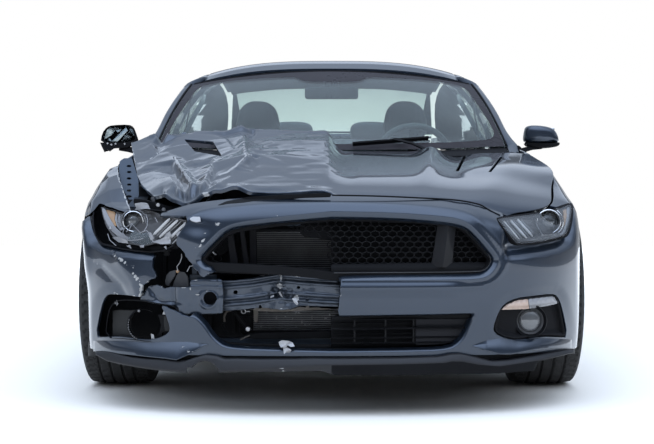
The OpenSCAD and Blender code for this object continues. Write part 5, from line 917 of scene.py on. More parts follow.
# sills
def sk_fn(U, V):
    P = ring(U, V); return P + np.stack([4 * np.exp(-((V - .15) / .2) ** 2), 0 * V, 0 * V], -1)
def sk_trim(P):
    f = np.minimum(-yz(P, [(-1600,100),(-1600,400),(-1114,400),(-1112,100)]), -yz(P, [(-1120,176),(-1120,400),(-818,400),(-818,262),(-824,176)])); f = np.minimum(f, -yz(P, [(934,100),(934,400),(1300,400),(1300,100)])); f = np.minimum(f, -yz(P, [(484,400),(484,262),(1300,262),(1300,400)]))
    return np.minimum(np.minimum(f, arch(P, 394, -1437)), arch(P, 396, 1283))
sk = panel(sk_fn, ring_us(8.4, 14.6, 20), np.linspace(0.0, .94, 10), sk_trim, r=3, t=40, thick_dir=lambda P: np.array([[-56.0, 0, 0]]) + 0 * P)
put("sill_left", sk, M_PAINT, "body_shell", "side_skirts"); put("sill_right", mirror(sk), M_PAINT, "body_shell")
# ---------------------------------------------------------------- nose: height of the front surface, and shapes laid out in the front view
_zt, _xt = np.arange(190, 701, 10.0), np.arange(0, 905, 10.0)
_R = ring(*np.meshgrid(np.linspace(0, 6.8, 137), np.linspace(0, 7, 141), indexing="ij"))
YT = np.array([np.interp(_xt, [np.interp(z, R_[:, 2], R_[:, 0]) for R_ in _R], [np.interp(z, R_[:, 2], R_[:, 1]) for R_ in _R]) for z in _zt])
def Yn(x, z):
    v = np.clip((np.asarray(z, float) - 190) / 10, 0, len(_zt) - 1.001); u = np.clip(np.abs(x) / 10.0, 0, len(_xt) - 1.001); u, v = np.broadcast_arrays(u, v); i, j = v.astype(int), u.astype(int); a, b = v - i, u - j
    return YT[i, j] * (1 - a) * (1 - b) + YT[i + 1, j] * a * (1 - b) + YT[i, j + 1] * (1 - a) * b + YT[i + 1, j + 1] * a * b
def off(d): return lambda x, z: Yn(x, z) + d
def flat(y): return lambda x, z: np.zeros(np.broadcast(x, z).shape) + y
def pin(px, py, Yf):
    """Point of a surface seen at px, py."""
    px, py = np.asarray(px, float), np.asarray(py, float); y = np.full(np.broadcast(px, py).shape, -2250.0)
    for _ in range(6): P = unproj(px, py, y); y = Yf(P[..., 0], P[..., 2])
    return unproj(px, py, y)
def circ(cx, cy, r, n=26, ky=1.0): return [(cx + r * math.cos(2 * math.pi * k / n), cy + r * ky * math.sin(2 * math.pi * k / n)) for k in range(n)]
def face(out, Yf, step=6.0, r=1.5, t=6.0, holes=(), rag=0.0, seed=1, disp=None, wear=None, flange=None, band=None):
    o = np.asarray(out, float); P = pin(o[:, 0], o[:, 1], Yf); lo, hi = P[:, (0, 2)].min(0) - 2 * step, P[:, (0, 2)].max(0) + 2 * step
    fn = lambda U, V: np.stack(np.broadcast_arrays(U, Yf(U, V) + (disp(U, V) if disp else 0.0), V), -1)
    def trim(Q):
        f = pdist(Q, o)
        if band: f = np.minimum(f, band - f)
        for h in holes: f = np.minimum(f, -pdist(Q, h))
        return f - np.abs(ragged(Q, rag, 16, seed)) if rag else f
    def post(Q, N, UV): return Q, None, wear(*proj(Q)[:2])
    return panel(fn, np.arange(lo[0], hi[0] + step, step), np.arange(lo[1], hi[1] + step, step), trim, r=r, t=t, flange=flange, normal_fn=lambda a, b: normals_of(fn, a, b, min(5.0, step)), post=post if wear else None)
def multi(name, parts, mats, body="body_shell", rep=(), slot=None, angle=38):
    """Several solids as one piece: parts are (V, F) or a face, with a material number."""
    L, W = [], []
    for p, k in parts:
        if isinstance(p, dict): L.append((p["V"], p["F"], k)); W.append(p["wear"])
        else: L.append((p[0], p[1], k)); W.append(np.zeros(len(p[0])))
    V, F, mi = join_mat(L); return make(name, V, F, None, body, rep, angle=angle, mats=mats, midx=mi, attrs={"wear": np.concatenate(W)}, slot=slot)
def tunnel(out, Y0, Y1, inset=0.06, th=3.0, n=1):
    o = np.asarray(smooth_poly(out, n), float); c = o.mean(0); R_ = []
    for q in o:
        a = pin(q[0], q[1], Y0); qi = c + (q - c) * (1 - inset); b = pin(qi[0], qi[1], Y1); d = unit(np.array([q[0] - c[0], 0, -(q[1] - c[1])])) * th; R_.append([a, b, b + d, a + d])
    return loft(R_ + [R_[0]], True)
def bar3(A, B, w, d, Yf=None, taper=True, up=(0, -1, 0), n=9):
    """A rounded rod of width w and depth d from A to B."""
    q = [np.asarray(A, float) + (np.asarray(B, float) - np.asarray(A, float)) * k / (n - 1.0) for k in range(n)]
    sc = [0.55 if k in (0, n - 1) else 0.9 if k in (1, n - 2) else 1 for k in range(n)] if taper else None
    return sweep(q, [(w / 2 * math.copysign(abs(math.cos(a)) ** .7, math.cos(a)), d / 2 * math.copysign(abs(math.sin(a)) ** .7, math.sin(a))) for a in [2 * math.pi * k / 12 for k in range(12)]], up=up, scale=sc)
def wire(pts, Yf, r=1.3, n=6, lift=0.0): return tube([pin(a, b, Yf) + [0, -lift, 0] for a, b in pts], r, n, up=(0, -1, 0.01))
def ringy(c, R, r, a0=0, a1=360, n=48, m=8, ry=None): return revolve([((ry or r) * math.cos(2 * math.pi * k / m), R + r * math.sin(2 * math.pi * k / m)) for k in range(m)], c, "y", n, a0, a1)
def shard(pts, Yf, mat_k, t=2.5, lift=0.0, tilt=0.0):
    """A broken plate from a few corners, each corner set a little off the surface."""
    A = np.array([pin(a, b, Yf) + [0, -lift - tilt * ((i * 7) % 3 - 1), 0] for i, (a, b) in enumerate(pts)]); c = A.mean(0); V = np.concatenate([A, A + [0, t, 0], [c + [0, -tilt * .5, 0]], [c + [0, t, 0]]]); n = len(pts); F = []
    for k in range(n):
        l = (k + 1) % n; F += [[k, l, 2 * n], [n + l, n + k, 2 * n + 1], [l, k, n + k, n + l]]
    return ((V, F), mat_k)

# ---------------------------------------------------------------- upper grille
def hexes(cells, Yf, w=28.1, h=22.7, wall=2.4, deep=15.0, bent=0.0, seed=3):
    P_ = []
    K = [(0, .5), (-.5, .25), (-.5, -.25), (0, -.5), (.5, -.25), (.5, .25)]
    for ci, (x, z) in enumerate(cells):
        R_ = []
        for s_, y0 in ((1.0, 0.6), (0.97, 0.0), (0.89, 0.5), (0.83, 3.0), (0.80, deep), (0.98, deep)):
            R_.append([[x + a * w * s_, Yf(x + a * w * s_, z + b * h * s_) + y0 + bent * noise(np.array([x, 0, z]), 40, seed), z + b * h * s_] for a, b in K])
        R_ = np.array(R_, float); P_.append(loft(list(np.concatenate([R_, R_[:1]])), True))
    return join_parts(P_)
def cells_in(test, x0, x1, z0, z1):
    out = []
    for j in range(int((z1 - z0) / 17.0) + 1):
        z = z1 - 17.0 * j
        for i in range(int((x1 - x0) / 28.1) + 2):
            x = x0 + 28.1 * i + (14.05 if j % 2 else 0); px, py, s = proj(np.array([x, -2330.0, z]))
            if test(px, py): out.append((x, z))
    return out
ginset = lambda px, py: float(poly_dist(np.array([px]), np.array([py]), G_OUT)[0])
YG = off(46)
c1 = cells_in(lambda a, b: 331 <= a <= 437.5 - (b - 222) * .05 and 219 < b < 263.5 and ginset(a, b) > 7.2, 0, 350, 490, 622)
c2 = cells_in(lambda a, b: 456 < a < 480 and 222 < b < 263.5 and ginset(a, b) > 8.5, 0, 480, 490, 622)
c3 = cells_in(lambda a, b: 294 <= a < 331 and b < 230.5 and ginset(a, b) > 6, -140, 0, 560, 622)
V, F = hexes(c1 + c2, YG); make("grille_honeycomb", V, F, M_GLOSSB, "body_shell", "grilles", angle=40, slot="black_plastic")
V, F = hexes(c3, YG, bent=5); prt = [((V, F), 0)]
V, F = hexes([(-385, 524), (-399, 507), (-371, 507)], off(60), bent=8); prt.append(((V, F), 0))
for ln in ([(300, 233), (306, 236.5), (311, 235)], [(318, 232.5), (321, 237.5)], [(286, 226), (294, 228)], [(289, 231), (298, 231.5), (303, 229)], [(326, 232), (331, 235.5)]): prt.append((wire(ln, YG, 1.8, 6), 0))
multi("grille_honeycomb_torn", prt, [M_GLOSSB], slot="black_plastic", angle=40)
fr = []
fr.append((face(G_OUT, off(26), step=7, r=1.2, t=26, band=27.5), 0))
# grey rod just inside the opening: a painted highlight for the glint along the frame's inner edge
fr.append((wire([tuple(q) for q in smooth_poly([(334, 217.6), (394, 218.6), (440, 222), (455, 224.3), (466, 229), (477, 240), (488, 253), (491.3, 260), (489, 266), (484, 270.4), (478, 271.6), (440, 272.3), (334, 273)], 1, False)], off(24), 1.1), 1))
# dark sill under the honeycomb, the upright beside the pod, and the pod's own rim
fr.append((face([(331, 263.8), (437, 262.4), (458, 262), (486, 262), (489, 268), (484, 272.5), (440, 274), (331, 275)], lambda x, z: Yn(x, z) + 34 + 14 * sst(478, 500, z), step=6, r=2, t=20), 0))
def upright(x):
    P_ = []
    for k in range(15):
        py = 220.5 + 47 * k / 14.0; cx = 447.5 - 6 * k / 14.0; wd = 9.5 + 1.5 * (k / 14.0) ** 3
        a, b, c, d, e_ = (pin(cx - wd, py, off(46)), pin(cx - 2.5, py, off(30)), pin(cx + 1.6, py, off(27)), pin(cx + 4, py, off(33)), pin(cx + wd, py, off(48))); P_.append([a, b, c, d, e_, e_ + [0, 12, 0], a + [0, 12, 0]])
    return loft(P_, True, True)
fr.append((upright(0), 2))
multi("grille_frame", fr, [M_BLACK, M_GREY, plastic_mat("grille_upright", c=(0.010, 0.010, 0.011), rough=0.4, strength=0.1, coat=0.15)], slot="black_plastic")
# black sheet behind the honeycomb: painted shade for the dark space behind the grille
bk = face([(300, 217), (440, 219), (470, 229), (492, 258), (484, 274), (331, 276), (331, 240), (300, 236)], off(82), step=14, r=1, t=6); put("grille_shade_backing", bk, M_BLACK, "body_shell", slot="black_plastic")

# ---------------------------------------------------------------- what shows behind the torn half: cooling pack, horn, braces
rad = []
for k in range(48): z = 262 + 6.95 * k; rad.append((rbox((-262, -2160, z), (262, -2146, z + 2.0), 0.6, 1), 0))
for k in range(131): x = -260 + 4.0 * k; rad.append((rbox((x, -2156, 258), (x + 0.7, -2140, 592), 0, 1), 1))
rad.append((rbox((-262, -2140, 256), (262, -2092, 594), 3), 1))
for sg in (-1, 1): rad.append((rbox((sg * 285 - 23, -2164, 250), (sg * 285 + 23, -2088, 600), 9, 3), 2))
for k in range(9): rad.append((rbox((-308, -2168, 270 + 38 * k), (-262, -2160, 276 + 38 * k), 2), 2))
rad.append((rbox((-300, -2166, 246), (300, -2088, 262), 5), 2)); rad.append((rbox((-300, -2166, 590), (300, -2088, 604), 5), 2))
rn = np.random.RandomState(4)
for _ in range(26):
    x, z = rn.uniform(-250, 0), rn.uniform(262, 350); rad.append((rbox((x, -2164, z), (x + rn.uniform(2, 5), -2158, z + rn.uniform(3, 12)), 0.6, 1), 0))
multi("cooling_pack", rad, [metal_mat("tube_ends", (0.26, 0.26, 0.265), 0.4, dirt=0.4), M_FIN, M_BLACK], rep="radiator", slot="radiator_core", angle=30)
def beam_z(x):
    px = 331.5 + x / 3.245; return np.interp(px, [180, 223, 252, 280, 300, 331, 380, 480], [0, 0, 9, 24, 17, 11, 4, 0])
def beam_prof(h):   # h: height above the lower flange, mm; returns how far the face stands proud
    return np.interp(h, [0, 6, 10, 15, 19, 24, 30, 34, 39, 62, 67, 71, 76, 80, 86, 90, 96, 100], [2, 2, 12, 12, 3, 3, 14, 14, 7, 7, 14, 14, 4, 4, 12, 12, 0, 0])
def beamY(x, z):
    x = np.asarray(x, float); h = z - 344 - beam_z(x); px = 331.5 + x / 3.245; py = 199.3 - (np.asarray(z, float) - 700) / 3.245
    y = Yn(np.clip(x, -560, 560), 430.0) + 62 - beam_prof(h)
    P_ = np.stack(np.broadcast_arrays(x, 0.0, z), -1); k = np.exp(-((px - 283) / 15) ** 2 - ((py - 294) / 9) ** 2)
    y = y + k * (16 + 15 * noise(P_, 26, 5) + 8 * noise(P_, 11, 6)) - 14 * np.exp(-((px - 281) / 3) ** 2) * (py < 283) + 3 * noise(P_, 60, 8) + 1.2 * noise(P_, 16, 9)
    return y
B_OUT = [(218, 280), (236, 279.6), (252, 277), (266, 274.5), (276, 272.8), (280, 271.4), (284, 273.2), (292, 273.2), (300, 275.8), (331, 276.5), (380, 279), (400, 281), (400, 311), (331, 306.8), (312, 306.2), (300, 305.6), (291, 309.2), (283, 310.6), (276, 309.4), (262, 308), (240, 310), (218, 311.5)]
def beam_wear(px, py):
    w = 0.62 * np.exp(-(poly_dist(px, py, [(258, 276), (266, 274.3), (276, 272.8), (281, 271.6)], False) / 1.0) ** 2)
    for a, b, rx, ry, k in [(281, 278, 1.6, 5, .75), (280, 286, 3, 4, .7), (296, 298, 3.4, 5, .8), (295, 275.6, 6, 1.2, .75), (272, 296, 3, 1.5, .6), (236, 303.5, 6, 1.3, .6), (250, 303, 5, 1, .5), (281, 309, 3, 1, .7), (228, 304, 3, 1.2, .5)]: w = np.maximum(w, k * np.exp(-((px - a) / rx) ** 2 - ((py - b) / ry) ** 2))
    return np.maximum(w, 0.2 * np.exp(-((px - 285) / 12) ** 2 - ((py - 303) / 5) ** 2))
bm_ = face(B_OUT, beamY, step=3.6, r=1.0, t=34, holes=[circ(235.4, 292.4, 1.9, 12), circ(298.4, 287.6, 1.5, 12), circ(307, 300.4, 1.5, 12), circ(260, 306.4, .9, 8)], rag=1.6, seed=5, wear=beam_wear)
put("crash_beam", bm_, M_BEAM, "body_shell", "bumper_beam", slot="beam")
bb = [(rbox((-470, -2262, 350), (470, -2214, 424), 6), 0)]
for sg in (-1, 1): bb.append((rbox((sg * 440 - 46, -2250, 352), (sg * 440 + 46, -2120, 420), 8), 0)); bb.append((rbox((sg * 440 - 62, -2126, 338), (sg * 440 + 62, -2112, 434), 4), 0))
multi("crash_beam_box", bb, [M_CHASSIS], slot="beam", angle=30)
# torn cover corner and the plate on the beam's end, in one twisted piece
TP = [(139.2, 300.5), (142.3, 293.7), (148.7, 286.3), (157, 284.7), (164.4, 288.4), (169.7, 286.8), (180, 287.2), (190.4, 287.6), (190, 282), (192, 279.8), (205, 279.2), (221.5, 279.2), (222.4, 285), (223.2, 296), (222.8, 313.4), (200, 314.4), (177, 314.8), (175.5, 309), (175, 306), (159.2, 303.9), (148, 302.4)]
def tpY(x, z):
    px = 331.5 + x / 3.29; py = 199.3 - (z - 700) / 3.27; P_ = np.stack(np.broadcast_arrays(x, 0.0, z), -1)
    y = Yn(x, z) + 16 + 3 * noise(P_, 45, 3) + 1.2 * noise(P_, 14, 4) + 12 * sst(186, 200, px) - 10 * sst(300, 306, py) * sst(190, 170, px)
    y = y - 6 * np.exp(-((py - 286) / 1.3) ** 2) * sst(188, 192, px) - 5 * np.exp(-((py - 281) / 1.2) ** 2) * sst(188, 192, px) + 9 * np.exp(-((px - 176) / 2.2) ** 2) - 5 * np.exp(-((px - 221) / 1.2) ** 2)
    y = y + 8 * ridge(px, py, [(150, 287), (158, 296), (161, 303)], 3, 6, .5) - 5 * np.exp(-((np.hypot(px - 210, py - 298.3) - 8.4) / 1.5) ** 2)
    return y
def tp_wear(px, py):
    w = 0.56 * np.exp(-(poly_dist(px, py, TP[:8], False) / 0.8) ** 2)
    for a, b, rx, ry, k in [(197, 294, 4, 3.5, .55), (205, 291.5, 5, 1.2, .6), (190, 288, 2, 4, .6), (208, 305.5, 7, 1.0, .5), (212, 286.6, 8, .9, .5), (196, 280.4, 9, 1, .5), (183, 288, 9, .8, .6)]: w = np.maximum(w, k * np.exp(-((px - a) / rx) ** 2 - ((py - b) / ry) ** 2))
    return w
tp = face(TP, tpY, step=4.2, r=1.2, t=5, holes=[circ(210, 298.4, 6.4)], rag=1.2, seed=7, wear=tp_wear); put("torn_cover_corner", tp, M_PAINT, "body_shell", slot="paint")
br = []
H = flat(-2205.0)
br.append((face([(241, 303.6), (262, 304.4), (276, 308), (296, 306), (331, 304.4), (331, 309.5), (300, 311), (284, 312), (262, 311.6), (250, 309.8)], flat(-2262), step=6, t=22, r=1.2), 1))
br.append((face([(253, 308), (258.4, 308), (257.8, 322.6), (253.8, 322.6)], flat(-2205), step=4, t=12), 1))
br.append((bar3(pin(234, 311.5, H), pin(247.5, 329, H), 13, 9), 0)); br.append((revolve([(-6, 0), (-6, 7), (0, 8.5), (4, 8.5), (4, 0)], pin(248, 329, H) + [0, -6, 0], "y", 12, close=False), 2))
br.append((tube([pin(a, b, H) for a, b in [(224.4, 322), (224, 317), (226, 312), (231.5, 309.5), (238, 308.6)]], 4, 8, up=(0, 1, 0)), 1)); br.append((tube([pin(a, b, H) for a, b in [(222, 324), (225, 330), (228, 333)]], 5, 8, up=(0, 1, 0)), 0))
br.append((ringy(pin(243.6, 311.3, H) + [0, -8, 0], 7, 1.6, n=20), 2)); br.append((bar3(pin(246, 311.6, H), pin(250, 311.4, H), 3, 3), 2))
br.append((face([(257, 333), (331, 331), (331, 338.6), (257, 339.4), (246, 338), (243, 335)], flat(-2230), step=7, t=16, r=2), 0)); br.append((wire([(240, 340), (246, 337), (249.6, 335.4)], flat(-2250), 3), 1))
br.append((face([(206, 322), (215, 338), (226, 343), (252, 344.5), (331, 345), (331, 349), (224, 348), (211, 340), (203, 326)], off(46), step=6, t=14, r=2), 0))
# upper braces behind the torn grille
U2 = flat(-2215.0)
br.append((face([(226, 224.5), (231.5, 224), (238.4, 267), (230.6, 268.6)], flat(-2262), step=5, t=14, r=2), 3)); br.append((face([(238.6, 223.2), (243, 222.8), (249.4, 268), (244, 268)], flat(-2232), step=5, t=16, r=2), 3))
br.append((revolve([(-16, 0), (-16, 8), (-13, 10), (-13, 26), (-8, 30), (0, 31), (8, 30), (8, 0)], pin(220.6, 246.4, U2), "y", 36, close=False), 0)); br.append((ringy(pin(220.6, 246.4, U2) + [0, -10, 0], 30.5, 2.2, 200, 330), 2))
br.append((face([(249, 223), (256, 222.6), (257, 268), (250, 268)], flat(-2190), step=6, t=14, r=2), 3)); br.append((face([(236, 219), (331, 216.5), (331, 223.5), (294, 224), (258, 226), (236, 227)], flat(-2215), step=8, t=14, r=2), 0))
br.append((face([(206, 266), (262, 268), (331, 269), (331, 274.5), (262, 274.5), (206, 272.6)], off(52), step=7, t=16, r=1.5), 0))
multi("front_braces", br, [M_BLACK, metal_mat("dirty_steel", (0.16, 0.145, 0.13), 0.55, dirt=0.55), M_STEEL, plastic_mat("brace_black", c=(0.012, 0.012, 0.014), rough=0.45)], slot="structure", angle=35)
# inner rim of the left pod
pr = [(face([(229, 226.5), (219.5, 232), (211, 241.5), (203.6, 250), (198, 257), (197.5, 261.5), (200.5, 265.5), (206, 269.2), (222, 270), (222, 267.6), (208, 266.6), (202.8, 263.6), (201.8, 259), (206, 252.6), (213.4, 244), (221, 235.4), (231, 229.6)], off(28), step=4, r=1.0, t=30), 0)]
multi("pod_rim_right", pr, [M_BLACK], slot="black_plastic")
# black ribbed wall that closes the nose off from the engine bay: painted shade for the dark inside of the nose
ln_ = [(face([(92, 205), (140, 206), (186, 210), (240, 205), (331, 201), (423, 205), (477, 210), (523, 214), (568, 210), (571, 250), (566, 345), (500, 352), (331, 356), (163, 352), (97, 345), (92, 250)], lambda x, z: -2075 + 0.00062 * np.asarray(x, float) ** 2 + 0 * z, step=26, r=2, t=8), 0)]
for k in range(-7, 8): ln_.append((rbox((k * 84 - 6, -2086 + 0.00062 * (k * 84) ** 2, 240), (k * 84 + 6, -2060 + 0.00062 * (k * 84) ** 2, 600), 2), 0))
multi("nose_shade_wall", ln_, [M_BLACK], slot="black_plastic")
# black box behind the torn corner, with the grey bracket that shows in it
gb = [(face([(164.6, 281.5), (166.4, 274.6), (170.5, 271.2), (175.6, 270), (174.6, 276), (170, 283), (168.6, 286.5), (165.6, 285.4)], off(74), step=4, t=5, r=1), 1), (face([(172, 286.8), (176, 276), (179.4, 271.6), (184, 272.4), (187.4, 277), (188.6, 287.4)], off(80), step=4, t=5, r=1), 1), (wire([(177.6, 270.8), (176.8, 266.6), (179.8, 262.6), (181.6, 257.6), (181.4, 254)], off(58), 1.5), 2), (wire([(187, 271.6), (189.4, 266.6), (195.4, 265)], off(56), 1.5), 2), (wire([(195, 266), (196.8, 269.4)], off(40), 2.2), 2),
    (bar3(pin(166, 246, off(60)), pin(180, 245, off(60)), 22, 12), 0), (bar3(pin(166, 249, off(62)), pin(167, 256, off(70)), 20, 9), 0), (revolve([(-5, 0), (-5, 5), (0, 6), (4, 6), (4, 0)], pin(177.4, 271.4, off(66)), "y", 10, close=False), 3)]
multi("corner_bracket", gb, [M_BLACK, M_GREY, M_TORN, M_AMBER], slot="structure", angle=35)
# loose white fragments
sh = [shard([(162, 314.4), (164.4, 309.6), (165.4, 307.4), (167.4, 311), (171, 312.6), (173, 314.6), (167, 315.2)], off(18), 0, 3, 4, 5), shard([(150.6, 333.8), (153.6, 335), (154.6, 340), (153, 342.4), (151.4, 340.8)], off(24), 0, 3, 4, 4),
    shard([(278.6, 342.2), (282, 340.4), (289, 341), (292.6, 343), (294.6, 346.4), (291, 347), (288.6, 345), (285.6, 347.6), (281, 347.4), (279.2, 345)], off(-2), 0, 5, 3, 5), shard([(283, 348), (287, 347.6), (291.6, 350), (290, 353), (285.6, 352.6), (284, 354.4)], off(0), 0, 5, 3, 4),
    shard([(292, 298.6), (295.6, 297.4), (298.4, 304), (297, 305.6), (294, 302.6)], lambda x, z: beamY(x, z) - 6, 0, 4, 2, 4), shard([(279.4, 271.6), (281, 271.4), (281.6, 276), (280.6, 279), (279.6, 275)], lambda x, z: beamY(x, z) - 8, 0, 4, 2, 3), shard([(290, 273), (296, 274.4), (300.6, 277), (296, 277), (292, 275.4)], lambda x, z: beamY(x, z) - 4, 0, 3, 2, 2), shard([(278.4, 292.4), (280.2, 291.6), (283, 297.6), (281, 296.6), (279.6, 295)], lambda x, z: beamY(x, z) - 5, 0, 3, 2, 2), shard([(270, 296.4), (274, 295), (274, 296.6), (270.6, 298)], lambda x, z: beamY(x, z) - 4, 0, 3, 2, 2), shard([(109, 229), (110, 226), (111.6, 229)], off(10), 0, 2, 2, 2), shard([(115, 303), (116.6, 299.6), (118, 304), (116.4, 306)], off(20), 1, 2, 2, 2)]
multi("loose_fragments", sh, [M_TORN, M_CLEARREF], slot="paint", angle=20)

# black rod along the bonnet's front edge, painted shade for its shut line, and a black sheet of painted shade in the
# open gap on the damaged side
sl = [(tube([pin(a, b, off(-2.5)) for a, b in smooth_poly([(332, 195.2), (380, 196), (430, 198.4), (458, 199.9), (480, 204.2), (486.4, 208.4), (493, 212.2), (500, 215.4)], 2, False)], 2.6, 8), 0)]
sl.append((face([(331, 192.8), (331, 197.2), (300, 198.2), (262, 200.4), (238, 203.4), (222, 206.2), (214, 206.4), (226, 201), (248, 197), (280, 194.8)], off(-3), step=5, t=5, r=1), 0))
multi("bonnet_gap_painted_shade", sl, [M_BLACK], slot="black_plastic", angle=40)
# ---------------------------------------------------------------- headlamps
def Yl(d=0.0): return lambda x, z: Yn(np.clip(x, -872, 872), z) + d
def bowlY(out, d0, d1, w=34.0):
    def f(x, z):
        y = Yn(np.clip(x, -872, 872), z); k = sst(0, w, pdist(np.stack(np.broadcast_arrays(x, y, z), -1), out)); return y + d0 + (d1 - d0) * k
    return f
M_BEZEL = metal_mat("lamp_bezel", (0.20, 0.20, 0.205), 0.25, dirt=0.1, metallic=0.7)
M_PROJ = plastic_mat("projector_lens", c=(0.075, 0.078, 0.082), rough=0.08, strength=0.01, coat=1.0, dust=0.01, spec=0.6)
M_SEAL = plastic_mat("lamp_seal", c=(0.006, 0.006, 0.007), rough=0.5, dust=0.003)
def projector(px, py, Yf, R, parts, kc=0, kb=1, kl=2, tilt=None):
    c = pin(px, py, Yf)
    q = [(ringy(c, R, 2.3, ry=3.4), kc), (revolve([(0, R), (3, R - 1), (26, R * .80), (30, R * .80), (30, R * .83), (4, R + 2)], c, "y", 48), kb), (revolve([(26, R * .82)] + [(26 - 15 * math.cos(a), R * .80 * math.sin(a)) for a in np.linspace(math.pi / 2, 0, 9)], c, "y", 40, close=False), kl), (ringy(c + [0, 22, 0], R * .74, 1.3), kb), (ringy(c + [0, 14, 0], R * .40, 1.0, 200, 340), kc)]
    for p, k in q: parts.append(((tilt(p[0], c), p[1]) if tilt else p, k))
LP = []
LI = [(497.4, 219.2), (502.6, 217.6), (518, 215.8), (545, 212), (554, 210.2), (570, 204.4), (571.4, 205.6), (571.6, 212), (570.6, 221.6), (568.2, 231), (565.2, 235.2), (556, 238.6), (541, 241.4), (522, 243.3), (516.8, 242.3), (513.6, 239.4)]
put("lamp_bowl_left", face(LI, bowlY(LI, 10, 66), step=4.5, r=1.0, t=4), M_BOWL, "body_shell", "headlight_left", slot="black_plastic")
put("lamp_lens_left", face(LI, Yl(-1.5), step=6, r=1.6, t=3), M_LENS, "body_shell", slot="lamp_clear")
put("lamp_seal_left", face(LAMP_O, Yl(3), step=4.5, r=.8, t=30, band=9.5), M_SEAL, "body_shell", slot="black_plastic")
projector(548.5, 221.6, Yl(26), 40, LP)
LP.append((ringy(pin(548.9, 222, Yl(30)), 47.5, 2.2, 35, 158, 40, ry=4), 0)); LP.append((ringy(pin(548.5, 221.6, Yl(38)), 52, 1.6, 30, 175, 40), 1))
for a, b in (((500.6, 218.6), (519.6, 240.4)), ((507.8, 217.8), (526.6, 238.4)), ((514.8, 217), (532.4, 236.2))):
    LP.append((bar3(pin(*a, Yl(24)), pin(*b, Yl(30)), 9.5, 15), 3)); q = np.array([[a[0] + 3.4, a[1] + .3], [b[0] + 3.2, b[1] - .8]]); LP.append((bar3(pin(*q[0], Yl(30)), pin(*q[1], Yl(36)), 4.5, 8), 1))
LP.append((face([(566.4, 206.6), (570.6, 204.8), (571.2, 212), (570, 222), (567.4, 231), (563.4, 234.6), (558.6, 236.4), (562.6, 231), (565.6, 224), (567, 215)], Yl(15), step=3.5, r=.8, t=5), 4))
LP.append((face([(562.4, 209.6), (566.2, 207), (566.8, 215), (565.2, 224), (562, 230), (560.6, 229), (563, 222), (563.8, 214)], Yl(20), step=3.5, r=.8, t=4), 5))
LP.append((wire([(541, 235), (548, 235.2), (556.6, 234.6)], Yl(24), 2.0), 0)); LP.append((wire([(536, 212.2), (540, 213.4), (553, 212)], Yl(16), 1.8), 0)); LP.append((wire([(517, 241.6), (530, 240.2), (545, 238), (556, 235.6), (562, 232.4)], Yl(18), 1.6), 1)); LP.append((wire([(517, 239.6), (530, 238.4), (543, 236.8)], Yl(30), 1.6), 1)); LP.append((face([(516, 240.2), (534, 238.4), (556, 235), (566, 231), (565, 235), (556, 238.4), (541, 241.2), (522, 243), (517, 242.2)], Yl(20), step=4, t=8, r=1), 6))
LP.append((wire([(534, 216), (537, 226), (542, 234), (548, 237)], Yl(48), 2.0), 1))
multi("lamp_optics_left", LP, [M_CHROME, M_BEZEL, M_PROJ, M_BAR, M_CLEARREF, M_AMBER, M_BOWL], slot="lamp_clear", angle=40)
# damaged lamp: pushed in and turned, lens gone but for its rim
LB = [(100.6, 205.6), (110, 207.6), (125, 212.6), (133, 214.6), (150, 210.6), (165, 215), (180, 218.6), (190, 221.6), (184, 232), (176, 241.8), (170, 245.4), (155, 243.4), (143, 246.6), (127, 243.6), (113, 237.6), (105.6, 226), (102, 214)]
RB = []
RB.append((face(LB, bowlY(LB, 22, 84), step=5, r=1, t=4, rag=1.0, seed=4), 6))
def tl(V, c): return (V - c) @ np.array(Matrix.Rotation(math.radians(9), 3, Vector((0.3, 0.2, 1)))).T + c
projector(133.2, 221.4, Yl(40), 33.5, RB, tilt=tl)
RB.append((ringy(pin(134, 222, Yl(44)), 38, 2.4, 60, 178, 30), 4)); RB.append((ringy(pin(133.2, 221.4, Yl(50)), 40.5, 2.2, 185, 330, 30), 1)); RB.append((ringy(pin(134, 222, Yl(52)), 43, 1.4, 20, 150, 30), 1))
for a, b in (((152.8, 235.6), (170, 218.6)), ((159.6, 237.4), (178, 220)), ((168, 240), (187.6, 221.8))):
    RB.append((bar3(pin(*a, Yl(30)), pin(*b, Yl(30)), 10.5, 14), 3)); RB.append((bar3(pin(a[0] + 3.4, a[1] + .8, Yl(36)), pin(b[0] + 3.4, b[1] + 1, Yl(36)), 5, 8), 1))
RB.append((face([(100.8, 206.2), (105, 208.6), (109.6, 218), (114.6, 226.2), (121, 232.6), (129.6, 238.4), (128, 241.6), (118, 237), (109.6, 229.4), (104.2, 219)], Yl(18), step=3.5, r=.8, t=5, rag=.8), 4))
RB.append((face([(105.4, 209.2), (115.4, 212), (114, 219), (116.4, 226.6), (114, 226.2), (109, 217)], Yl(30), step=3.5, r=.8, t=4), 5))
RB.append((face([(115.8, 212.2), (123.6, 214.6), (121.6, 221), (123.6, 229), (120.4, 231), (116.6, 226.4), (114.4, 219)], Yl(34), step=3, r=.8, t=5), 4)); RB.append((wire([(117.6, 213.4), (117, 220), (119.8, 227)], Yl(28), 1.6), 1)); RB.append((wire([(120.6, 214.6), (119.8, 220), (122, 226.4)], Yl(28), 1.4), 1))
for pts in ([(112, 237.6), (117, 236.4), (127, 240), (128, 243.6), (118.6, 242.4)], [(152.6, 241.6), (160, 239.4), (166.6, 236), (170.6, 239.6), (170.4, 243.6), (161, 244.2)], [(164, 236.6), (166.6, 233.4), (170, 231), (171, 236), (168, 240)], [(146.8, 231.6), (151, 232.4), (154.4, 239), (150, 240.4)], [(175.6, 234.4), (180, 230.8), (180.6, 233), (177, 236.4)], [(126, 246), (130, 244.6), (131.6, 249)], [(139, 245.6), (144, 244.8), (144, 247.6), (140, 247.6)], [(163.4, 247), (166, 246), (166.6, 249.6)]): RB.append(shard(pts, Yl(14), 4, 2.5, 2, 5))
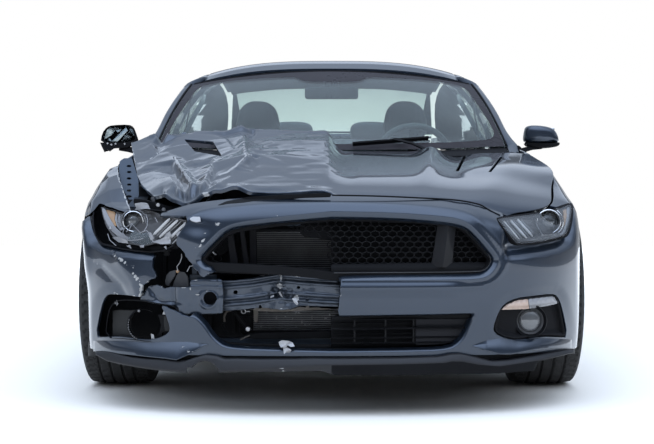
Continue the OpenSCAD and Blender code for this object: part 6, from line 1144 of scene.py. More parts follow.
for pts in ([(123.4, 229.6), (126.4, 227), (131.8, 223.6), (135.6, 228), (140.2, 232.8), (146.6, 230.4), (149.6, 234), (152.9, 242), (161, 243.4), (170, 243.2)], [(128, 239.8), (122.6, 233), (123.8, 229.6)], [(127.6, 240.6), (138, 240), (143, 238.4)], [(107.6, 234), (109.6, 240), (116, 245.8)], [(131.8, 223.6), (129.8, 228.6), (126, 232)], [(184, 222.4), (187.4, 224.6), (184.4, 229.6), (177.8, 238), (172.6, 243.6)], [(155, 217.6), (157.4, 222)], [(145.6, 214), (147.4, 219), (147, 226), (144, 231)]): RB.append((wire(pts, Yl(12), 1.5, 5), 4))
RB.append(((lambda d: (d["V"], d["F"]))(face([(127, 238), (134, 229), (140, 233.4), (147, 231.4), (153, 242), (146, 245), (134, 243.4)], Yl(16), step=5, r=.8, t=2, rag=1.5)), 7))
RB.append((face([(112, 241), (127, 244.6), (143, 247.4), (158, 245.4), (170, 246.6), (171, 251.6), (160, 252), (146, 251), (128, 248.6), (114, 245.6)], Yl(40), step=5, r=1, t=8, rag=1.5), 8))
multi("lamp_broken_right", RB, [M_CHROME, M_BEZEL, M_PROJ, M_BAR, M_CLEARREF, M_AMBER, M_BOWL, M_SHARD, M_BLACK], rep="headlight_right", slot="lamp_clear", angle=40)
V, F = tunnel([(93, 211.6), (100, 202.6), (132, 212), (150, 209), (186, 216), (187, 222), (176, 244), (158, 252.6), (127.6, 249.5), (106.6, 245), (100, 243), (94, 232.6)], Yl(8), Yl(95), .04, 4, 1); make("lamp_opening_right", V, F, M_SEAL, "body_shell", angle=40, slot="black_plastic")
rs = [(face([(133, 198), (145, 199.6), (160, 203.6), (175, 208), (188, 211.6), (190, 220), (178, 218), (160, 213.6), (150, 211), (134, 206)], flat(-2060), step=7, t=30, r=2, rag=1.5), 0), (face([(133.4, 203.4), (140, 202.6), (147.6, 203.4), (149.6, 207.6), (152.6, 211.6), (145, 212.4), (137, 213), (133.2, 212), (136, 208)], lambda x, z: -2095 + 5 * noise(np.stack(np.broadcast_arrays(x, 0.0, z), -1), 22, 2), step=3.5, r=1, t=4, rag=1.2), 1), (face([(188.6, 218.4), (193, 216.4), (200, 216.6), (200.4, 221.6), (196, 222.4), (191, 220.8)], off(-2), step=3.5, r=1, t=3), 1)]
for a, b in ((158, 205), (163.6, 209.6), (185, 213.4)): rs.append((revolve([(-4, 0), (-4, 6), (0, 7), (4, 7), (4, 0)], pin(a, b, flat(-2096)), "y", 12, close=False), 2))
rs.append((bar3(pin(184, 206, flat(-2080)), pin(187.6, 216, flat(-2080)), 12, 10), 0)); rs.append((bar3(pin(152, 197, flat(-2050)), pin(154, 202, flat(-2050)), 12, 6), 3))
multi("radiator_support", rs, [M_BLACK, M_TORN, M_STEEL, M_GREY], slot="structure", angle=35)
# inner apron beside the torn wing, with its slots
def apY(x, z): return -1640 + 0 * x + 0.9 * (z - 700)
ap = face([(119.6, 161), (124, 158), (132, 158), (138.6, 180), (139, 196), (134, 203), (128, 199), (121, 186), (118.6, 172)], apY, step=6, r=1, t=4, holes=[circ(129, a, 2.6, 10, .4) for a in (166, 172, 178.4, 184.6, 190.6, 196.4)]); put("inner_apron", ap, M_PAINT_IN, "body_shell", slot="paint")

# ---------------------------------------------------------------- lower lamps
FB = []
FI = [(497.5, 312), (505.6, 304.6), (517, 299.4), (534, 297.4), (552, 295.4), (556.4, 297), (560.8, 308), (566, 336), (558, 335.4), (542, 335), (517.5, 338.6), (505, 336.6), (496.4, 332), (495.2, 327.6)]
put("fog_pocket_left", face(FI, lambda x, z: Yl(6)(x, z) + 34 * sst(0, 16, pdist(np.stack(np.broadcast_arrays(x, Yl(0)(x, z), z), -1), FI)), step=5, r=1, t=5, holes=[circ(530.4, 321, 13.4)]), M_GRAIN, "body_shell", "fog_lamps", slot="black_plastic")
c = pin(530.4, 321, Yl(20))
for p, k in ((revolve([(-6, 50), (-9, 53), (0, 56), (24, 54), (24, 49), (4, 45)], c, "y", 48), 0), (revolve([(4, 46), (24, 37), (34, 35), (34, 33), (20, 34), (2, 44)], c, "y", 48), 1), (revolve([(14, 36)] + [(14 - 10 * math.cos(a), 36 * math.sin(a)) for a in np.linspace(math.pi / 2, 0, 9)], c, "y", 40, close=False), 2), (revolve([(44, 0), (44, 30), (30, 36), (30, 33), (40, 0)], c, "y", 36, close=False), 3)): FB.append((p, k))
for k in range(3): FB.append((ringy(c + [0, 8 - 0, 0], 13 + 8 * k, 0.9), 1))
multi("fog_lamp_left", FB, [M_BLACK, M_BEZEL, M_PROJ, M_CHROME], slot="lamp_clear", angle=40)
MK = [(501.6, 310), (506, 304.8), (512.5, 300.8), (530, 298.6), (553.4, 295.4), (556.4, 297.4), (559.4, 303.4), (548, 306), (532, 308.6), (516, 309.6)]
def mkY(x, z):
    q = pdist(np.stack(np.broadcast_arrays(x, Yl(0)(x, z), z), -1), MK); return Yl(3)(x, z) + 10 * (1 - sst(0, 12, q)) + 1.3 * np.sin(np.asarray(x) / 3.2) + 0.8 * np.sin(np.asarray(z) / 2.6)
mkL = [q for q in MK if q[0] < 529]; 
a_ = face([(501.6, 310), (506, 304.8), (512.5, 300.8), (528, 298.8), (529.4, 309), (516, 309.6)], mkY, step=2.6, r=.8, t=8); b_ = face([(528.4, 298.8), (553.4, 295.4), (556.4, 297.4), (559.4, 303.4), (548, 306), (529.8, 308.8)], mkY, step=2.6, r=.8, t=8)
M_PINK = glass_mat("marker_amber", (0.60, 0.47, 0.40), 0.95, 0.22, vary=0.22)
multi("marker_lamp_left", [(a_, 0), (b_, 1)], [M_PINK, M_CLEARREF], slot="lamp_clear", angle=40)
# emptied pocket on the right
FR = [(105.4, 338), (108, 313), (113, 303.4), (119, 300.2), (139, 300.6), (150, 302.6), (160, 304.4), (176, 306.6), (178, 314.6), (181.6, 322), (183.6, 331), (181, 337), (176, 340), (150, 341.6), (126, 338.6)]
FP = []
FP.append((face([(112, 310.6), (120, 309.8), (132, 310.4), (141, 309.6), (133, 314), (130, 320), (129.6, 328), (134, 337), (139, 341.4), (124, 339.4), (112, 337)], lambda x, z: Yl(44)(x, z) - 14 * np.exp(-((331.5 + np.asarray(x) / 3.6 - 121) / 7) ** 2), step=5, r=1.5, t=6, rag=1.2), 0))
cL = pin(143.6, 325, Yl(40)); FP.append((revolve([(0, 50), (-5, 52), (-2, 56), (30, 56), (30, 50)], cL, "y", 44, 168, 392), 1)); FP.append((revolve([(-3, 51), (-7, 52.5), (-3, 54)], cL, "y", 30, 195, 262), 2))
for k in range(12): a = math.radians(190 + 9 * k); FP.append((rbox(cL + [51 * math.sin(a) - 2, -7, 51 * math.cos(a) - 2], cL + [51 * math.sin(a) + 2, -3, 51 * math.cos(a) + 2], 1, 1), 2))
FP.append((face([(157, 314.8), (166, 314.2), (175, 315.6), (178.6, 321), (181.4, 330), (180.6, 336), (174, 339.6), (160, 341), (153.6, 340.6), (158.6, 333), (160.4, 325), (158.6, 318)], Yl(34), step=4.5, r=1.5, t=8, holes=[[(162, 333), (168, 332.2), (177, 331.8), (177.4, 338), (168, 338.6), (161.4, 338.6)], circ(177.6, 329, 1.1, 10)], rag=.8), 1))
FP.append((face([(163.6, 316), (173, 316), (172.6, 330.6), (164.6, 331.6), (163.4, 324)], Yl(26), step=4, r=1.5, t=8), 0)); FP.append((face([(176, 316), (181, 318.4), (184.6, 329), (182.6, 331), (178, 322)], Yl(20), step=4, r=1.5, t=6), 0))
for a, b in ((180.2, 334.8), (177.4, 327.6), (115.4, 302.6), (138.6, 311)): FP.append((revolve([(-5, 0), (-5, 4), (0, 5), (4, 5), (4, 0)], pin(a, b, Yl(16)), "y", 10, close=False), 2))
FP.append((wire([(112, 337), (124, 339.4), (139, 341.6), (150, 342)], Yl(16), 3), 1)); FP.append((wire([(178, 340), (180, 336.6), (183, 333)], Yl(14), 2), 2))
multi("fog_pocket_broken_right", FP, [plastic_mat("pocket_plastic", c=(0.020, 0.020, 0.020), rough=0.5, grain=500, dust=0.01), M_BLACK, M_BEZEL], slot="black_plastic", angle=35)
V, F = tunnel(FR, Yl(6), Yl(70), .03, 3, 1); make("fog_opening_right", V, F, M_BLACK, "body_shell", angle=40, slot="black_plastic")

# ---------------------------------------------------------------- lower opening, intact side
LG = [(sweep([pin(a, b, off(34)) for a, b in [(332, 318), (440, 316.4), (470, 315.8), (473.4, 316.2), (470.4, 322.6), (465, 333.6), (458, 342), (449, 347.2), (430, 349), (332, 350)]], [(-5, -10), (5, -10), (5, 10), (-5, 10)], up=(0, -1, 0)), 0)]
for y0, d, h in ((319.6, 30, 4), (323.2, 44, 3), (329.0, 26, 5), (334, 44, 3), (338.4, 32, 4), (343.6, 30, 3)):
    x0, x1 = 331.5, 470 - (y0 - 316) * .42; q = [pin(lerp(x0, x1, t_), y0 - 1.4 * t_, off(d)) for t_ in np.linspace(0, 1, 26)]; LG.append((sweep(q, [(-h / 2.0, -9), (h / 2.0, -9), (h / 2.0 + 1, 2), (0, 5), (-h / 2.0 - 1, 2)][::-1], up=(0, -1, 0)), 1 if d < 35 else 0))
for px in (354.6, 385.6, 413.6): q = [pin(px, py, off(36)) for py in (318, 326, 334, 343)]; LG.append((sweep(q, [(-2.5, -10), (2.5, -10), (2.5, 6), (-2.5, 6)], up=(0, -1, 0)), 1))
LG.append((face([(415.6, 317.4), (470, 315.6), (466, 328), (459, 338), (446, 344.4), (415.6, 345.6)], lambda x, z: off(38)(x, z) - 5 * sst(0, 3, 199.3 + (700 - np.asarray(z)) / 3.25 - 327.2), step=6, r=2, t=6), 2))
# black sheet behind the slats: painted shade for the dark space behind the opening
LG.append((face([(331, 316), (480, 313), (470, 345), (331, 351)], off(74), step=14, r=1, t=5), 0))
multi("lower_grille", LG, [M_BLACK, M_GLOSSB, plastic_mat("lower_panel", c=(0.014, 0.014, 0.016), rough=0.4, dust=0.004)], slot="black_plastic", angle=35)

# ---------------------------------------------------------------- splitter lip and corner winglets
LTOP = [[88, 352], [95, 351.8], [106, 352.6], [128, 358], [150, 359.4], [170, 361.2], [184, 361], [191, 359], [204, 355.8], [215, 356.4], [223, 359.4], [262, 359.6], [331, 359.2], [400, 358.4], [441, 357], [452, 354.6], [462, 354.2], [480, 358], [494, 361.4], [512, 360], [536, 356.4], [556, 353], [570, 350.6], [575, 350]]
LMID = [[88, 353.5], [95, 354.6], [106, 360.6], [122, 364], [150, 368.6], [162, 370.4], [176, 371.4], [188, 372.4], [217, 372], [262, 369.6], [331, 365.6], [400, 364.6], [445, 363.2], [452, 361.6], [462, 361.8], [480, 365], [500, 366.6], [520, 363.6], [537, 361], [556, 357], [570, 353.6], [575, 352.6]]
LBOT = [[88, 354.5], [95, 355.6], [106, 361.6], [122, 365.4], [150, 370], [162, 371.4], [176, 372], [188, 373.6], [217, 373], [262, 371.8], [322, 371.2], [334, 375.2], [400, 375.3], [500, 373.6], [520, 371.6], [536, 371], [537.5, 362.5], [556, 358], [570, 354.4], [575, 353.4]]
ip = lambda T, x: np.interp(x, [q[0] for q in T], [q[1] for q in T])
def lip_fn(U, V):
    """V 0 to 1 up the lower face, 1 to 2 up the band, 2 to 3 back along the top."""
    B = ring(U, np.zeros_like(U)); o = unit(np.cross(ring(U + .02, np.zeros_like(U)) - ring(U - .02, np.zeros_like(U)), np.array([0, 0, 1.0]))); o = np.where((o[..., 1:2] > 0) & (np.abs(U)[..., None] < 5.5), -o, o)
    P0 = B + o * 26; px, py, s = proj(P0); zt, zm, zb = [700 - (ip(T, px) - 199.3) * s for T in (LTOP, LMID, LBOT)]
    v = V[..., None]; outw = np.where(V < 1, 22 + 4 * V, np.where(V < 2, 26 - 10 * (V - 1) ** 1.4, 16 - 34 * (V - 2)))[..., None]; z = np.where(V < 1, lerp(zb, zm, V), np.where(V < 2, lerp(zm, zt, V - 1), zt + 3 * (V - 2)))
    P = B + o * outw; P[..., 2] = z; n_ = noise(P, 60, 4) * 3 * (P[..., 0] < 0); P[..., 2] += n_ * (np.abs(P[..., 0]) < 700) * .6; return P
us_ = ring_us(-5.95, 5.95, 11, 0.0); us_ = np.clip(us_, -5.9, 5.9); vs_ = np.concatenate([np.linspace(0, 1, 5)[:-1], np.linspace(1, 2, 6)[:-1], np.linspace(2, 3, 5)])
def lip_trim(P):
    px, py, s = proj(P); hole = [(187, 367.4), (191, 367.6), (197, 362.6), (204, 360.8), (210, 361.6), (216, 367), (219.6, 371), (214, 378), (188, 378), (186, 370)]
    return np.minimum(np.where(P[..., 0] < 0, -poly_dist(px, py, hole) * s - np.abs(ragged(P, 1.5, 14, 2)) + 1, 50.0), np.minimum((574.0 - px) * s, (px - 95.0) * s))
def lip_wear(P, N, UV):
    px, py, s = proj(P); w = 0 * px
    for a, b, rx, ry, k in [(151, 365, 4, 2, .5), (148, 361, 2, 1.4, .5), (276, 364.6, 9, 1, .6), (282, 368.6, 4, 1.4, .7), (240, 360.4, 9, .7, .35), (205, 357, 7, .8, .5), (189, 369.4, 3, 2, .6), (203, 372.4, 9, 1, .6), (283, 371.4, 1.6, 1.4, .7), (247, 366, 2, 1, .4)]: w = np.maximum(w, k * np.exp(-((px - a) / rx) ** 2 - ((py - b) / ry) ** 2))
    return P, None, w * (P[:, 0] < 0)
lp = panel(lip_fn, us_, vs_, lip_trim, r=1.5, t=5, post=lip_wear)
ctr = np.array([lp["V"][f].mean(0) for f in lp["F"]]); cpx, cpy, cs = proj(ctr); mi_ = np.where((ctr[:, 0] > 0) & (cpy > ip(LMID, cpx) + .25), 1, 0).tolist()
M_LIP = paint_mat("lip_grey", base=(0.034, 0.034, 0.037), dark=(0.028, 0.028, 0.030), coat=0.1, dull=0.25)
make("front_lip", lp["V"], lp["F"], None, "body_shell", "chin_lip", normals=lp["N"], attrs={"wear": lp["wear"]}, slot="black_plastic", mats=[M_LIP, M_BLACK], midx=mi_)
def winglet(T, Bm, pxs, lead, name, wearf=None):
    """A ledge: top line T and leading edge line on the cover, standing out by lead."""
    R_ = []
    for px in pxs:
        t0 = ip(T, px); b0 = ip(Bm, px); L_ = np.interp(px, [q[0] for q in lead], [q[1] for q in lead]); a = pin(px, t0, Yl(2)); m1 = pin(px, t0 + (b0 - t0) * .35, Yl(-L_ * .55)); m2 = pin(px, t0 + (b0 - t0) * .8, Yl(-L_ * .93)); b = pin(px, b0 - .3, Yl(-L_)); c_ = pin(px, b0 + .5, Yl(-L_ * .93)); d = pin(px, b0 + .9, Yl(8)); R_.append([a, m1, m2, b, c_, d, d + [0, 10, 4], a + [0, 10, 0]])
    V, F = loft(R_, True, True); w_ = wearf(*proj(V)[:2]) if wearf else np.zeros(len(V)); return make(name, V, F, M_PAINT, "body_shell", attrs={"wear": w_}, angle=28, slot="paint")
winglet([[473, 345.2], [488, 339.6], [500, 338.4], [517, 341], [541, 338.4], [560, 339], [573, 340]], [[473, 346.2], [487, 350.6], [501, 354.2], [511, 354.2], [530, 350.6], [552, 347.6], [573, 347.8]], np.linspace(473, 572, 60), [[473, 2], [485, 24], [505, 30], [550, 22], [573, 6]], "winglet_left")
def wgw(px, py):
    w = 0 * px
    for a, b, rx, ry, k in [(160, 351, 7, 3.4, .52), (172, 354, 4, 3, .5), (184, 348, 8, 4, .46), (196, 345, 6, 2, .5), (170, 357, 9, 1.2, .5), (190, 352, 9, 1, .5)]: w = np.maximum(w, k * np.exp(-((px - a) / rx) ** 2 - ((py - b) / ry) ** 2))
    return w
winglet([[92, 341], [105, 341], [126, 341.4], [149, 343], [176, 341.4], [187, 341.4], [204, 343.6], [208, 344]], [[92, 351], [103, 351.6], [122, 353.8], [149, 356.8], [166, 358.4], [176, 360], [191, 353.4], [204, 345.4], [208, 344.8]], np.linspace(93, 207.5, 70), [[92, 4], [110, 18], [150, 26], [176, 30], [195, 14], [208, 2]], "winglet_right", wgw)
# dark underside between cover and lip
ud = []
for U in np.linspace(-5.9, 5.9, 120):
    b = ring(np.float64(U), np.float64(.12)); c_ = b * [0.985, 0.99, 1]; z0 = 700 - (float(ip(LTOP, proj(b)[0])) + 3 - 199.3) * proj(b)[2]; ud.append([[b[0] * .99, b[1] + 6, b[2] + 8], [c_[0] * .97, c_[1] + 70, b[2] + 8], [c_[0] * .97, c_[1] + 70, z0 - 6], [b[0] * .99, b[1] + 4, z0 - 4]])
V, F = loft(ud, True, True); make("lip_underside", V, F, M_BLACK, "body_shell", angle=35, slot="black_plastic")
# ---------------------------------------------------------------- wheels
def tyre_mesh(w, na=252):
    h = w / 2.0; r = 343.0
    prof = [(-h + 22, 244), (-h + 10, 250), (-h + 6.5, 257), (-h + 5, 263), (-h + 6, 266), (-h + 2.5, 276), (-h + .5, 289), (-h + .6, 292.5), (-h + .5, 300), (-h + 1.4, 309), (-h + 3.6, 318), (-h + 6.6, 325), (-h + 10.5, 331), (-h + 16, 335.6)]
    tread = np.linspace(-h + 22, h - 22, 57); pr = [(x, r - 6.5 * abs(x / (h - 22)) ** 3.2) for x in tread]
    out = prof + pr + [(-x, q) for x, q in prof[::-1]]; inn = [(h - 30, 246), (h - 14, 262), (h - 10, 300), (h - 24, 324), (0, 331), (-h + 24, 324), (-h + 10, 300), (-h + 14, 262), (-h + 30, 246)]
    P_ = np.array(out + inn, float); n1, n2 = len(prof), len(prof) + len(tread); A = 2 * np.pi * np.arange(na) / na
    Rr = np.repeat(P_[None, :, 1], na, 0); X = np.repeat(P_[None, :, 0], na, 0)
    gro = [(-62, 5.0), (-21, 5.6), (21, 5.6), (62, 5.0)]
    for j in range(n1, n2):
        x = P_[j, 0]; d = 0.0
        for g, wd in gro: d = max(d, 7.5 * float(1 - sst(wd * .55, wd * 1.0, abs(x - g))))
        k = np.arange(na); blk = np.where(abs(x) > 67, ((k + int(abs(x) / 16)) % 4 == 0) * 4.5, np.where(abs(x) > 27, ((k + int(x / 9)) % 6 == 0) * 3.6, ((k + 2) % 12 == 0) * 1.6)); Rr[:, j] -= np.maximum(d, blk)
    for j in list(range(9, n1)) + list(range(n2, n2 + 5)):
        Rr[:, j] -= (np.arange(na) % 4 == 0) * 1.6
    V = np.stack([X, Rr * np.sin(A)[:, None], Rr * np.cos(A)[:, None]], -1); m = len(P_); F = []
    for i in range(na):
        a = i * m; b = ((i + 1) % na) * m
        for k in range(m): l = (k + 1) % m; F.append([a + k, a + l, b + l, b + k])
    V = V.reshape(-1, 3); return V, F
def rim_parts(w):
    h = w / 2.0; R_ = 243.0; P_ = []
    P_.append((revolve([(-h + 14, R_ + 5), (-h + 15, R_ + 6), (-h + 19, R_ + 1), (-h + 34, R_ - 1), (-h + 52, R_ - 13), (h - 70, R_ - 13), (h - 44, R_ - 2), (h - 20, R_ + 1), (h - 15.5, R_ + 6), (h - 14, R_ + 5), (h - 13.4, R_ - 2), (h - 16, R_ - 8), (h - 26, R_ - 15), (h - 46, R_ - 20), (h - 74, R_ - 24), (-h + 50, R_ - 20), (-h + 24, R_ - 10), (-h + 15, R_ - 8)], (0, 0, 0), "x", 120), 0))
    P_.append((revolve([(h - 13.2, R_ + 1), (h - 12.8, R_ - 1), (h - 15, R_ - 7.4), (h - 17, R_ - 8)], (0, 0, 0), "x", 120, close=True), 1))
    for i in range(5):
        for sd in (-1, 1):
            rings = []
            for t in np.linspace(0, 1, 12):
                rad_ = lerp(44, R_ - 19, t); off_ = sd * lerp(12, 34, t ** 1.2); wd = lerp(15, 10.5, t) + 5 * (t > .93); xf = h - 30 - 12 * math.sin(math.pi * t) ** 1.2 + 6 * t ** 3; xb = xf - lerp(34, 24, t)
                rings.append([[xb, off_ - wd * .8, rad_], [xf - 5, off_ - wd, rad_], [xf, off_ - wd + 3.5, rad_], [xf, off_ + wd - 3.5, rad_], [xf - 5, off_ + wd, rad_], [xb, off_ + wd * .8, rad_]])
            V, F = loft(rings, True, True); a = 2 * math.pi * i / 5; c, s_ = math.cos(a), math.sin(a); V = np.stack([V[:, 0], V[:, 1] * c - V[:, 2] * s_, V[:, 1] * s_ + V[:, 2] * c], -1); P_.append(((V, F), 0))
            rings = []
            for t in np.linspace(.06, .97, 10):
                rad_ = lerp(44, R_ - 19, t); off_ = sd * lerp(12, 34, t ** 1.2); wd = lerp(15, 10.5, t) - 4.2; xf = h - 30 - 12 * math.sin(math.pi * t) ** 1.2 + 6 * t ** 3; rings.append([[xf - .6, off_ - wd, rad_], [xf + .7, off_ - wd + .5, rad_], [xf + .7, off_ + wd - .5, rad_], [xf - .6, off_ + wd, rad_]])
            V, F = loft(rings, True, True); V = np.stack([V[:, 0], V[:, 1] * c - V[:, 2] * s_, V[:, 1] * s_ + V[:, 2] * c], -1); P_.append(((V, F), 1))
    P_.append((revolve([(12, 34), (12, 72), (h - 60, 72), (h - 44, 70), (h - 34, 60), (h - 31, 48), (h - 30, 36), (h - 36, 31.5), (60, 31)], (0, 0, 0), "x", 60), 0)); P_.append((revolve([(h - 40, 0), (h - 40, 31), (h - 28, 31), (h - 25.5, 28), (h - 24.4, 18), (h - 24, 0)], (0, 0, 0), "x", 40, close=False), 4))
    for i in range(5):
        a = 2 * math.pi * (i + .5) / 5; c = (h - 44, 57 * math.sin(a), 57 * math.cos(a)); P_.append((revolve([(-4, 11.5), (-4, 13), (10, 13), (12, 11.5)], c, "x", 24), 4)); P_.append((revolve([(-4, 0), (-4, 9.5), (12, 9.5), (15, 7), (16, 0)], c, "x", 6, close=False), 3))
    for x0, x1 in ((-11.5, -3), (5, 13.5)): P_.append((revolve([(x0, 96), (x0, 174), (x0 + 1, 175), (x1 - 1, 175), (x1, 174), (x1, 96)], (0, 0, 0), "x", 90), 2))
    for i in range(36): a = 2 * math.pi * i / 36; V, F = rbox((-4, -1.6, 98), (6, 1.6, 171), 0, 1); V = np.stack([V[:, 0], V[:, 1] * math.cos(a) - V[:, 2] * math.sin(a), V[:, 1] * math.sin(a) + V[:, 2] * math.cos(a)], -1); P_.append(((V, F), 2))
    P_.append((revolve([(13, 70), (13, 97), (4, 99), (4, 92), (9, 90), (9, 70)], (0, 0, 0), "x", 60), 2)); P_.append((tube([(h - 46, 0, R_ - 22), (h - 34, 0, R_ - 26), (h - 22, 0, R_ - 32)], 3.4, 10), 4))
    return P_
for nm, sg, X, Y, w_ in (("front_left", 1, 791, -1437, 250), ("front_right", -1, 791, -1437, 250), ("rear_left", 1, 822, 1283, 262), ("rear_right", -1, 822, 1283, 262)):
    def plc(p): V = np.asarray(p[0], float) + [X, 0, 0]; V = V * [sg, 1, 1] + [0, Y, 343]; return V, (p[1] if sg > 0 else [f[::-1] for f in p[1]])
    V, F = plc(tyre_mesh(w_)); make("tyre_tread_" + nm, V, F, M_TYRE, "wheel_" + nm, "tyre_" + nm, angle=28, slot="rubber_tyre")
    multi("alloy_wheel_" + nm, [(plc(p), k) for p, k in rim_parts(w_)], [M_RIM, M_RIMCUT, M_DISC, M_CHROME, M_BLACK], "wheel_" + nm, "rim_" + nm, slot="rim_metal", angle=30)
al = []
for sg in (1, -1):
    for Y, r_, x0, x1 in ((-1437, 408, 468, 862), (1283, 399, 560, 898)):
        for V, F in (revolve([(x0, r_), (x1, r_), (x1, r_ + 5), (x0, r_ + 5)], (0, Y, 340), "x", 60, -18, 198), revolve([(x0 - 5, 200), (x0, 200), (x0, r_ + 5), (x0 - 5, r_ + 5)], (0, Y, 340), "x", 50, 0, 180)):
            V = V * [sg, 1, 1]; al.append(((V, F), 0))
        for k in range(5): V, F = revolve([(x0 + 50 + 55 * k, r_ - 2), (x0 + 58 + 55 * k, r_ - 2), (x0 + 58 + 55 * k, r_ + 1), (x0 + 50 + 55 * k, r_ + 1)], (0, Y, 340), "x", 50, -16, 196); al.append(((V * [sg, 1, 1], F), 0))
multi("arch_liners", al, [M_BLACK], slot="black_plastic", angle=40)
# ---------------------------------------------------------------- cabin: padded seats, fascia, wheel, mirror, belts
def pad_mesh(c, half, nx=3.2, seg=(22, 22, 12), shape=None):
    """A cushion: superellipsoid-like closed form as a subdivided box."""
    bm = bmesh.new(); bmesh.ops.create_cube(bm, size=2.0); bmesh.ops.subdivide_edges(bm, edges=bm.edges[:], cuts=seg[0] // 2, use_grid_fill=True)
    V = np.array([v.co for v in bm.verts]); F = [[v.index for v in f.verts] for f in bm.faces]; bm.free()
    L = (np.abs(V) ** nx).sum(1) ** (1 / nx); V = V / L[:, None] * np.clip(L, 1, 1.0)[:, None] if False else V / L[:, None]
    V = V * np.asarray(half, float); V = shape(V) if shape else V; return V + np.asarray(c, float), F
def puff(name, V, F, body, rep, cap, seams, voxel=0.009, mat=None):
    """Blows the cushion up as sewn cloth, then presses its seams in."""
    me = bpy.data.meshes.new(name + "_m"); me.from_pydata((V * MM).tolist(), [], F); me.update(); tmp = bpy.data.objects.new(name + "_t", me); coll.objects.link(tmp)
    bpy.context.view_layer.objects.active = tmp; md = tmp.modifiers.new("r", "REMESH"); md.mode = "VOXEL"; md.voxel_size = voxel; dg = bpy.context.evaluated_depsgraph_get(); m2 = bpy.data.meshes.new_from_object(tmp.evaluated_get(dg)); tmp.modifiers.clear(); tmp.data = m2
    P0 = np.array([v.co for v in m2.vertices]); Fs = [list(p.vertices) for p in m2.polygons]; P1 = P0
    cl = tmp.modifiers.new("c", "CLOTH"); st = cl.settings; st.use_pressure = True; st.uniform_pressure_force = 4.0; st.effector_weights.gravity = 0.0; st.quality = 4; st.mass = 0.3; st.tension_stiffness = 12; st.compression_stiffness = 12; st.bending_stiffness = 2.0
    cl.point_cache.frame_start = 1; cl.point_cache.frame_end = 14
    for f in range(1, 15): scene.frame_set(f)
    dg = bpy.context.evaluated_depsgraph_get(); m3 = bpy.data.meshes.new_from_object(tmp.evaluated_get(dg)); P1 = np.array([v.co for v in m3.vertices]); bpy.data.meshes.remove(m3); scene.frame_set(1)
    bpy.data.objects.remove(tmp)
    d = P1 - P0; L = np.linalg.norm(d, axis=1, keepdims=True); P1 = P0 + d * np.minimum(1, cap * MM / np.maximum(L, 1e-9)); P1 = P1 / MM
    b = bmesh.new(); [b.verts.new(p) for p in P1]; b.verts.ensure_lookup_table(); [b.faces.new([b.verts[i] for i in f]) for f in Fs]; b.normal_update(); N = np.array([v.normal for v in b.verts]); b.free()
    P1 = P1 + N * (seams(P1, N)[:, None] + (0.9 * noise(P1, 70, 4) + 0.5 * noise(P1, 28, 5))[:, None]); o = make(name, P1, Fs, mat or M_LEATHER, body, rep, slot="seat_trim"); return o
def dup(o, name, dx, body, rep=()):
    V = np.array([v.co for v in o.data.vertices]) / MM + [dx, 0, 0]; q = make(name, V, [list(p.vertices) for p in o.data.polygons], M_LEATHER, body, rep, slot="seat_trim"); return q
sx = 378.0
def sh_cush(V):
    V = V.copy(); k = sst(150, 215, np.abs(V[:, 0])); V[:, 2] += 34 * k * (V[:, 2] > 0) - 12 * np.exp(-(V[:, 0] / 120) ** 2) * (V[:, 2] > 0); V[:, 1] -= 10 * np.exp(-(V[:, 0] / 150) ** 2) * (V[:, 1] < -180); V[:, 2] -= 30 * sst(150, 230, V[:, 1]) * (V[:, 2] > 0); return V
def seam_c(P, N):
    x, y = P[:, 0] - sx, P[:, 1]; up = sst(0.2, 0.7, N[:, 2]); d = -7 * np.exp(-((np.abs(x) - 138) / 8) ** 2) * up
    for yy in (170, 240, 310, 380): d = d - 4.5 * np.exp(-((y - yy) / 7) ** 2) * up * (np.abs(x) < 134)
    return d
V, F = pad_mesh((sx, 300, 362), (232, 246, 84), 4.2, (26, 26, 26), sh_cush); s1 = puff("seat_cushion_left", V, F, "body_shell", "front_seats", 14, seam_c)
def lean(V): V = V.copy(); V[:, 1] += V[:, 2] * 0.28; return V
def sh_back(V):
    V = V.copy(); z = V[:, 2]; V[:, 0] *= np.interp(z, [-320, -150, 120, 250, 320], [1.0, 1.04, 1.0, .82, .62]); k = sst(120, 200, np.abs(V[:, 0])); V[:, 1] -= 38 * k * (V[:, 1] < 0) * np.interp(z, [-320, -200, 100, 260], [.3, 1, .8, .1]); V[:, 1] += 10 * np.exp(-(V[:, 0] / 90) ** 2) * (V[:, 1] < 0); return lean(V)
def seam_b(P, N):
    x, z = P[:, 0] - sx, P[:, 2]; fr_ = sst(0.2, 0.7, -N[:, 1]); d = -7 * np.exp(-((np.abs(x) - 118 + 30 * sst(820, 990, z)) / 8) ** 2) * fr_
    for zz in (520, 590, 660, 730, 800): d = d - 4.5 * np.exp(-((z - zz) / 7) ** 2) * fr_ * (np.abs(x) < 112)
    return d - 5 * np.exp(-((z - 900) / 7) ** 2) * fr_
V, F = pad_mesh((sx, 600, 690), (228, 62, 325), 4.0, (28, 28, 28), sh_back); s2 = puff("seat_back_left", V, F, "body_shell", (), 14, seam_b)
def sh_head(V):
    V = V.copy(); V[:, 0] *= np.interp(V[:, 2], [-100, -30, 60, 100], [1.06, 1.0, .84, .66]); V[:, 1] += V[:, 2] * 0.2; return V
def seam_h(P, N): return -4 * np.exp(-((np.abs(P[:, 0] - sx) - 72) / 7) ** 2) * sst(.2, .7, -N[:, 1])
V, F = pad_mesh((sx + 6, 706, 1112), (116, 46, 101), 3.4, (20, 20, 20), sh_head); s3 = puff("headrest_left", V, F, "body_shell", (), 8, seam_h)
for o, n_ in ((s1, "seat_cushion_right"), (s2, "seat_back_right"), (s3, "headrest_right")): dup(o, n_, -2 * sx - (12 if n_ == "headrest_right" else 0), "body_shell")
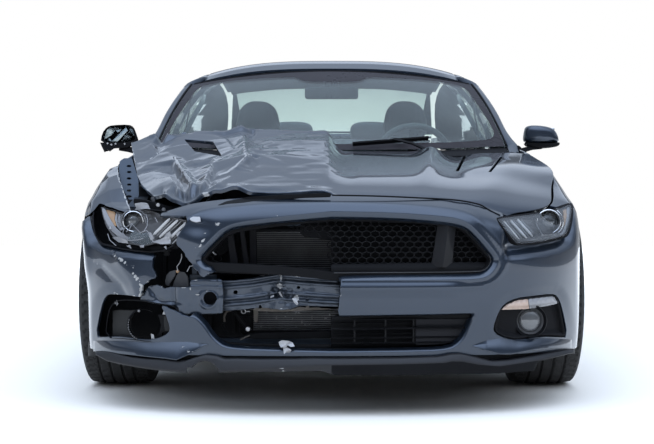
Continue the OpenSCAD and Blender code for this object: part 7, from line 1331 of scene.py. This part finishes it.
def seam_rb(P, N):
    x, y = P[:, 0], P[:, 1]; up = sst(.2, .7, N[:, 2]); d = -8 * np.exp(-((np.abs(x) - 62) / 9) ** 2) * up
    for q in (180, 300, 420): d = d - 4 * np.exp(-((np.abs(x) - q) / 8) ** 2) * up * (np.abs(y - 1080) < 130)
    return d
def sh_rb(V): V = V.copy(); V[:, 2] -= 16 * (np.exp(-((np.abs(V[:, 0]) - 300) / 140) ** 2)) * (V[:, 2] > 0); V[:, 2] += 12 * (V[:, 1] < -100) * (V[:, 2] > 0); return V
V, F = pad_mesh((0, 1100, 462), (585, 218, 62), 4.5, (30, 30, 30), sh_rb); puff("rear_cushion", V, F, "body_shell", "rear_bench", 12, seam_rb, voxel=.011)
def sh_rk(V): V = V.copy(); V[:, 1] += 14 * np.exp(-((np.abs(V[:, 0]) - 300) / 140) ** 2) * (V[:, 1] < 0); V[:, 1] += V[:, 2] * .17; return V
def seam_rk(P, N):
    x, z = P[:, 0], P[:, 2]; f_ = sst(.2, .7, -N[:, 1]); d = -8 * np.exp(-((np.abs(x) - 62) / 9) ** 2) * f_
    for zz in (620, 700, 780, 860): d = d - 4 * np.exp(-((z - zz) / 8) ** 2) * f_ * (np.abs(np.abs(x) - 300) < 150)
    return d
V, F = pad_mesh((0, 1285, 760), (568, 56, 290), 4.5, (30, 30, 30), sh_rk); puff("rear_backrest", V, F, "body_shell", (), 12, seam_rk, voxel=.011)
V, F = pad_mesh((222, 1345, 1076), (118, 34, 62), 3.2, (16, 16, 16)); r3 = puff("rear_headrest_left", V, F, "body_shell", (), 6, lambda P, N: -3 * np.exp(-((P[:, 2] - 1040) / 7) ** 2)); dup(r3, "rear_headrest_right", -444, "body_shell")
tr_ = []
for sg in (1, -1):
    x0 = sg * sx; tr_ += [(rbox((x0 - 206, 110, 216), (x0 - 176, 520, 250), 6), 0), (rbox((x0 + 176, 110, 216), (x0 + 206, 520, 250), 6), 0), (rbox((x0 - 190, 150, 250), (x0 + 190, 480, 284), 10), 0), (rbox((x0 + sg * 236, 230, 250), (x0 + sg * 252, 560, 360), 7), 0)]
    for q in (-34, 34): tr_.append((tube([(x0 + q + sg * 6, 690, 1000), (x0 + q + sg * 6, 704, 1040)], 6, 10), 1))
    # belt and its upper guide on the side pillar
    P_ = [(sg * 716, 470, 1206), (sg * 722, 452, 1130), (sg * 740, 436, 1040), (sg * 756, 430, 900), (sg * 768, 436, 700), (sg * 770, 440, 420)]; tr_.append((sweep(P_, [(-1.2, -23), (1.2, -23), (1.2, 23), (-1.2, 23)], up=(0, 1, 0)), 2)); tr_.append((rbox((sg * 714 - 8, 440, 1180), (sg * 714 + 8, 500, 1236), 6), 3)); tr_.append((bar3((sg * 731, 428, 1096), (sg * 746, 424, 1000), 6, 4), 4))
    tr_.append((rbox((sg * 560 - 14, 500, 300), (sg * 560 + 14, 520, 420), 5), 3)) if False else None
tr_ = [t for t in tr_ if t is not None]
multi("seat_runners_and_belts", tr_, [M_BLACK, M_CHROME, plastic_mat("belt_webbing", c=(0.03, 0.03, 0.032), rough=0.8, grain=1600, strength=0.8), M_GRAIN, M_CHROME], slot="cabin_plastic", angle=35)
# fascia panel
def dashf(S, W):
    K = np.array([[-648, 700], [-652, 780], [-644, 846], [-600, 894], [-520, 906], [-430, 909], [-362, 896], [-330, 866], [-312, 806], [-322, 700], [-360, 636], [-430, 600]], float); i = np.clip(np.floor(W).astype(int), 0, 10); t = W - i; E_ = np.concatenate([[2 * K[0] - K[1]], K, [2 * K[-1] - K[-2]]]); Q = cr(E_[i], E_[i + 1], E_[i + 2], E_[i + 3], t[..., None]); x = S * 688
    hood_ = np.exp(-((x - 380) / 150) ** 4) * np.exp(-((W - 5.6) / 1.1) ** 2); cen = np.exp(-(x / 110) ** 4) * sst(6, 8, W); y = Q[..., 0] + 8 * np.abs(S) ** 3 * 4 * 0 - 18 * hood_ * 0 + 10 * cen; z = Q[..., 1] - 10 * np.abs(S) ** 4 - 16 * (1 - hood_) * np.exp(-((W - 5.2) / 1.6) ** 2) - 3 * np.exp(-((W - 6.7) / .25) ** 2)
    return np.stack([x, y, z], -1)
S_, W_ = np.meshgrid(np.linspace(-1, 1, 90), np.linspace(0, 10.99, 80), indexing="ij"); A = dashf(S_, W_); N = normals_of(dashf, S_, W_); V, F = thick_grid(A, A - N * 8); dsh = [((V, F), 0)]
c0 = np.array([380, -318, 845.0])
for dx in (-62, 62): dsh.append((ringy(c0 + [dx, 8, -10], 48, 5), 1)); dsh.append((revolve([(6, 0), (6, 46), (10, 46), (10, 0)], c0 + [dx, 0, -10], "y", 36, close=False), 2))
for x in (-600, -60, 60, 600): dsh.append((ringy(np.array([x, -318, 800.0]), 34, 5), 1)); [dsh.append((rbox((x - 31, -322, 800 + k * 12 - 1.5), (x + 31, -310, 800 + k * 12 + 1.5), 1, 1), 2)) for k in (-2, -1, 0, 1, 2)]
dsh.append((rbox((-92, -340, 640), (92, -306, 770), 10), 2)); dsh.append((rbox((-80, -308, 690), (80, -303, 760), 3), 3)); [dsh.append((revolve([(0, 0), (0, 13), (14, 12), (16, 0)], (x, -306, 664), "y", 20, close=False), 1)) for x in (-60, -20, 20, 60)]
dsh.append((rbox((-660, -330, 700), (-200, -308, 770), 8), 0)); dsh.append((rbox((-88, -300, 420), (88, 560, 560), 30, 4), 0)); dsh.append((rbox((-80, 120, 548), (80, 500, 600), 22, 4), 4)); dsh.append((revolve([(0, 0), (0, 26), (10, 30), (40, 10), (90, 9), (96, 20), (110, 22), (122, 14), (124, 0)], (20, 30, 556), "z", 24, close=False), 3))
multi("dash_panel", dsh, [M_DASH, M_CHROME, M_BLACK, M_GLOSSB, M_LEATHER], rep="dashboard", slot="cabin_plastic", angle=35)
# steering wheel: rim with grip swells, three spokes and a plain boss
st_ = []; na = 96; rm = []
for i in range(na):
    a = 2 * math.pi * i / na; sw = 1 + .10 * math.exp(-((math.degrees(a) % 360 - 35) / 12) ** 2) + .10 * math.exp(-((math.degrees(a) % 360 - 145) / 12) ** 2); rm.append([[(172 + 14.6 * sw * math.cos(q)) * math.cos(a), (172 + 14.6 * sw * math.cos(q)) * math.sin(a), 14.6 * sw * math.sin(q)] for q in [2 * math.pi * k / 14 for k in range(14)]])
st_.append((loft(rm + [rm[0]], True), 0))
for a0 in (0, 180, 270):
    R2 = []
    for t in np.linspace(0, 1, 10): rad_ = lerp(30, 166, t); wd = lerp(26, 14, t) if a0 != 270 else lerp(30, 20, t); R2.append([[rad_, -wd, -9 + 3 * t], [rad_, -wd + 4, 6], [rad_, wd - 4, 6], [rad_, wd, -9 + 3 * t], [rad_, 0, -13 + 5 * t]])
    V, F = loft(R2, True, True); c, s_ = math.cos(math.radians(a0)), math.sin(math.radians(a0)); st_.append(((np.stack([V[:, 0] * c - V[:, 1] * s_, V[:, 0] * s_ + V[:, 1] * c, V[:, 2]], -1), F), 1))
    V, F = loft([[[r_, -6, 6.4], [r_, 6, 6.4], [r_, 6, 8], [r_, -6, 8]] for r_ in np.linspace(70, 150, 6)], True, True); st_.append(((np.stack([V[:, 0] * c - V[:, 1] * s_, V[:, 0] * s_ + V[:, 1] * c, V[:, 2]], -1), F), 3))
st_.append((revolve([(-19, 0), (-19, 40), (-6, 52), (10, 56), (17, 48), (19.5, 30), (20, 0)], (0, 0, 0), "z", 40, close=False), 0)); st_.append((ringy((0, 0, 0), 1, .1), 3)) if False else None
R3 = np.array(Matrix.Rotation(math.radians(-65), 3, "X")) @ np.diag([1, 1, 1.0]); st_ = [((np.asarray(p[0]) @ R3.T + [380, -150, 882], p[1]), k) for p, k in st_ if p is not None]
multi("wheel_grip", st_, [M_LEATHER, M_BLACK, M_CHROME, M_BEZEL], "steering_wheel", "steering_wheel", slot="seat_trim", angle=40)
# rear-view mirror on the windscreen, sun visors, roof lining, rear shelf
rv = [(rbox((-124, -196, 1164), (124, -164, 1222), 15, 4), 0), (rbox((-112, -166, 1172), (112, -161, 1214), 2), 1), (tube([(0, -180, 1216), (0, -150, 1240), (0, -110, 1262)], 9, 12), 0), (rbox((-34, -150, 1238), (34, -84, 1268), 9, 3, rotm((1, 0, 0), 24)), 0)]
for sg in (1, -1): rv.append((rbox((sg * 330 - 170, -8, 1262), (sg * 330 + 170, 140, 1276), 6, 2, rotm((1, 0, 0), 8)), 2))
S_, T_ = np.meshgrid(np.linspace(-.95, .95, 30), np.linspace(.03, .97, 24), indexing="ij"); A = roof(S_, T_) + [0, 0, -34]; V, F = thick_grid(A, A + [0, 0, 6.0]); rv.append(((V, F), 2))
rv.append((rbox((-560, 1392, 1022), (560, 1700, 1038), 6), 3)); [rv.append((revolve([(0, 0), (0, 60), (4, 62), (6, 56), (6, 0)], (sg * 380, 1540, 1037), "z", 30, close=False), 0)) for sg in (1, -1)]
multi("cabin_lining", rv, [M_BLACK, M_CHROME, plastic_mat("headlining", c=(0.09, 0.09, 0.088), rough=0.95, grain=1500, strength=0.8), M_CARPET], slot="cabin_plastic", angle=35)
cp = []
for sg in (1, -1): cp.append((rbox((sg * 420 - 320, -930, 212), (sg * 420 + 320, 820, 222), 4), 0)); cp.append((rbox((sg * 420 - 210, -560, 222), (sg * 420 + 210, 40, 230), 4), 1)); cp.append((rbox((sg * 420 - 190, -540, 229), (sg * 420 + 190, 20, 232), 1), 0))
for x, w_ in ((300, 28), (385, 40)): cp.append((bar3((x, -640, 470), (x, -600, 330), 12, 10), 1)); cp.append((rbox((x - w_, -606, 290), (x + w_, -590, 340), 5, 2), 1))
multi("floor_carpet", cp, [M_CARPET, M_BLACK], slot="cabin_plastic", angle=35)

# ---------------------------------------------------------------- door mirrors
MO = smooth_poly([(525.6, 131), (527.3, 125.2), (540, 125), (553.2, 127.2), (558, 131.6), (560.7, 139), (560, 142.4), (551, 143.6), (540, 143), (527, 142.4), (524.6, 140)], 2)
def shell_rings(o, secs, cx, cy):
    R_ = []
    for y, k, ky in secs:
        R_.append([[(cx + (a - cx) * k - 331.5) * 4.455, y, 700 + (199.3 - (cy + (b - cy) * ky)) * 4.455] for a, b in o])
    return R_
sc_ = [(-474, .30, .28), (-473, .52, .50), (-469, .72, .70), (-462, .86, .85), (-452, .945, .94), (-438, .985, .985), (-420, 1.0, 1.0), (-396, .995, .995), (-378, .985, .98), (-372, .96, .94), (-380, .93, .90), (-400, .90, .88)]
V, F = loft(shell_rings(MO, sc_, 543, 134.4), True, True); V = V + np.stack([0 * V[:, 0], 26 * sst(925, 1020, V[:, 0]) * (V[:, 1] < -385), 0 * V[:, 0]], -1)
make("mirror_cap_left", V, F, M_PAINT, "door_left", "mirror_left", attrs={"wear": np.zeros(len(V))}, angle=50, slot="paint")
MB = smooth_poly([(525, 142), (540, 142.8), (552, 143.2), (560.4, 141.8), (560.2, 145), (556, 147), (540, 148.4), (528, 146.6)], 1)
V1 = loft(shell_rings(MB, [(-462, .8, .6), (-456, .97, .95), (-440, 1, 1), (-380, 1, 1), (-374, .96, .9)], 543, 144.6), True, True); ml = [(V1, 0)]
ml.append((rbox((872, -374, 948), (1006, -368, 1022), 8, 3), 1)); 
arm = [[[x, y - w_, z - h_], [x, y + w_, z - h_], [x, y + w_ * .8, z + h_], [x, y - w_ * .8, z + h_]] for x, y, z, w_, h_ in ((940, -428, 934, 22, 9), (900, -430, 930, 24, 9), (872, -434, 924, 27, 11), (850, -440, 914, 32, 15), (836, -444, 905, 40, 22))]
ml.append((loft(arm, True, True), 0)); ml.append((rbox((806, -500, 886), (842, -392, 934), 8, 3), 0))
multi("mirror_base_left", ml, [M_BLACK, M_CHROME], "door_left", slot="black_plastic", angle=40)
def PXR(px, py, y): s = (y + 7237) / 1520; return np.array([(px - 331.5) * s, y, 700 + (199.3 - py) * s])
OR_ = smooth_poly([(100.4, 143), (102.2, 133), (107, 127), (112, 125.2), (128.9, 124.5), (133.6, 127), (136, 133), (138, 139.6), (133, 142.4), (118, 144.2)], 1)
def frame_ring(o, y0, y1, k0, cx=119.5, cy=134.8):
    R_ = []
    for a, b in o: ia, ib = cx + (a - cx) * k0, cy + (b - cy) * k0; R_.append([PXR(a, b, y0), PXR(a, b, y1), PXR(ia, ib, y1 - 10), PXR(ia, ib, y0 + 6)])
    return loft(R_ + [R_[0]], True)
mr_ = [(frame_ring(OR_, -462, -372, .88), 0)]
A_ = [PXR(a, b, -398) for a, b in OR_]; c_ = np.mean(A_, 0); n_ = len(A_); mr_.append(((np.concatenate([A_, [c_ + [0, -6, 0]], np.array(A_) + [0, 10, 0], [c_ + [0, 10, 0]]]), [[k, n_, (k + 1) % n_][::-1] for k in range(n_)] + [[n_ + 1 + (k + 1) % n_, 2 * n_ + 1, n_ + 1 + k][::-1] for k in range(n_)] + [[k, (k + 1) % n_, n_ + 1 + (k + 1) % n_, n_ + 1 + k] for k in range(n_)]), 0))
yf = lambda d: (lambda x, z: -440.0 + d + 0 * x + 0 * z)
def SH(pts, d, k): mr_.append(shard(pts, yf(d), k, 2.0, 0, 6))
for pts, d, k in (([(103, 140), (105.6, 131.4), (110, 128), (117, 128.4), (111.6, 135)], 0, 2), ([(111, 142), (126, 127.4), (128, 130.6), (116.4, 142.6)], -10, 2), ([(113, 127.4), (125.4, 126.4), (118, 132.4)], 6, 2), ([(120, 140.6), (126, 134), (131.6, 137), (129, 142)], 4, 2), ([(128, 127), (132.4, 128.6), (134.6, 136), (130, 134.4)], 8, 2), ([(104.6, 142.2), (109, 137), (112, 141.4)], 2, 2), ([(129.4, 126), (131, 125.6), (133.4, 133), (132, 134)], -8, 3)): SH(pts, d, k)
for pts in ([(112, 142), (126.4, 127)], [(104, 141), (109, 129), (118, 127.6)], [(118, 127.4), (121, 134), (130, 138)], [(103.4, 137), (112, 134), (116, 128)], [(122, 141.6), (127, 133.6), (133.6, 131)]): mr_.append((tube([PXR(a, b, -452) for a, b in pts], 1.3, 5, up=(0, 1, 0.01)), 3))
for a, b in ((111.5, 144.6), (115.6, 143.8), (124.8, 144), (107.6, 143.4)): mr_.append((revolve([(-4, 0), (-4, 4), (2, 5), (2, 0)], PXR(a, b, -462), "y", 10, close=False), 1))
low = smooth_poly([(100, 142.6), (112, 142.4), (124, 142.8), (137, 139.4), (137.6, 143.6), (128, 147.6), (114, 148.6), (110, 151.6), (107.4, 149.4), (104.6, 152.4), (102.6, 148.4)], 0); mr_.append((loft([[PXR(118 + (a - 118) * k, 144.6 + (b - 144.6) * k, y) for a, b in low] for y, k in ((-462, .9), (-456, 1), (-384, 1), (-376, .94))], True, True), 0))
mr_.append((loft([[[-x, y - w_, z - h_], [-x, y + w_, z - h_], [-x, y + w_ * .8, z + h_], [-x, y - w_ * .8, z + h_]] for x, y, z, w_, h_ in ((950, -424, 930, 20, 12), (910, -430, 924, 24, 13), (876, -434, 916, 27, 14), (852, -440, 908, 32, 17), (836, -444, 902, 40, 22))], True, True), 0)); mr_.append((rbox((-842, -500, 886), (-806, -392, 934), 8, 3), 0))
mr_.append((tube([PXR(134, 137, -420), PXR(137.2, 137.6, -424), PXR(137.8, 140, -420), PXR(134.8, 141.6, -416)], 3.4, 8, up=(0, 1, 0.01)), 0)); mr_.append((tube([PXR(104, 148, -440), PXR(106, 151, -444), PXR(109.4, 150, -440)], 3.2, 8, up=(0, 1, 0.01)), 0))
multi("mirror_broken_right", mr_, [M_BLACK, M_STEEL, metal_mat("shattered_mirror", (0.30, 0.34, 0.34), 0.12, dirt=0.3), M_SHARD], "door_right", "mirror_right", slot="black_plastic", angle=30)
CAD_MATS = {"engine_block": M_CAST, "knuckle_left": M_CAST, "knuckle_right": M_CAST, "exhaust": M_EXH, "bumper_beam": M_BEAM, "radiator": M_FIN, "front_structure": M_PAINT_IN, "floor_pan": M_CHASSIS,
            "subframes": M_CHASSIS, "tyre_front_left": M_TYRE, "tyre_front_right": M_TYRE, "tyre_rear_left": M_TYRE, "tyre_rear_right": M_TYRE,
            "rim_front_left": M_RIM, "rim_front_right": M_RIM, "rim_rear_left": M_RIM, "rim_rear_right": M_RIM, "front_seats": M_LEATHER, "rear_bench": M_LEATHER, "dashboard": M_DASH, "steering_wheel": M_LEATHER,
            "headlight_left": M_BOWL, "headlight_right": M_BOWL, "mirror_left": M_PAINT, "mirror_right": M_BLACK}
# ---------------------------------------------------------------- camera, light, floor
cam_d = bpy.data.cameras.new("camera"); cam = bpy.data.objects.new("camera", cam_d); coll.objects.link(cam); scene.camera = cam
cam_d.sensor_width = 36.0; cam_d.lens = 83.67; cam_d.clip_end = 200
cam.location = (0.0, -7.237, 0.700)
cam.rotation_euler = (math.radians(90 - 0.856), 0, math.radians(0.17))
fl = bpy.data.meshes.new("floor"); R = 16.0
ang = [2 * math.pi * k / 96 for k in range(96)]; rr_ = [0.0, 2.0, 5.0, 9.0, R]; fv, ff = [(0, 0, -0.0005)], []
for r_ in rr_[1:]: fv += [(r_ * math.cos(a), r_ * math.sin(a), -0.0005) for a in ang]
for k in range(96): ff.append([0, 1 + k, 1 + (k + 1) % 96])
for q_ in range(3):
    for k in range(96): a_, b_ = 1 + q_ * 96 + k, 1 + q_ * 96 + (k + 1) % 96; ff.append([a_, a_ + 96, b_ + 96, b_])
fl.from_pydata(fv, [], ff)
floor = bpy.data.objects.new("floor", fl); coll.objects.link(floor)
fm = Mat("floor_pale_far_glow"); fn_ = fm.noise(1.5, 3); fc = fm.mix(fn_, 0, (0.93, 0.88, 0.80), (0.95, 0.90, 0.82)); fm.col(fc, 2); fm.set(Roughness=0.9)
# the floor glows as painted light: none within about 2 m of its middle, rising to half strength from 9 m out, so the
# far floor reads white
gr = fm.n("TexGradient", gradient_type="SPHERICAL"); mp_ = fm.n("Mapping"); mp_.inputs["Scale"].default_value = (1 / 9.0, 1 / 9.0, 1 / 9.0); fm.l(fm.tc, "Object", mp_, 0); fm.l(mp_, 0, gr, 0)
far_floor_glow = fm.ramp(gr, 0, [(0.0, 0.50), (0.22, 0.46), (0.55, 0.20), (0.75, 0.0)], "EASE"); fm.b.inputs["Emission Color"].default_value = (1, 1, 1, 1); fm.l(far_floor_glow, 0, fm.b, "Emission Strength"); fl.materials.append(fm.m)
def light(name, loc, target, size, power, col=(1, 1, 1)):
    d = bpy.data.lights.new(name, "AREA"); d.shape = "RECTANGLE"; d.size, d.size_y = size; d.energy = power; d.color = col
    o = bpy.data.objects.new(name, d); coll.objects.link(o); o.location = loc; o.visible_glossy = False
    o.rotation_euler = (Vector(target) - Vector(loc)).to_track_quat("-Z", "Y").to_euler(); return o
light("top", (0, -1.0, 6.0), (0, -0.5, 0), (8, 10), 105)
light("front_left", (-5.5, -6.0, 3.2), (0, -1.6, 0.5), (3, 2.2), 26)
light("front_right", (5.5, -6.0, 3.4), (0, -1.6, 0.5), (3, 2.2), 32)
light("rear", (0, 7.5, 4.0), (0, 1, 0.6), (6, 2.5), 60)
w = bpy.data.worlds.new("studio"); scene.world = w; w.use_nodes = True; nt = w.node_tree; nt.nodes.clear()
NN = lambda k, **kw: (lambda x: ([setattr(x, a, v) for a, v in kw.items()], x)[1])(nt.nodes.new("ShaderNode" + k))
wo = NN("OutputWorld"); bg = NN("Background"); bg2 = NN("Background"); mx = NN("MixShader"); lp_ = NN("LightPath")
tcw = NN("TexCoord"); sp = NN("SeparateXYZ"); mr = NN("MapRange"); my = NN("MapRange", interpolation_type="SMOOTHSTEP"); mc = NN("Mix", data_type="RGBA")
nt.links.new(tcw.outputs["Generated"], sp.inputs[0]); nt.links.new(sp.outputs[2], mr.inputs[0]); mr.inputs[1].default_value = -1; mr.inputs[2].default_value = 1
nt.links.new(sp.outputs[1], my.inputs[0]); my.inputs[1].default_value = -0.35; my.inputs[2].default_value = 0.35; nt.links.new(my.outputs[0], mc.inputs[0])
def wramp(stops, inp):
    rp = NN("ValToRGB"); e = rp.color_ramp.elements
    while len(e) < len(stops): e.new(0.5)
    for q, (el, v) in zip(e, stops):
        q.position = 0.5 + 0.5 * math.sin(math.radians(el)); b_ = float(np.clip((el - 4) / 16, 0, 1)); q.color = (v * (0.93 - 0.15 * b_), v * (0.98 - 0.05 * b_), v * (1.06 + 0.12 * b_), 1)
    nt.links.new(mr.outputs[0], rp.inputs[0]); nt.links.new(rp.outputs[0], inp)
wramp([(-90, 0.3), (-3, 0.30), (1, 0.20), (14, 0.22), (22, 0.70), (36, 2.0), (60, 2.6), (90, 2.7)], mc.inputs[6])
wramp([(-90, 0.3), (-2, 0.35), (7.0, 0.45), (8.6, 0.09), (12.0, 0.08), (13.6, 0.85), (17, 0.72), (23, 0.34), (40, 0.66), (60, 0.9), (90, 2.4)], mc.inputs[7])
nt.links.new(mc.outputs[2], bg.inputs[0]); bg.inputs[1].default_value = 1.0
bg2.inputs[0].default_value = (1, 1, 1, 1); bg2.inputs[1].default_value = 1.0
nt.links.new(lp_.outputs["Is Camera Ray"], mx.inputs[0]); nt.links.new(bg.outputs[0], mx.inputs[1]); nt.links.new(bg2.outputs[0], mx.inputs[2]); nt.links.new(mx.outputs[0], wo.inputs[0])
scene.view_settings.view_transform = "Standard"
# every remaining CAD node gets its finish
for nme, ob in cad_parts.items():
    mt = CAD_MATS.get(nme, M_CHASSIS); ob.data.materials.clear(); ob.data.materials.append(mt)
